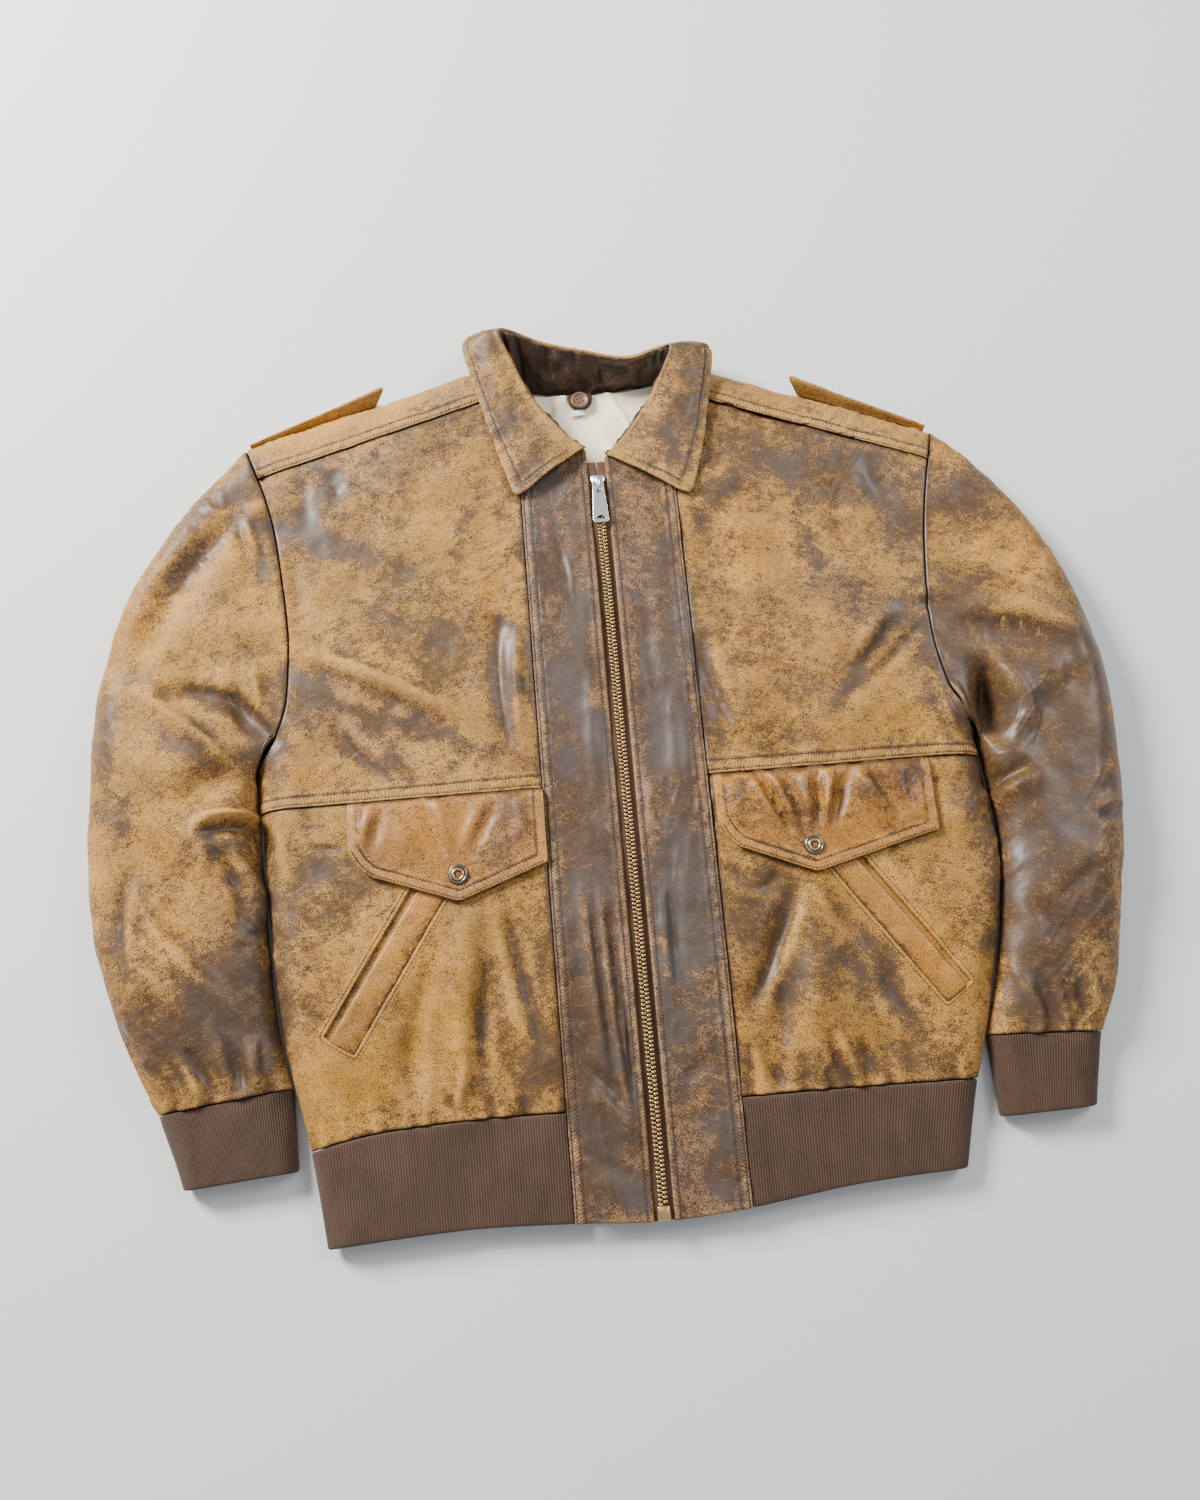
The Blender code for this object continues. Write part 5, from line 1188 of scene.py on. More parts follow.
def frontUpper(side, sign):
    s = shoulder[side]
    low = bodyForm["chestSeam"] + gaps["seam"]
    top = s["tipY"] + (s["underarmY"] - s["tipY"]) * armholeCurve["yokeEnd"]
    rowAt = stops(top - low, grids["cell"], doubleStops, plainStops)
    outY = low + rowAt
    outX = chestOuter(side, outY)
    innerTop = shoulderFold(side, seamX) - (shoulderFold(side, outX[-1]) - top)
    innerY = low + (innerTop - low) * (outY - low) / (top - low)
    roll = bodyForm["topRoll"] * crownAt(outY)
    span = np.hypot(outX - seamX, outY - innerY)
    flat = stops(float(np.mean(span - roll)), grids["cell"], plainStops)
    turn = np.radians(np.linspace(0, 90, round(0.046 / grids["cell"])))[1:]
    blend = ease(0.1 * flat[-1], 0.9 * flat[-1], flat)
    flatD = flat[None] + (span - roll - flat[-1])[:, None] * blend[None]
    turnD = (span - roll)[:, None] + roll[:, None] * np.sin(turn)[None]
    d = np.concatenate((flatD, turnD), 1) / span[:, None]
    xs = seamX + (outX - seamX)[:, None] * d
    ys = innerY[:, None] + (outY - innerY)[:, None] * d
    columnAt = np.concatenate((flat, flat[-1] + 0.036 * np.sin(turn)))
    p = Panel(joined(sign * xs, ys, bodyTop(sign * xs, ys)), rowAt, columnAt)
    steep = np.hypot(xs[:, -1:] - xs, ys[:, -1:] - ys)
    underarm = ease(s["underarmY"] - 0.01, s["underarmY"] + 0.03, p.y)
    p.field += relief(p.x, p.y)
    p.field += band(p.fromStart) + puckers(p.fromStart, p.x, 61) + tuck(p.fromEnd) + tuck(p.fromInner)
    p.field += (plainEdge(steep) + seamWaves(steep, p.y, 62)) * underarm
    p.rub += 0.9 * (1 - ease(0.0006, 0.0105, p.fromStart)) + 0.30 * np.exp(-steep / 0.003) * underarm
    p.pleated(pleatMask(p.fromStart), p.x)
    p.paintedShade += stitchRowShade(p.fromStart) + ditchShade(p.fromEnd) + ditchShade(p.fromInner)
    p.paintedShade += 0.8 * ditchShade(steep) * underarm
    p.sew("front_upper", "_" + side, "panel", "tan", walls["leather"], ["back_shell"])
    p.stitchTwice(rowAt, first=3, last=-12)


def yoke(side, sign):
    # From the seam on the front, over the shoulder fold, and in under the back.
    top, under, long = 300, 199, 0.243  # points above and under the fold, and the yoke's length
    foldAt = top - 1
    share = np.concatenate((np.linspace(armholeCurve["yokeEnd"], 0, top),
                            np.linspace(0, armholeCurve["underYokeEnd"], under + 1)[1:]))
    count = np.arange(len(share))
    endX, endY = armhole(side, share)
    endY[0] += 2 * gaps["seam"]
    drop = shoulderFold(side, endX) - endY
    startX = shoulder[side]["neckX"] - 0.35 * drop

    def place(part, rows):
        xs = startX[rows, None] + (endX[rows] - startX[rows])[:, None] * part[None]
        ys = shoulderFold(side, xs) - drop[rows, None]
        front = (rows <= foldAt)[:, None]
        return joined(sign * xs, ys, np.where(front, bodyTop(sign * xs, ys), bodyUnder(sign * xs, ys)))

    middle = place(np.array([0.5]), count)[:, 0]
    index, rowAt = evenly(count, middle, grids["cell"], doubleStops)
    index = np.round(index).astype(int)
    index[nearest(index, foldAt)] = foldAt
    keep = np.concatenate(([True], np.diff(index) > 0))
    index, rowAt = index[keep], rowAt[keep]
    columnAt = stops(long, grids["cell"], plainStops, plainStops)
    p = Panel(place(columnAt / columnAt[-1], index), rowAt, columnAt)
    front = (index <= foldAt)[:, None]
    p.field += relief(p.x, p.y) * front
    p.field += band(p.fromStart) + puckers(p.fromStart, p.x, 65)
    p.field += plainEdge(p.fromOuter) + seamWaves(p.fromOuter, p.y, 66) * front
    p.rub += 0.8 * (1 - ease(0.0006, 0.0105, p.fromStart))
    p.rub += 0.5 * bell(p.fromStart - rowAt[nearest(index, foldAt)], 0.006)
    p.pleated(pleatMask(p.fromStart), p.x)
    p.paintedShade += stitchRowShade(p.fromStart) + ditchShade(p.fromOuter)
    p.sew("yoke", "_" + side, "yoke", "tan", walls["leather"], ["back_shell"])
    p.stitchTwice(rowAt)


def neckline(side, x):
    # The front neck seam as y(x), from the zip out to the placket seam.
    top = shoulderFold(side, bodyForm["placketSeam"]) - 0.045
    start = {"right": 0.344, "left": 0.336}[side]
    share = np.clip((x - bodyForm["zipEdge"]) / (bodyForm["placketSeam"] - bodyForm["zipEdge"]), 0, 1)
    return start + (top - start) * share**1.15


def placket(side, sign):
    wide = bodyForm["placketSeam"] - bodyForm["zipEdge"]
    row = 0.0050  # the stitches beside the zip
    innerStops = (0.0004, 0.0010, 0.0018, row - 0.0009, row, row + 0.0009)
    columnAt = stops(wide, grids["cell"], innerStops, doubleStops)
    tall = 0.660
    rowAt = stops(tall, grids["cell"], plainStops, plainStops)
    x = bodyForm["zipEdge"] + columnAt[None]
    share = rowAt[:, None] / rowAt[-1]
    low, high = hemBottom(sign * x), neckline(side, x)
    y = low + (high - low) * share
    p = Panel(joined(sign * x + 0 * y, y, bodyTop(sign * x, y)), rowAt, columnAt)
    along = p.y + 0 * p.x
    p.field += relief(p.x, p.y)
    p.field += band(p.fromOuter) + puckers(p.fromOuter, along, 71 + sign)
    inner = 0.0006 + trimmed(p.fromInner, 0.0013, 0.002) - 0.0004 * bell(p.fromInner - row, 0.0008)
    inner = inner * (1 - ease(0.006, 0.010, p.fromInner))
    drawn = 1 - ease(0.003, 0.010, p.fromInner)
    inner = inner + 0.00022 * drawn * ripple(along / 0.0055, 0.5, 73 + sign)
    p.field += inner + plainEdge(p.fromStart) * 0.8
    patchy = 0.75 + 0.25 * ripple(along / 0.05, 0.3, 75)
    p.rub += 0.85 * (1 - ease(0.0006, 0.0095, p.fromOuter)) * patchy
    p.rub += 0.55 * np.exp(-p.fromInner / 0.0016) + 0.4 * np.exp(-p.fromStart / 0.004)
    beside = 0.7 * (1 - ease(0.004, 0.009, p.fromInner))
    p.pleated(pleatMask(p.fromOuter) + beside, along + 0.5 * p.fromInner)
    # Painted shade along the stitch rows.
    p.paintedShade += stitchRowShade(p.fromOuter) + 0.45 * bell(p.fromInner - row, 0.0009)
    p.sew("placket", "_" + side, "placket", "dark", walls["leather"], ["back_shell"])
    p.stitchTwice(p.fromOuter[0], True)
    p.stitch(nearest(columnAt, row), True)


# ---- back
def backRise(side, x):
    endX, endY = armhole(side, armholeCurve["underYokeEnd"])
    drop = shoulderFold(side, endX) - endY
    along = shoulderFold(side, np.maximum(x, bodyForm["neckHalf"])) - drop
    neck = bodyForm["backNeckY"]
    return neck + (along - neck) * np.minimum(1, x / bodyForm["neckHalf"]) ** 2 - endY


def halfRows(side, sign, endX, endY, columns):
    # Rows of the back from one edge towards the middle; they climb towards the shoulder's slope.
    s = shoulder[side]
    climb = np.maximum(0, (endY - s["underarmY"]) / (s["tipY"] - s["underarmY"]))[:, None] ** 1.5
    roll = bodyForm["underRoll"]
    flat = (endX[:, None] - roll) * (1 - (columns[None] - roll) / (columns[-1] - roll))
    x = np.where(columns[None] <= roll, endX[:, None] - columns[None], flat)
    return sign * x, endY[:, None] + climb * backRise(side, np.abs(x))


def acrossTheBack(right, left, middle):
    # Joins the two halves' rows at the middle.
    return np.concatenate((right[:, :-1], middle[:, None], left[:, -2::-1]), 1)


def edgeColumns(cell):
    roll = bodyForm["underRoll"]
    turn = roll * (1 - np.cos(np.radians(np.linspace(0, 90, 7))))
    return np.concatenate((turn, roll + stops(0.300 - roll, cell)[1:]))


def back():
    columns = edgeColumns(grids["hiddenCell"])
    halves = []
    for side, sign in sides:
        x, y = foldedEnds(side, sign, hemTop, chestLine, np.linspace(0, 1, 60))
        sideY = np.linspace(bodyForm["chestSeam"], shoulder[side]["underarmY"], 8)[1:-1]
        armX, armY = armhole(side, np.linspace(1, armholeCurve["underYokeEnd"], 70))
        armY[-1] -= 2 * gaps["seam"]
        endX = np.concatenate((x, halfWidth(side, sideY), armX))
        endY = np.concatenate((y, sideY, armY))
        halves.append(halfRows(side, sign, endX, endY, columns))
    (rx, ry), (lx, ly) = halves
    midY = np.minimum(0.5 * (ry[:, -1] + ly[:, -1]), bodyForm["backNeckY"])
    xs, ys = acrossTheBack(rx, lx, 0 * midY), acrossTheBack(ry, ly, midY)
    ys[0] = hemTop(xs[0])
    # rows never turn back below the curved hem line
    ys = np.maximum(ys, ys[0] + 0.0005 * np.arange(len(ys))[:, None])
    grid = joined(xs, ys, bodyUnder(xs, ys))
    rowAt = lengths(grid[:, len(columns)])
    p = Panel(grid, rowAt, lengths(grid[len(rowAt) // 2]), (0, 0, -1))
    # the back rests on the ground, so its soft unevenness only rises from it
    p.field -= 0.0007 * (1 + ripple(p.x / 0.05, p.y / 0.05, 81)) * ease(0, 0.02, p.fromStart)
    p.sew("back", "", "back", "tan", walls["leather"], ["ground"], step=2)


# ---- knit hem and cuffs
ribs = {"pitch": 0.0022, "height": 0.00055, "perRib": 4, "row": 0.0040}
ribDraft = 1


def ribWave(u):
    # Rounded ribs with narrow grooves between them.
    return ribs["height"] * (np.abs(np.sin(math.pi * u / ribs["pitch"])) - 0.5)


def knitRelief(x, y, d, seed):
    soft = 0.0011 * ripple(x / 0.030, y / 0.050, seed) + 0.0004 * ripple(x / 0.009, y / 0.030, seed + 1)
    return soft * ease(0, 0.010, d)


def ribFront(side, sign):
    ends = ((0.0006, 0.002), (0.0008, 0.002))
    xs, ys, rowAt, _ = sidePlan(side, sign, seamX, hemBottom, ribLine, ribs["row"], *ends)
    params = np.arange(xs.shape[1], dtype=float)
    middle = joined(xs, ys, bodyTop(xs, ys))[len(rowAt) // 2]
    index, columnAt = evenly(params, middle, ribs["pitch"] / ribs["perRib"] * ribDraft)
    xs, ys = (between(index, params, plan.T).T for plan in (xs, ys))
    p = Panel(joined(xs, ys, bodyTop(xs, ys)), rowAt, columnAt)
    p.field += knitRelief(p.x, p.y, p.fromOuter, 91) + ribWave(p.fromInner)
    p.field += trimmed(p.fromStart, 0.0016, 0.0028) + trimmed(p.fromEnd, 0.0012, 0.003)
    p.field += 0.5 * tuck(p.fromInner)
    p.sew("hem_rib", "_" + side, "panel", "knit", walls["knit"], ["hem_rib_back_shell"])


def ribBack():
    columns = edgeColumns(grids["hiddenCell"])
    shares = np.linspace(0, 1, 12)
    halves = []
    for side, sign in sides:
        x, y = foldedEnds(side, sign, hemBottom, ribLine, shares)
        halves.append(halfRows(side, sign, x, y, columns)[0])
    xs = acrossTheBack(*halves, 0 * shares)
    params = np.arange(xs.shape[1], dtype=float)
    middle = joined(xs[6], 0 * xs[6], 0 * xs[6])
    index, columnAt = evenly(params, middle, ribs["pitch"] / 2 * ribDraft)
    xs = between(index, params, xs.T).T
    low, high = hemBottom(xs), ribLine(xs)
    ys = low + (high - low) * shares[:, None]
    grid = joined(xs, ys, bodyUnder(xs, ys))
    p = Panel(grid, lengths(grid[:, len(index) // 2]), columnAt, (0, 0, -1))
    p.field -= ribs["height"] * (0.5 + 0.5 * np.cos(math.pi * np.arange(len(index)))[None])
    p.sew("hem_rib_back", "", "panel", "knit", walls["knit"], ["ground"], step=2)


# ---- sleeves
def sleeveEdges(side, t):
    # Inner and outer edge points and the height, t stations from the armhole.
    form, first = sleeveForm[side], shoulder[side]
    ts = np.arange(len(form["innerY"]) + 1.0)
    y = curve(ts, (first["underarmY"], *form["innerY"]), t)
    x = halfWidth(side, y) + sleeveForm["clear"] * np.minimum(1, t * 4)
    outerX = curve(ts, (first["tipX"], *form["outerX"]), t)
    outerY = curve(ts, (first["tipY"], *form["outerY"]), t)
    height = curve(ts, (sleeveForm["headHeight"], *form["height"]), t)
    return np.stack((x, y), -1), np.stack((outerX, outerY), -1), height


def sectionStop(q, top):
    # The distance from a section's outer edge, as a share of the roll and a share of the width.
    if top:
        edge = [1 - math.sin(math.radians(angle)) for angle in sleeveForm["rollAngles"]] + [1.0]
        flat = len(sleeveForm["topShares"]) - 2 * len(edge)
    else:
        edge = [row / bodyForm["underRoll"] for row in sleeveForm["underRows"]]
        flat = 4
    part = [(i + 1) / (flat + 1) for i in range(flat)]
    roll = edge + [1 - 2 * share for share in part] + [-value for value in reversed(edge)]
    width = [0] * len(edge) + part + [1] * len(edge)
    knots = np.arange(len(roll), dtype=float)
    return np.interp(q, knots, roll), np.interp(q, knots, width)


def sleeveGrid(side, sign, ts, q, top):
    # Sections of a sleeve. Each is the armhole seam itself at 0, and the sleeve's own tube by 1.
    shares = sleeveForm["topShares" if top else "underShares"]
    share = np.interp(q, np.arange(len(shares)), shares)
    rollShare, widthShare = sectionStop(q, top)
    firstIn, firstOut, _ = sleeveEdges(side, np.zeros(1))
    inner, outer, height = sleeveEdges(side, ts)
    width = np.linalg.norm(outer - inner, axis=1)
    roll = np.minimum(height, 0.42 * width) if top else np.full(len(ts), bodyForm["underRoll"])
    stop = roll[:, None] * rollShare[None] + width[:, None] * widthShare[None]
    low = bodyForm["edgeHeight"] + gaps["side"] / 2 * (1 if top else -1)
    body = bodyTop if top else bodyUnder
    own = ease(0, 1, ts)[:, None]
    armX, armY = armhole(side, share)
    seam = np.stack((armX, armY), -1) + gaps["armhole"] * armholeOutward(side, share)
    across = outer[:, None] + (inner - outer)[:, None] * share[None, :, None]
    start = firstOut[:, None] + (firstIn - firstOut)[:, None] * share[None, :, None]
    plan = seam[None] + across - start
    tubePlan = outer[:, None] + (inner - outer)[:, None] * (stop / width[:, None])[..., None]
    plan = plan + (tubePlan - plan) * own[..., None]
    tube = quarter(stop / roll[:, None]) * quarter((width[:, None] - stop) / roll[:, None])
    if top:
        folds = creases(sleeveCreases[side], sign * plan[..., 0], plan[..., 1])
        z = low + (height[:, None] - low + folds) * tube
    else:
        z = low * (1 - tube)
    z = z * own + body(sign * armX, armY)[None] * (1 - own)
    return joined(sign * plan[..., 0], plan[..., 1], z), tube


def sleevePanel(side, sign, top):
    # Each half is cut into rows along the arm and columns across it.
    last = float(len(sleeveForm[side]["innerY"]))
    count = len(sleeveForm["topShares" if top else "underShares"]) - 1
    cell = grids["cell"] if top else grids["hiddenCell"]
    widest, middle = np.array([3.4]), np.array([count * 0.45])
    q, ts = np.linspace(0, count, 600), np.linspace(0, last, 400)
    section = sleeveGrid(side, sign, widest, q, top)[0][0]
    lineAt = sleeveGrid(side, sign, ts, middle, top)[0][:, 0]
    q, columnAt = evenly(q, section, cell)
    ts, rowAt = evenly(ts, lineAt, cell, plainStops if top else (), (0.0008, 0.002))
    grid, tube = sleeveGrid(side, sign, ts, q, top)
    return Panel(grid, rowAt, columnAt, (0, 0, 1 if top else -1)), tube


def sleeve(side, sign):
    p, _ = sleevePanel(side, sign, True)
    ends = ease(0, 0.006, p.fromInner) * ease(0, 0.006, p.fromOuter)
    p.field += relief(p.x, p.y) * ends
    steep = p.fromStart * (0.45 + 0.55 * ease(0.5, 0.0, p.fromInner / p.fromInner[0, -1]))
    p.field += plainEdge(steep) + seamWaves(steep, p.y, 95)
    p.field += gathers(p.fromEnd, p.x - 0.2 * p.y, 97 + sign, 0.012) * ends
    p.field += trimmed(p.fromEnd, 0.0010, 0.0025)
    p.rub += 0.30 * np.exp(-steep / 0.003)
    p.paintedShade += 0.9 * ditchShade(steep) + 0.5 * ditchShade(p.fromEnd)
    under = ["sleeve_under_shell_" + side]
    p.sew("sleeve_upper", "_" + side, "sleeve", "tan", walls["leather"], under)
    p, tube = sleevePanel(side, sign, False)
    p.field -= 0.0006 * (1 + ripple(p.x / 0.05, p.y / 0.05, 98)) * (tube > 0.9)
    p.sew("sleeve_under", "_" + side, "back", "tan", walls["leather"], ["ground"], step=2)


cuffEnds = {
    "right": {"inner": (0.286, -0.259), "outer": (0.377, -0.266)},
    "left": {"inner": (0.277, -0.264), "outer": (0.357, -0.262)},
    "height": 0.019,
    "underRoll": 0.0105,
    "edgeHeight": 0.0063,
}


def cuffSection(a, b, tall, sign):
    # A flattened tube: a rolled top, and a flat underside turned up at its edges.
    width = float(np.linalg.norm(b - a))
    turn = 1 - np.cos(np.radians(np.linspace(3, 90, 24)))
    stop, share = [], []
    for roll in (0.9 * tall, cuffEnds["underRoll"]):
        flat = np.linspace(roll, width - roll, 40)[1:-1]
        stop.append(np.concatenate((roll * turn, flat, width - roll * turn[::-1])))
        share.append(quarter(stop[-1] / roll) * quarter((width - stop[-1]) / roll))
    side = cuffEnds["edgeHeight"]
    z = np.concatenate((side + (tall - side) * share[0], side * (1 - share[1][::-1])))
    stop = np.concatenate((stop[0], stop[1][::-1]))
    plan = b[None] + (a - b)[None] * (stop / width)[:, None]
    return joined(sign * plan[:, 0], plan[:, 1], z)


def cuff(side, sign):
    last = np.array([float(len(sleeveForm[side]["innerY"]))])
    inner, outer, height = (v[0] for v in sleeveEdges(side, last))
    low, high = np.array(cuffEnds[side]["inner"]), np.array(cuffEnds[side]["outer"])
    along = unit((low + high) - (inner + outer))
    startIn, startOut = inner + along * gaps["rib"], outer + along * gaps["rib"]
    long = float(np.linalg.norm((low + high - startIn - startOut) / 2))
    rowAt = stops(long, ribs["row"], (0.0008, 0.002), (0.0006, 0.0015, 0.003))
    cell = ribs["pitch"] / ribs["perRib"] * ribDraft
    startTall = height - 0.001
    rings, count = [], None
    for share in rowAt / long:
        a, b = startIn + (low - startIn) * share, startOut + (high - startOut) * share
        ring = cuffSection(a, b, startTall + (cuffEnds["height"] - startTall) * share, sign)
        ring = np.concatenate((ring, ring[:1]))
        run = lengths(ring)
        count = count or int(round(run[-1] / cell / ribs["perRib"])) * ribs["perRib"]
        rings.append(between(np.linspace(0, run[-1], count + 1)[:-1], run, ring))
    grid = np.array(rings)
    x, y, z = np.moveaxis(grid, -1, 0)
    normals, _ = normalsOf(grid, (0, 0, 1), True)
    outward = np.sign((normals[..., 2] * (z - 0.008)).sum()) * normals
    columnAt = np.arange(count) * cell
    onTop = ease(0.004, 0.012, z)
    field = ribWave(columnAt)[None] * (0.35 + 0.65 * onTop)
    field = field + knitRelief(x, y, rowAt[:, None], 99) * onTop
    field = field + trimmed(long - rowAt, 0.0014, 0.0028)[:, None]
    field = field + 0.0009 * onTop * ripple(x / 0.016, y / 0.06, 101)
    grid = grid + outward * field[..., None]
    grid[..., 2] = np.maximum(grid[..., 2], 0.0001)
    tone = toneAt(grid[..., 0], grid[..., 1], "panel")
    facing, cut = outward[len(rowAt) // 2], flatUv(rowAt, columnAt)
    obj, _ = shell("cuff_shell_" + side, grid, walls["knit"], facing[None], True, tone=tone, cut=cut)
    settle(obj, "cuff_" + side, "knit", on=["ground"])


back()
ribBack()
for side, sign in sides:
    frontLower(side, sign)
    frontUpper(side, sign)
    yoke(side, sign)
    placket(side, sign)
    ribFront(side, sign)
    sleeve(side, sign)
    cuff(side, sign)
    print("panels made:", side)


# ---- collar
# Sections from one front corner round the neck to the other: base, fold and edge points, in mm.
collarSections = (
    ((-8.5, 347, 29.5), (-10, 345, 36), (-75, 298, 34.5)),
    ((-24, 360, 29.2), (-24, 358, 37.5), (-83, 324, 34.5)),
    ((-41, 380, 29), (-40, 378, 40), (-92, 357, 34.5)),
    ((-57, 400, 28.5), (-55, 401, 44), (-101, 395, 35.5)),
    ((-69, 418, 26), (-68, 432, 50), (-109, 430, 38)),
    ((-81, 431, 16), (-78, 459, 55), (-113, 462, 36)),
    ((-62, 424, 5.5), (-66, 460, 52), (-83, 479, 15)),
    ((-33, 419, 3.4), (-36, 447, 48), (-40, 468, 7)),
    ((0, 417.5, 3.2), (0, 438, 45), (0, 459, 5)),
    ((33, 419, 3.4), (36, 429, 43), (39, 451, 6)),
    ((61, 422, 5.5), (66, 434, 47), (80, 456, 14)),
    ((81, 424, 16), (76, 434, 51), (113, 440, 35)),
    ((69, 410, 26), (67, 413, 47), (114, 411, 36)),
    ((57, 391, 28.5), (55, 391, 42), (108, 380, 35)),
    ((41, 370, 29.2), (40, 369, 39.5), (100, 344, 34.5)),
    ((24, 351, 30), (24, 350, 37.5), (91, 312, 34.5)),
    ((9, 338.5, 30.4), (10.5, 337, 36), (82, 287, 34.5)),
)
collarForm = {
    "bulge": 0.0035,
    "rollStart": 0.0052,
    "rollEnd": 0.0060,
    "rollShare": 0.16,
    "wrinkle": 0.0024,
    "corner": 0.009,
    "stitchesFrom": 0.014,  # how far from the fold the end rows start
    "standGap": 0.0034,
    "neckCentre": (0.0, 0.40, 0.03),
}


def collarLine(end, at):
    rows = np.array(collarSections)[:, end] * millimetre
    ts = np.arange(len(rows), dtype=float)
    return np.stack([curve(ts, column, at) for column in rows.T], -1)


def collarFall(ts, s):
    # From inside the neck, over a rounded fold, and out in a shallow arch to the edge.
    base, fold, edge = (collarLine(k, ts)[:, None] for k in range(3))
    up, out = unit(fold - base), unit(edge - fold)
    form = collarForm
    s = s[None, :, None]
    rolled = np.clip(s / form["rollShare"], 0, 1)
    first, last = fold - up * form["rollStart"], fold + out * form["rollEnd"]
    corner = fold + (up - out) * 0.0012
    bend = first * (1 - rolled) ** 2 + corner * 2 * rolled * (1 - rolled) + last * rolled**2
    share = np.clip((s - form["rollShare"]) / (1 - form["rollShare"]), 0, 1)
    lift = form["bulge"] * 4 * share * (1 - share)
    flat = last + (edge - last) * share + np.array((0, 0, 1.0)) * lift
    return np.where(s < form["rollShare"], bend, flat)


def rounded(grid, rowAt, columnAt, radius):
    # Pulls the two outer corners in, as a square's corner is pulled on to a circle.
    outer = np.clip(1 - (columnAt[-1] - columnAt) / radius, 0, 1)[None]
    down, across = unit(np.gradient(grid, axis=0)), unit(np.gradient(grid, axis=1))
    for fromEdge, sign in ((rowAt, 1), (rowAt[-1] - rowAt, -1)):
        u = np.clip(1 - fromEdge / radius, 0, 1)[:, None]
        size = np.maximum(np.hypot(u, outer), 1e-9)
        pull = radius * (1 - np.maximum(u, outer) / size) * ((u > 0) & (outer > 0))
        grid = grid + down * (sign * pull * u)[..., None] - across * (pull * outer)[..., None]
    return grid


def collar():
    dense, s = np.linspace(0, len(collarSections) - 1, 700), np.linspace(0, 1, 300)
    rolled = (0.0004, 0.0010, 0.0018, 0.0028, 0.0070, 0.0078, 0.0086)
    line, section = collarFall(dense, np.array([0.7]))[:, 0], collarFall(np.array([3.0]), s)[0]
    ts, rowAt = evenly(dense, line, grids["cell"], rolled, rolled)
    s, columnAt = evenly(s, section, grids["cell"], plainStops, rolled)
    grid = rounded(collarFall(ts, s), rowAt, columnAt, collarForm["corner"])
    p = Panel(grid, rowAt, columnAt, (0, 0.2, 1))
    flat = ease(0.010, 0.022, p.fromInner)
    d = np.minimum(np.minimum(p.fromStart, p.fromEnd) + 0.1 * (1 - flat), p.fromOuter)
    run = np.where(p.fromOuter < 0.012, p.fromStart, p.fromInner)
    p.field += relief(p.x, p.y) * 0.7 * flat + 0.0005 * ripple(p.x / 0.012, p.y / 0.012, 111)
    p.field += band(d, ("trim",))
    p.field += (1 - ease(0.007, 0.018, d)) * 0.0008 * ripple(run / 0.0042, d / 0.02, 112)
    p.pleated(0.8 * ease(0.001, 0.003, d) * (1 - ease(0.006, 0.014, d)), run)
    p.rub += 0.6 * (1 - ease(0.0008, 0.0060, d)) + 0.45 * bell(p.fromInner - 0.009, 0.005)
    p.paintedShade += stitchRowShade(d, ("trim",))
    fronts = ["front_upper_shell_" + side for side, _ in sides]
    p.sew("collar_fall", "", "collar", "tan", walls["collar"], fronts)
    trim, first = nearest(p.fromOuter[0], seams["trim"]), nearest(columnAt, collarForm["stitchesFrom"])
    begin, end = nearest(rowAt, seams["trim"]), nearest(p.fromEnd[:, 0], seams["trim"])
    p.stitch(trim, True, begin, end)
    p.stitch(begin, False, first, trim)
    p.stitch(end, False, first, trim)
    collarStand(ts, rowAt)


def collarStand(ts, rowAt):
    # The inside of the collar, from the neck seam up to just under the fold, slack and wrinkled.
    base, fold = collarLine(0, ts), collarLine(1, ts)
    top = fold - unit(fold - base) * collarForm["standGap"]
    grid = base[:, None] + (top - base)[:, None] * np.linspace(0, 1, 24)[None, :, None]
    columnAt = lengths(grid[len(ts) // 2])
    inward = (np.array(collarForm["neckCentre"]) - grid) * (1, 1, 0)
    normals, _ = normalsOf(grid, np.zeros(3))
    normals *= np.sign((normals * inward).sum(2, keepdims=True))
    down, across = rowAt[:, None], columnAt[None]
    wave = ripple(down / 0.014, across / 0.012, 113) + 0.6 * ripple(down / 0.006, across / 0.02, 114)
    wave *= collarForm["wrinkle"] * ease(0, 0.006, down) * ease(0, 0.006, rowAt[-1] - down)
    grid = grid + normals * (0.5 * walls["leather"] + wave)[..., None]
    layers = {"tone": toneAt(grid[..., 0], grid[..., 1], "stand", wave), "cut": flatUv(rowAt, columnAt)}
    obj, _ = shell("collar_stand_shell", grid, walls["leather"], normals, **layers)
    settle(obj, "collar_stand", "stand", on=["back_shell"])


def lining():
    # Satin over the inside of the back, slack and softly creased.
    rows, columns = 110, 120
    low, lowHalf, topHalf = 0.270, 0.110, 0.076
    share = np.linspace(0, 1, rows)[:, None]
    x = np.linspace(-1, 1, columns)[None] * (lowHalf + (topHalf - lowHalf) * share**2)
    top = bodyForm["backNeckY"] - 0.0015 + 0.009 * (x / topHalf) ** 2
    y = low + (top - low) * share
    slack = 0.0018 * ripple(x / 0.022 + y / 0.05, y / 0.030, 121)
    slack += 0.0009 * ripple(x / 0.010, y / 0.024 + x / 0.03, 122)
    folds = 0.0022 * bell(x - 0.030 + 0.5 * (y - 0.39), 0.004)
    folds += 0.0016 * bell(x + 0.035 - 0.4 * (y - 0.39), 0.005)
    z = 0.0060 + np.maximum(-0.0008, slack + folds * ease(0.33, 0.38, y))
    cut = flatUv(np.linspace(0, 0.147, rows), np.linspace(0, 0.2, columns))
    obj, _ = shell("lining_back_shell", joined(x, y, z), walls["satin"], cut=cut)
    settle(obj, "lining_back", "cream", on=["back_shell"])


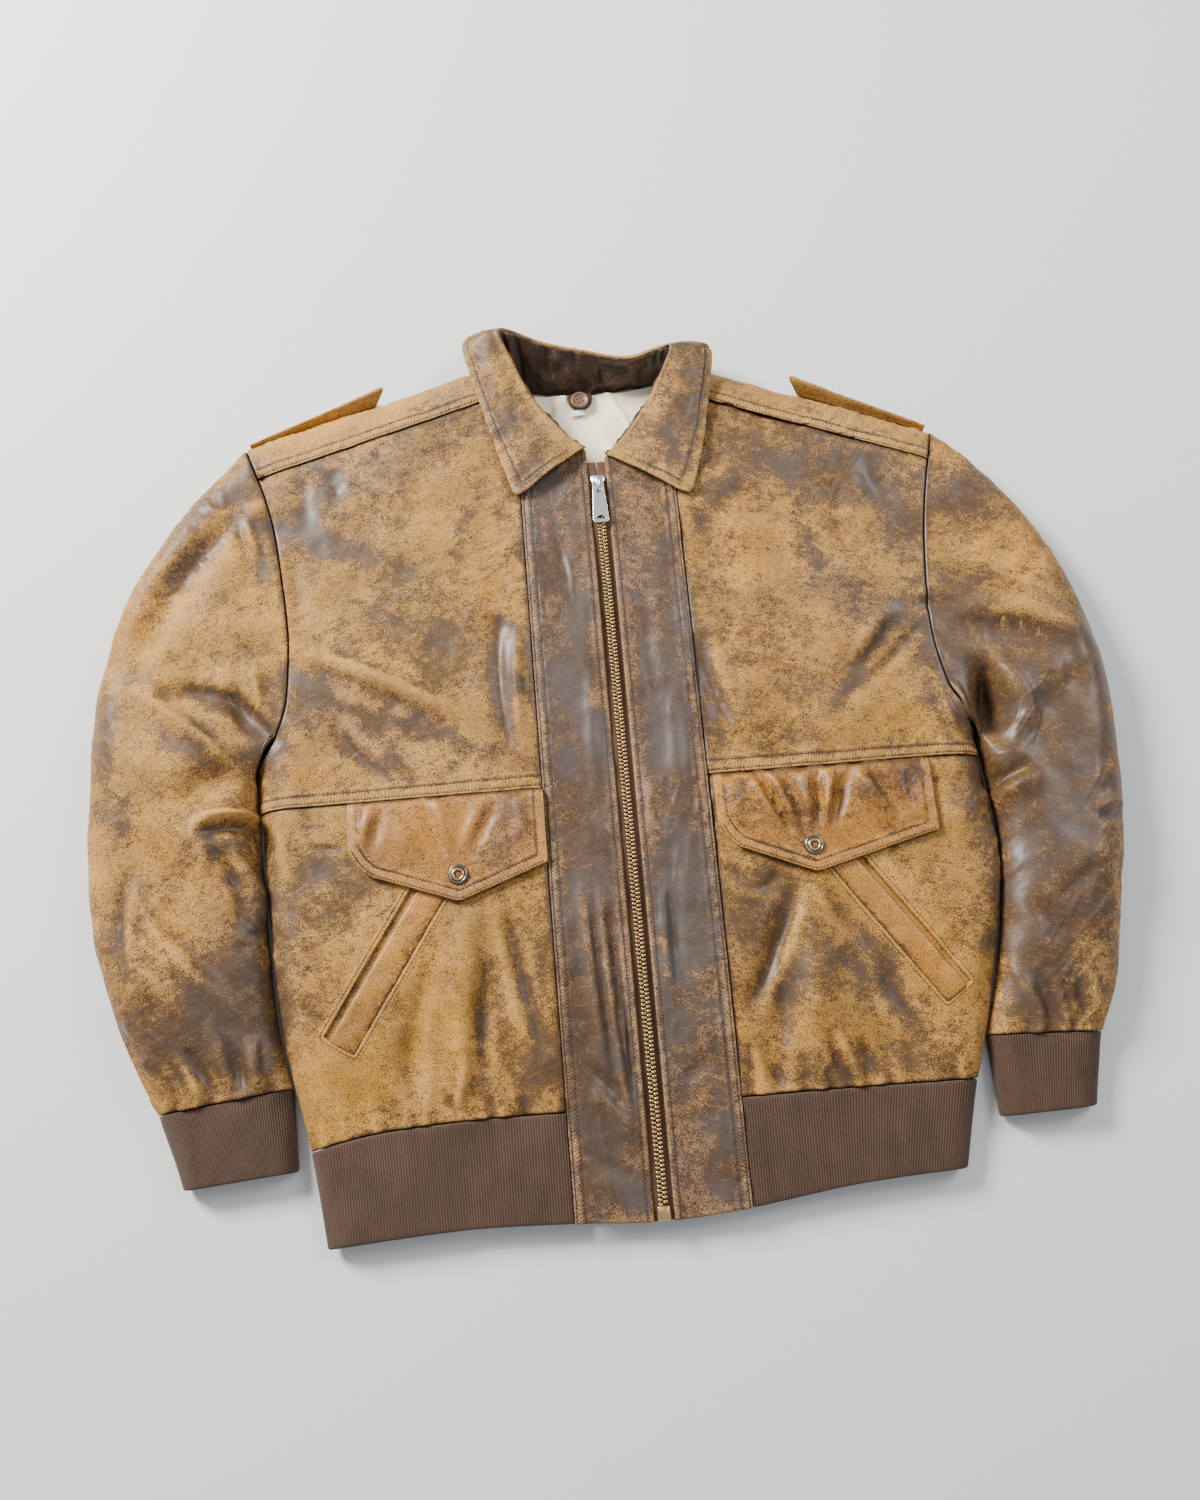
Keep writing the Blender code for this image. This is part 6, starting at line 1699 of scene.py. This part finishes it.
# ---- shoulder straps
strapForm = {
    "behind": (0.000, 0.006, 0.012, 0.017, 0.020),
    "low": (0.010, 0.016, 0.016, 0.011, 0.003),
    "high": (0.011, 0.023, 0.027, 0.018, 0.003),
    "start": 0.004,
    "length": 0.134,
    "point": 0.014,
    "clear": 0.0010,
    "sewn": 0.30,
    "free": 0.75,
    "cell": 0.0015,
}


def strap(side, sign):
    form, s = strapForm, shoulder[side]
    tip = np.array((s["tipX"], s["tipY"]))
    along = unit(np.array((s["neckX"], s["neckY"])) - tip)
    behind = np.array((along[1], -along[0]))
    dense = np.linspace(0, form["behind"][-1], 200)
    section = np.stack((dense, curve(form["behind"], form["high"], dense)), -1)
    stitched = (*plainStops, seams["first"])
    across, columnAt = evenly(dense, section, form["cell"], stitched, stitched)
    rowAt = stops(form["length"], grids["cell"], plainStops, stitched)
    share = rowAt[:, None] / form["length"]
    end = form["length"] - form["point"] * np.abs(2 * across[None] / dense[-1] - 1) ** 1.5
    shown = form["clear"] + across[None] * (form["sewn"] + (form["free"] - form["sewn"]) * share)
    plan = tip + along * (form["start"] + end * share)[..., None] + behind * shown[..., None]
    low, high = curve(form["behind"], form["low"], across), curve(form["behind"], form["high"], across)
    z = low[None] + (high - low)[None] * share
    p = Panel(joined(sign * plan[..., 0], plan[..., 1], z), rowAt, columnAt)
    d = np.minimum(np.minimum(p.fromInner, p.fromOuter), p.fromEnd)
    p.field += band(d, ("first",)) * 0.8
    p.field += 0.0004 * ripple(p.fromStart / 0.018, p.fromInner / 0.02, 131)
    p.rub += 0.7 * (1 - ease(0.0005, 0.005, d))
    p.paintedShade += stitchRowShade(d, ("first",))
    p.sew("epaulette", "_" + side, "strap", "tan", walls["leather"], ["ground"])
    for edge in (p.fromInner[0], p.fromOuter[0]):
        p.stitch(nearest(edge, seams["first"]), True)


# ---- pockets
flapForm = {
    "share": (0.00, 0.03, 0.10, 0.30, 0.52, 0.76, 1.00),
    "bottom": (-0.006, -0.020, -0.032, -0.0445, -0.0585, -0.045, -0.0315),
    "right": (-0.2345, -0.0695),
    "left": (0.0735, 0.2570),
    "rise": 0.0046,
    "snapAt": (0.52, -0.036),
    "point": {"right": 0.546, "left": 0.424},
    "creaseGain": {"right": 1.6, "left": 2.1},
    "cell": 0.0014 * 1,
    "top": bodyForm["chestSeam"] - gaps["seam"],
    "tall": 0.075,
}
flapCreases = {
    "right": (
        (-213, 30, -223, -12, 5, 2, 1, 0.2), (-204, 28, -214, -12, 5, -1.6, 1, 0),
        (-173, 32, -152, -22, 6, -1.8, 1, 0), (-160, 30, -147, -18, 5, 1.8, 1, 0.2),
        (-106, 30, -134, -24, 6, -1.8, 1, 0), (-118, 28, -140, -20, 5.5, 1.4, 1, 0),
        (-190, 20, -186, -26, 9, 1, 0, 0), (-88, 30, -92, -20, 7, 1.4, 0, 0),
    ),
    "left": (
        (104, 32, 132, -30, 5, 2.8, 2, 0.3), (112, 32, 138, -28, 4.2, -2.6, 1, 0),
        (122, 33, 143, -28, 4.5, 2.8, 1, 0.2), (133, 33, 148, -26, 4.5, -2.6, 1, 0),
        (150, 33, 153, -24, 5, 2.2, 1, 0.2), (163, 33, 157, -26, 4.5, -2.6, 1, 0),
        (176, 33, 162, -26, 5, 3, 1, 0.3), (190, 30, 170, -24, 5, -2.2, 1, 0),
        (194, 33, 222, -22, 6, 3, 2, 0.2), (206, 33, 232, -18, 5, -2.6, 2, 0),
        (90, 30, 92, -18, 6, 1.6, 1, 0), (238, 30, 242, -18, 4, -1.4, 1, 0),
    ),
}


def flapLow(side, share):
    # The flap's lower outline, with its corners and point rounded by averaging over a short window.
    # The table's point is moved to this flap's own.
    share = np.interp(share, (0, flapForm["point"][side], 1), (0, flapForm["snapAt"][0], 1))
    nearby = (np.clip(share + spread, 0, 1) for spread in np.linspace(-0.022, 0.022, 9))
    return np.mean([np.interp(at, flapForm["share"], flapForm["bottom"]) for at in nearby], 0)


def flapOutline(side):
    (start, end), high = flapForm[side], flapForm["top"]
    share = np.concatenate(([0, 0.0005], np.linspace(0.004, 0.996, 300), [0.9995, 1]))
    line = np.stack((start + (end - start) * share, flapLow(side, share)), -1)
    return np.concatenate(([[start, high]], line, [[end, high]]))


def distanceToLine(x, y, line):
    # The shortest distance from each point to any stretch of the line.
    nearestSoFar = np.full(x.shape, 1.0)
    for (ax, ay), (bx, by) in zip(line[:-1], line[1:]):
        dx, dy = bx - ax, by - ay
        along = np.clip(((x - ax) * dx + (y - ay) * dy) / max(dx * dx + dy * dy, 1e-12), 0, 1)
        nearestSoFar = np.minimum(nearestSoFar, np.hypot(x - ax - along * dx, y - ay - along * dy))
    return nearestSoFar


def flapSurface(side, x, y):
    folds = flapForm["creaseGain"][side] * creases(flapCreases[side], x, y)
    return bodyTop(x, y) + flapForm["rise"] + folds + 0.5 * unevenness(x, y)


def flap(side, sign):
    form, (start, end), high = flapForm, flapForm[side], flapForm["top"]
    wide, edge = end - start, (0.0005, 0.0012)
    columnAt = stops(wide, form["cell"], edge, edge)
    rows = stops(1.0, form["cell"] / form["tall"], (0.006, 0.014, 0.030))[:, None]
    x = start + columnAt[None] + 0 * rows
    low = flapLow(side, columnAt / wide)[None]
    y = low + (high - low) * rows
    p = Panel(joined(x, y, flapSurface(side, x, y)), rows[:, 0] * form["tall"], columnAt)
    outline = flapOutline(side)
    d = distanceToLine(x, y, np.concatenate((outline[:3], outline[::4][1:-1], outline[-3:])))
    p.field += band(d) + puckers(d, x + y, 141 + sign)
    p.field -= 0.0040 * np.exp(-(high - y) / 0.0040)
    p.rub += 0.85 * (1 - ease(0.0006, 0.0100, d))
    snapX, snapY = start + wide * form["point"][side], form["snapAt"][1]
    p.field -= 0.0010 * bell(np.hypot(x - snapX, y - snapY), 0.012)
    p.pleated(pleatMask(d), x + 0.6 * y)
    p.paintedShade += stitchRowShade(d) + ditchShade(high - y)
    under = ["front_lower_shell_" + side]
    p.sew("flap", "_" + side, "flap" + side.title(), "flap", walls["flap"], under)
    for row in doubleRows:
        runAlong(side, outline, seams[row])
    snap(side, snapX, snapY)


def runAlong(side, outline, inset):
    # A stitch row set in from the flap's outline.
    across = unit(np.gradient(outline, axis=0))
    line = (outline + np.stack((-across[:, 1], across[:, 0]), -1) * inset)[5:-5]
    clear = distanceToLine(*line.T, outline) > inset * 0.96
    line = line[clear & (line[:, 1] < flapForm["top"] - 0.004)]
    z = flapSurface(side, *line.T) + seams["rise"] - 0.3 * seams["grooveDepth"]
    stitchRuns.append((np.column_stack((line, z)), np.tile((0.0, 0.0, 1.0), (len(line), 1))))


def windowLoop(half, wide, out):
    # The window's outline with rounded corners, moved outwards.
    corner, points = 0.0015, []
    for k, (cx, cy) in enumerate(((half, wide), (-half, wide), (-half, -wide), (half, -wide))):
        turn = np.linspace(0, math.pi / 2, 5) + k * math.pi / 2
        centre = (cx - math.copysign(corner, cx), cy - math.copysign(corner, cy))
        points.append(centre + (corner + out) * np.stack((np.cos(turn), np.sin(turn)), -1))
    return np.concatenate(points + [points[0][:1]])


def pocketFrame(side, sign):
    # The panel's edge turned in round the window: a low lip with one row of stitches.
    w = windows[side]
    half, wide = w["length"] / 2, w["width"] / 2
    row = 6  # the stitches, among these distances out from the window
    d = (-1.2, -0.9, -0.3, 0.4, 1.2, 2.0, 2.6, 3.2, 4.2, 5.2, 6.0, 6.6)
    d = millimetre * np.array(d)[:, None]
    profile = 0.0003 - 0.0027 * (1 - quarter((d + 0.0012) / 0.0022)) - 0.0005 * bell(d - d[row], 0.0006)
    profile -= 0.0016 * ease(0.0046, 0.0066, d)
    run = lengths(windowLoop(half, wide, 0.0015))
    keys = np.linspace(0, 1, len(run))
    count = int(2 * (w["length"] + w["width"]) / grids["cell"])
    share = np.interp(np.linspace(0, 1, count + 1)[:-1], run / run[-1], keys)
    rings = np.array([between(share, keys, windowLoop(half, wide, out)) for out in d[:, 0]])
    x, y = inWindow(side, sign, rings[..., 0], rings[..., 1])
    along = np.linspace(0, 0.38, count)
    uneven = 0.0002 * ripple(along[None] / 0.006, d / 0.006, 151) * (d > 0)
    grid = joined(x, y, panelSurface(side, x, y) + profile + uneven)
    rub = 0.5 * (1 - ease(0.0004, 0.0050, d)) + 0 * x
    # Painted shade in the stitch row and where the lip turns down into the window.
    paintedShade = 0.45 * bell(d - d[row], 0.0009) + 0.8 * ease(0.0004, -0.0010, d)
    layers = {"tone": toneAt(x, y, "welt", None, rub, paintedShade), "cut": flatUv(d[:, 0], along)}
    obj, normals = shell("pocket_frame_" + side, grid, 0.0007, ring=True, step=1, **layers)
    settle(obj, "front_lower_" + side, "tan")
    stitchRuns.append(tuple(np.concatenate((part[row], part[row][:1])) for part in (grid, normals)))


def windowGrid(side, sign, along, across, lift, cell):
    a, b = (stops(high - low, cell, plainStops, plainStops) for low, high in (along, across))
    x, y = inWindow(side, sign, along[0] + a[:, None], across[0] + b[None])
    return Panel(joined(x, y, bodyTop(x, y) + 0.6 * relief(x, y) + lift), a, b)


def welt(side, sign):
    # The leather strip that fills the window, and the facing behind it.
    half, wide, gap = windows[side]["length"] / 2, windows[side]["width"] / 2, 2 * gaps["seam"]
    across = (-wide + gap, wide - 0.0060)
    p = windowGrid(side, sign, (-half + gap, half - gap), across, 0.0004, 0.0016)
    p.field += trimmed(p.fromOuter, 0.0016, 0.0030) + 0.0006 * np.exp(-p.fromOuter / 0.006)
    p.field += 0.0004 * ripple(p.fromStart / 0.012, p.fromInner / 0.02, 153)
    p.field -= 0.0009 * np.exp(-p.fromInner / 0.0015)
    p.field += 0.0008 * ripple(p.fromStart / 0.016 + p.fromInner / 0.02, p.fromInner / 0.012, 154)
    p.rub += 0.5 * np.exp(-p.fromOuter / 0.0030)
    # Painted shade along the slit and at the window's ends.
    p.paintedShade += ditchShade(p.fromInner) + ditchShade(p.fromStart) + ditchShade(p.fromEnd)
    under = ["pocket_facing_shell_" + side]
    p.sew("welt", "_" + side, "welt", "flap", walls["leather"], under)
    reach = 0.009
    spread = ((-half - reach, half + reach), (-wide - reach, wide + reach))
    p = windowGrid(side, sign, *spread, -0.0024, 0.0040)
    base = {"right": "panel", "left": "flapLeft"}[side]
    p.sew("pocket_facing", "_" + side, base, "flap", walls["facing"], ["back_shell"], step=2)


def lathe(profile, place, steps=32):
    # A turned piece about Z, with its profile from the top of the axis to its foot.
    turn = np.linspace(0, 2 * math.pi, steps, endpoint=False)
    r, z = np.array(profile[1:-1]).T[..., None]
    rings = joined(r * np.cos(turn), r * np.sin(turn), z)
    ends = [[(0, 0, profile[k][1])] for k in (0, -1)]
    points = np.concatenate((ends[0], rings.reshape(-1, 3), ends[1])) + place
    index = 1 + np.arange(rings[..., 0].size).reshape(-1, steps)
    index = np.column_stack((index, index[:, 0]))
    faces = quads(index)[:, ::-1].tolist()
    first, last = index[0].tolist(), index[-1].tolist()
    faces += [[0, a, b] for a, b in zip(first, first[1:])]
    faces += [[a, len(points) - 1, b] for a, b in zip(last, last[1:])]
    return points, faces


def snap(side, x, y):
    # A press stud's cap: a dark outer ring, a brass inner ring, and a sunk middle.
    z = float(flapSurface(side, np.array([x]), np.array([y]))[0]) - 0.0006
    rings = {
        "outer": ("gunmetal", (
            (0, 0.0004), (0.0058, 0.0004), (0.0058, 0.0018), (0.0063, 0.0024), (0.0070, 0.0026),
            (0.0078, 0.0022), (0.0083, 0.0012), (0.0085, 0.0), (0, 0.0),
        )),
        "inner": ("brass", (
            (0, 0.0010), (0.0030, 0.0010), (0.0032, 0.0024), (0.0037, 0.0032), (0.0044, 0.0034),
            (0.0051, 0.0030), (0.0056, 0.0020), (0.0058, 0.0006), (0, 0.0005),
        )),
        "middle": ("button", (
            (0, 0.0016), (0.0018, 0.0016), (0.0024, 0.0012), (0.0030, 0.0011),
            (0.0030, 0.0006), (0, 0.0006),
        )),
    }
    for label, (finish, profile) in rings.items():
        obj = meshObject("snap_" + label + "_" + side, *lathe(profile, (x, y, z)))
        settle(obj, "snap_" + side, finish)


# ---- zip
zipForm = {
    "sliderY": 0.3100,
    "chainHeight": 0.0030,
    "boxLength": 0.011,
    "pitch": 0.0034,
    "toothTurn": 0.16,
    "foot": 0.001,
    "tapeTop": 0.333,
    "sliderSeat": 0.0004,
}


def zipLevel(y):
    # The tapes' upper side, under the plackets.
    return bodyTop(0.0001 + 0 * y, y) - walls["leather"] - gaps["seam"]


def zipFoot():
    return float(hemBottom(0.0)) + zipForm["foot"]


def sliderPlace():
    y = zipForm["sliderY"]
    return np.array((0, y, float(zipLevel(y)) + zipForm["sliderSeat"]))


def zipTape(side, sign):
    low = zipFoot()
    y = low + stops(zipForm["tapeTop"] - low, 0.004)[:, None]
    x = np.array((0.0006, 0.0025, 0.0045, 0.0065, 0.0085, 0.012, 0.0165))[None]
    grid = joined(sign * x, y, bodyTop(sign * x, y) - walls["leather"] - gaps["seam"])
    cut = flatUv(y[:, 0] - low, x[0])
    obj, _ = shell("zip_tape_shell_" + side, grid, walls["tape"], step=1, cut=cut)
    settle(obj, "zip_tape_" + side, "tape", on=["placket_shell_" + side])


def copies(points, faces, places, turns):
    # One mesh from many copies of a small shape, each turned by its own three axes.
    everyPoint = places[:, None] + np.einsum("pk,nkj->npj", points, turns)
    starts = len(points) * np.arange(len(places))[:, None]
    everyFace = []
    for face in faces:
        everyFace += (starts + face).tolist()
    return everyPoint.reshape(-1, 3), everyFace


def stacked(levels):
    # A closed block from outlines of equal length, each at its own height.
    points = [(x, y, z) for outline, z in levels for x, y in outline]
    return np.array(points), capped(len(levels), len(levels[0][0]))


def bevelBox(size, bevel):
    # A box with cut corners and edges.
    x, y, z = (v / 2 for v in size)
    ring = []
    for cx, cy, way in ((x, y, 1), (-x, y, -1), (-x, -y, 1), (x, -y, -1)):
        cut = [(cx, cy - math.copysign(bevel, cy)), (cx - math.copysign(bevel, cx), cy)]
        ring += cut[::way]
    shrunk = [(px - math.copysign(bevel, px), py - math.copysign(bevel, py)) for px, py in ring]
    return stacked(((shrunk, -z), (ring, bevel - z), (ring, z - bevel), (shrunk, z)))


def zipTeeth():
    # Two columns of teeth that meet in the middle, half a step apart and tipped towards each other.
    pitch, tall = zipForm["pitch"], zipForm["chainHeight"]
    low = zipFoot() + zipForm["boxLength"] + gaps["seam"]
    high = zipForm["sliderY"] - 0.0085
    places, turns = [], []
    for sign, shift in ((-1, 0.0), (1, 0.5)):
        y = np.arange(low + pitch * (0.3 + shift), high, pitch)
        x = sign * 0.0019 + 0.00006 * ripple(y / 0.004, 0.5, 161)
        z = zipLevel(y) + gaps["seam"] + tall / 2 + 0.0003
        places.append(np.stack((x, y, z), -1))
        c, s = math.cos(zipForm["toothTurn"]), sign * math.sin(zipForm["toothTurn"])
        turns.append(np.tile(((c, s, 0), (-s, c, 0), (0, 0, 1)), (len(y), 1, 1)))
    tooth = bevelBox((0.0037, 0.0021, tall), 0.0005)
    obj = meshObject("zip_teeth", *copies(*tooth, np.concatenate(places), np.concatenate(turns)))
    settle(obj, "zip_chain", "brass")


def zipBox():
    # A cast block at the zip's foot, with a raised bar.
    long = zipForm["boxLength"]
    y = zipFoot() + long / 2
    z = float(zipLevel(y))
    block, blockFaces = bevelBox((0.010, long, 0.0042), 0.0007)
    bar, barFaces = bevelBox((0.0050, long * 0.55, 0.0010), 0.0003)
    parts = ((block + (0, y, z + 0.0026), blockFaces), (bar + (0, y + 0.0005, z + 0.0049), barFaces))
    settle(meshObject("zip_box_cast", *together(parts)), "zip_box", "brass")


def prism(outline, low, high, bevel):
    # An upright block on an outline, with its top and bottom edges cut back.
    centre = outline.mean(0)
    reach = np.linalg.norm(outline - centre, axis=1, keepdims=True)
    inner = centre + (outline - centre) * (1 - bevel / reach)
    return stacked(((inner, low), (outline, low + bevel), (outline, high - bevel), (inner, high)))


def sweep(line, section, sideways):
    # A bar: a closed section carried along a line of points, always upright to it.
    side = np.tile(sideways, (len(line), 1)).astype(float)
    up = unit(np.cross(side, unit(np.gradient(line, axis=0))))
    across, rise = np.array(section).T[:, None, :, None]
    points = line[:, None] + across * side[:, None] + rise * up[:, None]
    return points.reshape(-1, 3), capped(len(line), len(section))


def together(parts):
    points, faces, start = [], [], 0
    for some, these in parts:
        points.append(some)
        faces += [[v + start for v in face] for face in these]
        start += len(some)
    return np.concatenate(points), faces


def slider():
    # A waisted body with a bridge over it.
    half = np.array((-0.0080, -0.0066, -0.0030, 0.0000, 0.0025, 0.0050, 0.0072, 0.0080))
    wide = np.array((0.0036, 0.0044, 0.0044, 0.0048, 0.0062, 0.0065, 0.0062, 0.0048))
    outline = np.concatenate((np.stack((wide, half), -1), np.stack((-wide, half), -1)[::-1]))
    angle = np.linspace(0, math.pi, 15)
    over = 0.0072 * np.cos(angle) * (1 - 0.10 * np.sin(angle))
    line = joined(0, over, 0.0030 + 0.0048 * np.sin(angle) ** 0.6)
    section = (
        (0.0014, -0.0004), (0.0017, 0), (0.0013, 0.0005), (0, 0.0007),
        (-0.0013, 0.0005), (-0.0017, 0), (-0.0014, -0.0004),
    )
    points, faces = together((prism(outline, 0, 0.0036, 0.0005), sweep(line, section, (1, 0, 0))))
    obj = repaired(meshObject("zip_slider_cast", points + sliderPlace(), faces))
    settle(obj, "zip_slider", "nickel")


pullForm = {
    "aboveSeat": 0.0053,
    "extrude": 0.0005,  # half its thickness, before the bevel
    "bevel": 0.0003,
    "outlines": (
        (  # the tab
            (-0.0038, 0.0010), (0.0038, 0.0010), (0.0047, 0.0002), (0.0051, -0.0100),
            (0.0069, -0.0365), (0.0067, -0.0386), (0.0055, -0.0394), (-0.0055, -0.0394),
            (-0.0067, -0.0386), (-0.0069, -0.0365), (-0.0051, -0.0100), (-0.0047, 0.0002),
        ),
        ((-0.0027, -0.0008), (0.0027, -0.0008), (0.0026, -0.0106), (-0.0026, -0.0106)),  # the slot
        (  # the house-shaped hole
            (-0.0044, -0.0368), (0.0044, -0.0368), (0.0044, -0.0343), (0, -0.0322), (-0.0044, -0.0343),
        ),
    ),
}


def pull():
    # A flat tab with a slot over the bridge and a house-shaped hole at its foot; it rides its own body.
    flat = bpy.data.curves.new("zip_pull_tab", "CURVE")
    flat.dimensions, flat.fill_mode = "2D", "BOTH"
    flat.extrude, flat.bevel_depth, flat.bevel_resolution = pullForm["extrude"], pullForm["bevel"], 1
    for outline in pullForm["outlines"]:
        spline = flat.splines.new("POLY")
        spline.points.add(len(outline) - 1)
        spline.use_cyclic_u = True
        for point, (x, y) in zip(spline.points, outline):
            point.co = (x, y, 0, 1)
    drawn = linked(bpy.data.objects.new("zip_pull_curve", flat))
    mesh = meshOf(drawn)
    bpy.data.objects.remove(drawn)
    place = sliderPlace() + (0, 0, pullForm["aboveSeat"])
    mesh.transform(Matrix.Translation(place.tolist()))
    obj = repaired(linked(bpy.data.objects.new("zip_pull_tab", mesh)), 1e-6)
    settle(obj, "zip_pull", "nickel", body="pull_tab")


# ---- button and tags
neckPlace = np.array((-0.0090, 0.4065, 0.0112))  # the button's foot


def neckTab():
    long, wide = 0.016, 0.012
    share, k = np.linspace(0, 1, 18)[:, None], np.linspace(-1, 1, 22)[None]
    half = wide * np.sqrt(1 - (share * 0.93) ** 3)
    x, y = np.broadcast_arrays(neckPlace[0] + half * k, neckPlace[1] + 0.008 - long * share)
    z = 0.0102 + 0.0004 * ripple(x / 0.006, y / 0.006, 171) + trimmed(1 - np.abs(k), 0.0008, 0.15)
    layers = {"tone": toneAt(x, y, "stand"), "cut": flatUv(share[:, 0] * long, k[0] * wide)}
    obj, _ = shell("neck_tab_shell", joined(x, y, z), walls["tab"], step=1, **layers)
    settle(obj, "neck_tab", "stand", on=["lining_back_shell"])


def neckButton():
    profile = (
        (0, 0.0017), (0.0050, 0.0017), (0.0058, 0.0021), (0.0064, 0.0029), (0.0074, 0.0031),
        (0.0082, 0.0026), (0.0085, 0.0018), (0.0083, 0.0008), (0.0072, 0), (0, 0),
    )
    button = meshObject("neck_button_turned", *lathe(profile, neckPlace, 40))
    settle(button, "neck_button", "button")
    hole = ((0, 0.00005), (0.0010, 0.00005), (0.0012, 0), (0.0010, -0.0002), (0, -0.0002))
    holes = []
    for angle in (np.arange(4) + 0.72) * math.pi / 2:
        out = (0.0027 * math.cos(angle), 0.0027 * math.sin(angle), 0.0017)
        holes.append(lathe(hole, neckPlace + out, 12))
    settle(meshObject("neck_button_holes", *together(holes)), "neck_button", "thread")


def neckTag():
    # A small blank label of tape, arched a little and turned a little.
    place, long, wide, turn = neckPlace + (-0.0027, -0.0114, -0.0024), 0.0065, 0.0030, 0.12
    x, y = np.linspace(-long, long, 14)[None], np.linspace(-wide, wide, 8)[:, None]
    z = 0.0004 + 0.0005 * np.cos(x / long * 2.2)
    grid = joined(x - turn * y, y + turn * x, z) + place
    obj, _ = shell("neck_tag_shell", grid, 0.0005, step=1, cut=flatUv(y[:, 0], x[0]))
    settle(obj, "neck_tag", "label", on=["lining_back_shell"])


# ---- stitches
stitchForm = {"thickness": 0.00085, "halfLength": 0.39, "flattened": 0.75, "lift": 0.00022, "corners": 5}


def capsule(corners):
    # A short thread with domed ends, one unit long and one unit wide.
    profile = ((-0.5, 0.15), (-0.36, 0.42), (0, 0.5), (0.36, 0.42), (0.5, 0.15))
    turn = np.linspace(0, 2 * math.pi, corners, endpoint=False)
    x, r = np.array(profile).T[..., None]
    return joined(x, r * np.cos(turn), r * np.sin(turn)).reshape(-1, 3), capped(len(profile), corners)


def stitches():
    # Each run is walked at an even pitch; every stitch dips into the leather at both ends.
    pitch, form = seams["stitchPitch"], stitchForm
    centres, turns = [], []
    for points, ups in stitchRuns:
        run = lengths(points)
        count = int(run[-1] / pitch)
        if count < 2:
            continue
        at, half = (np.arange(count) + 0.5) * pitch, form["halfLength"] * pitch
        up = unit(between(at, run, ups))
        ahead = between(at + half, run, points) - between(at - half, run, points)
        side = unit(np.cross(up, ahead)) * form["thickness"]
        top = unit(np.cross(ahead, side)) * form["thickness"] * form["flattened"]
        centres.append(between(at, run, points) + up * form["lift"])
        turns.append(np.stack((ahead, side, top), 1))
    centres = np.concatenate(centres)
    everyStitch = copies(*capsule(form["corners"]), centres, np.concatenate(turns))
    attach(dress(meshObject("seam_stitches", *everyStitch), finishes["thread"]), "jacket")
    print("stitches:", len(centres))


collar()
lining()
for side, sign in sides:
    strap(side, sign)
    flap(side, sign)
    pocketFrame(side, sign)
    welt(side, sign)
    zipTape(side, sign)
zipTeeth()
zipBox()
slider()
pull()
neckTab()
neckButton()
neckTag()
stitches()


# ---- ground, light and camera
def ground():
    half, level = 3.0, -0.0003
    corners = ((-half, -half), (half, -half), (half, half), (-half, half))
    floor = meshObject("ground", [(x, y, level) for x, y in corners], [(0, 1, 2, 3)])
    dress(floor, material("paleGround", Base_Color=(0.62, 0.62, 0.61, 1), Roughness=0.9))


def lamp(name, place, aim, size, power, tint):
    light = bpy.data.lights.new(name, "AREA")
    light.shape, light.size, light.energy, light.color = "DISK", size, power, tint
    obj = linked(bpy.data.objects.new(name, light))
    obj.location = place
    obj.rotation_euler = (Vector(place) - Vector(aim)).to_track_quat("Z", "Y").to_euler()


def sky():
    world = bpy.data.worlds.new("softSky")
    bpy.context.scene.world = world
    world.use_nodes = True
    into = world.node_tree.nodes["Background"].inputs
    into["Color"].default_value = (0.90, 0.94, 1.0, 1)
    into["Strength"].default_value = 0.66


def mainCamera():
    view = bpy.data.cameras.new("camera")
    view.lens, view.sensor_width, view.clip_start = 28.87, 36.0, 0.01
    camera = linked(bpy.data.objects.new("camera", view))
    right = Vector((0.9965, -0.0837, 0)).normalized()
    forward = Vector((0.02165, 0.25791, -0.96593)).normalized()
    up = right.cross(forward).normalized()
    turn = Matrix((forward.cross(up), up, -forward)).transposed()
    camera.matrix_world = Matrix.Translation((-0.04105, -0.20282, 1.01905)) @ turn.to_4x4()
    bpy.context.scene.camera = camera


ground()
lamp("key", (-1.70, 1.50, 1.35), (0, 0.05, 0), 0.9, 212, (1.0, 0.985, 0.96))
lamp("fill", (1.5, 0.9, 1.5), (0, 0, 0), 1.0, 32, (0.96, 0.98, 1.0))
sky()
mainCamera()
print("ready")
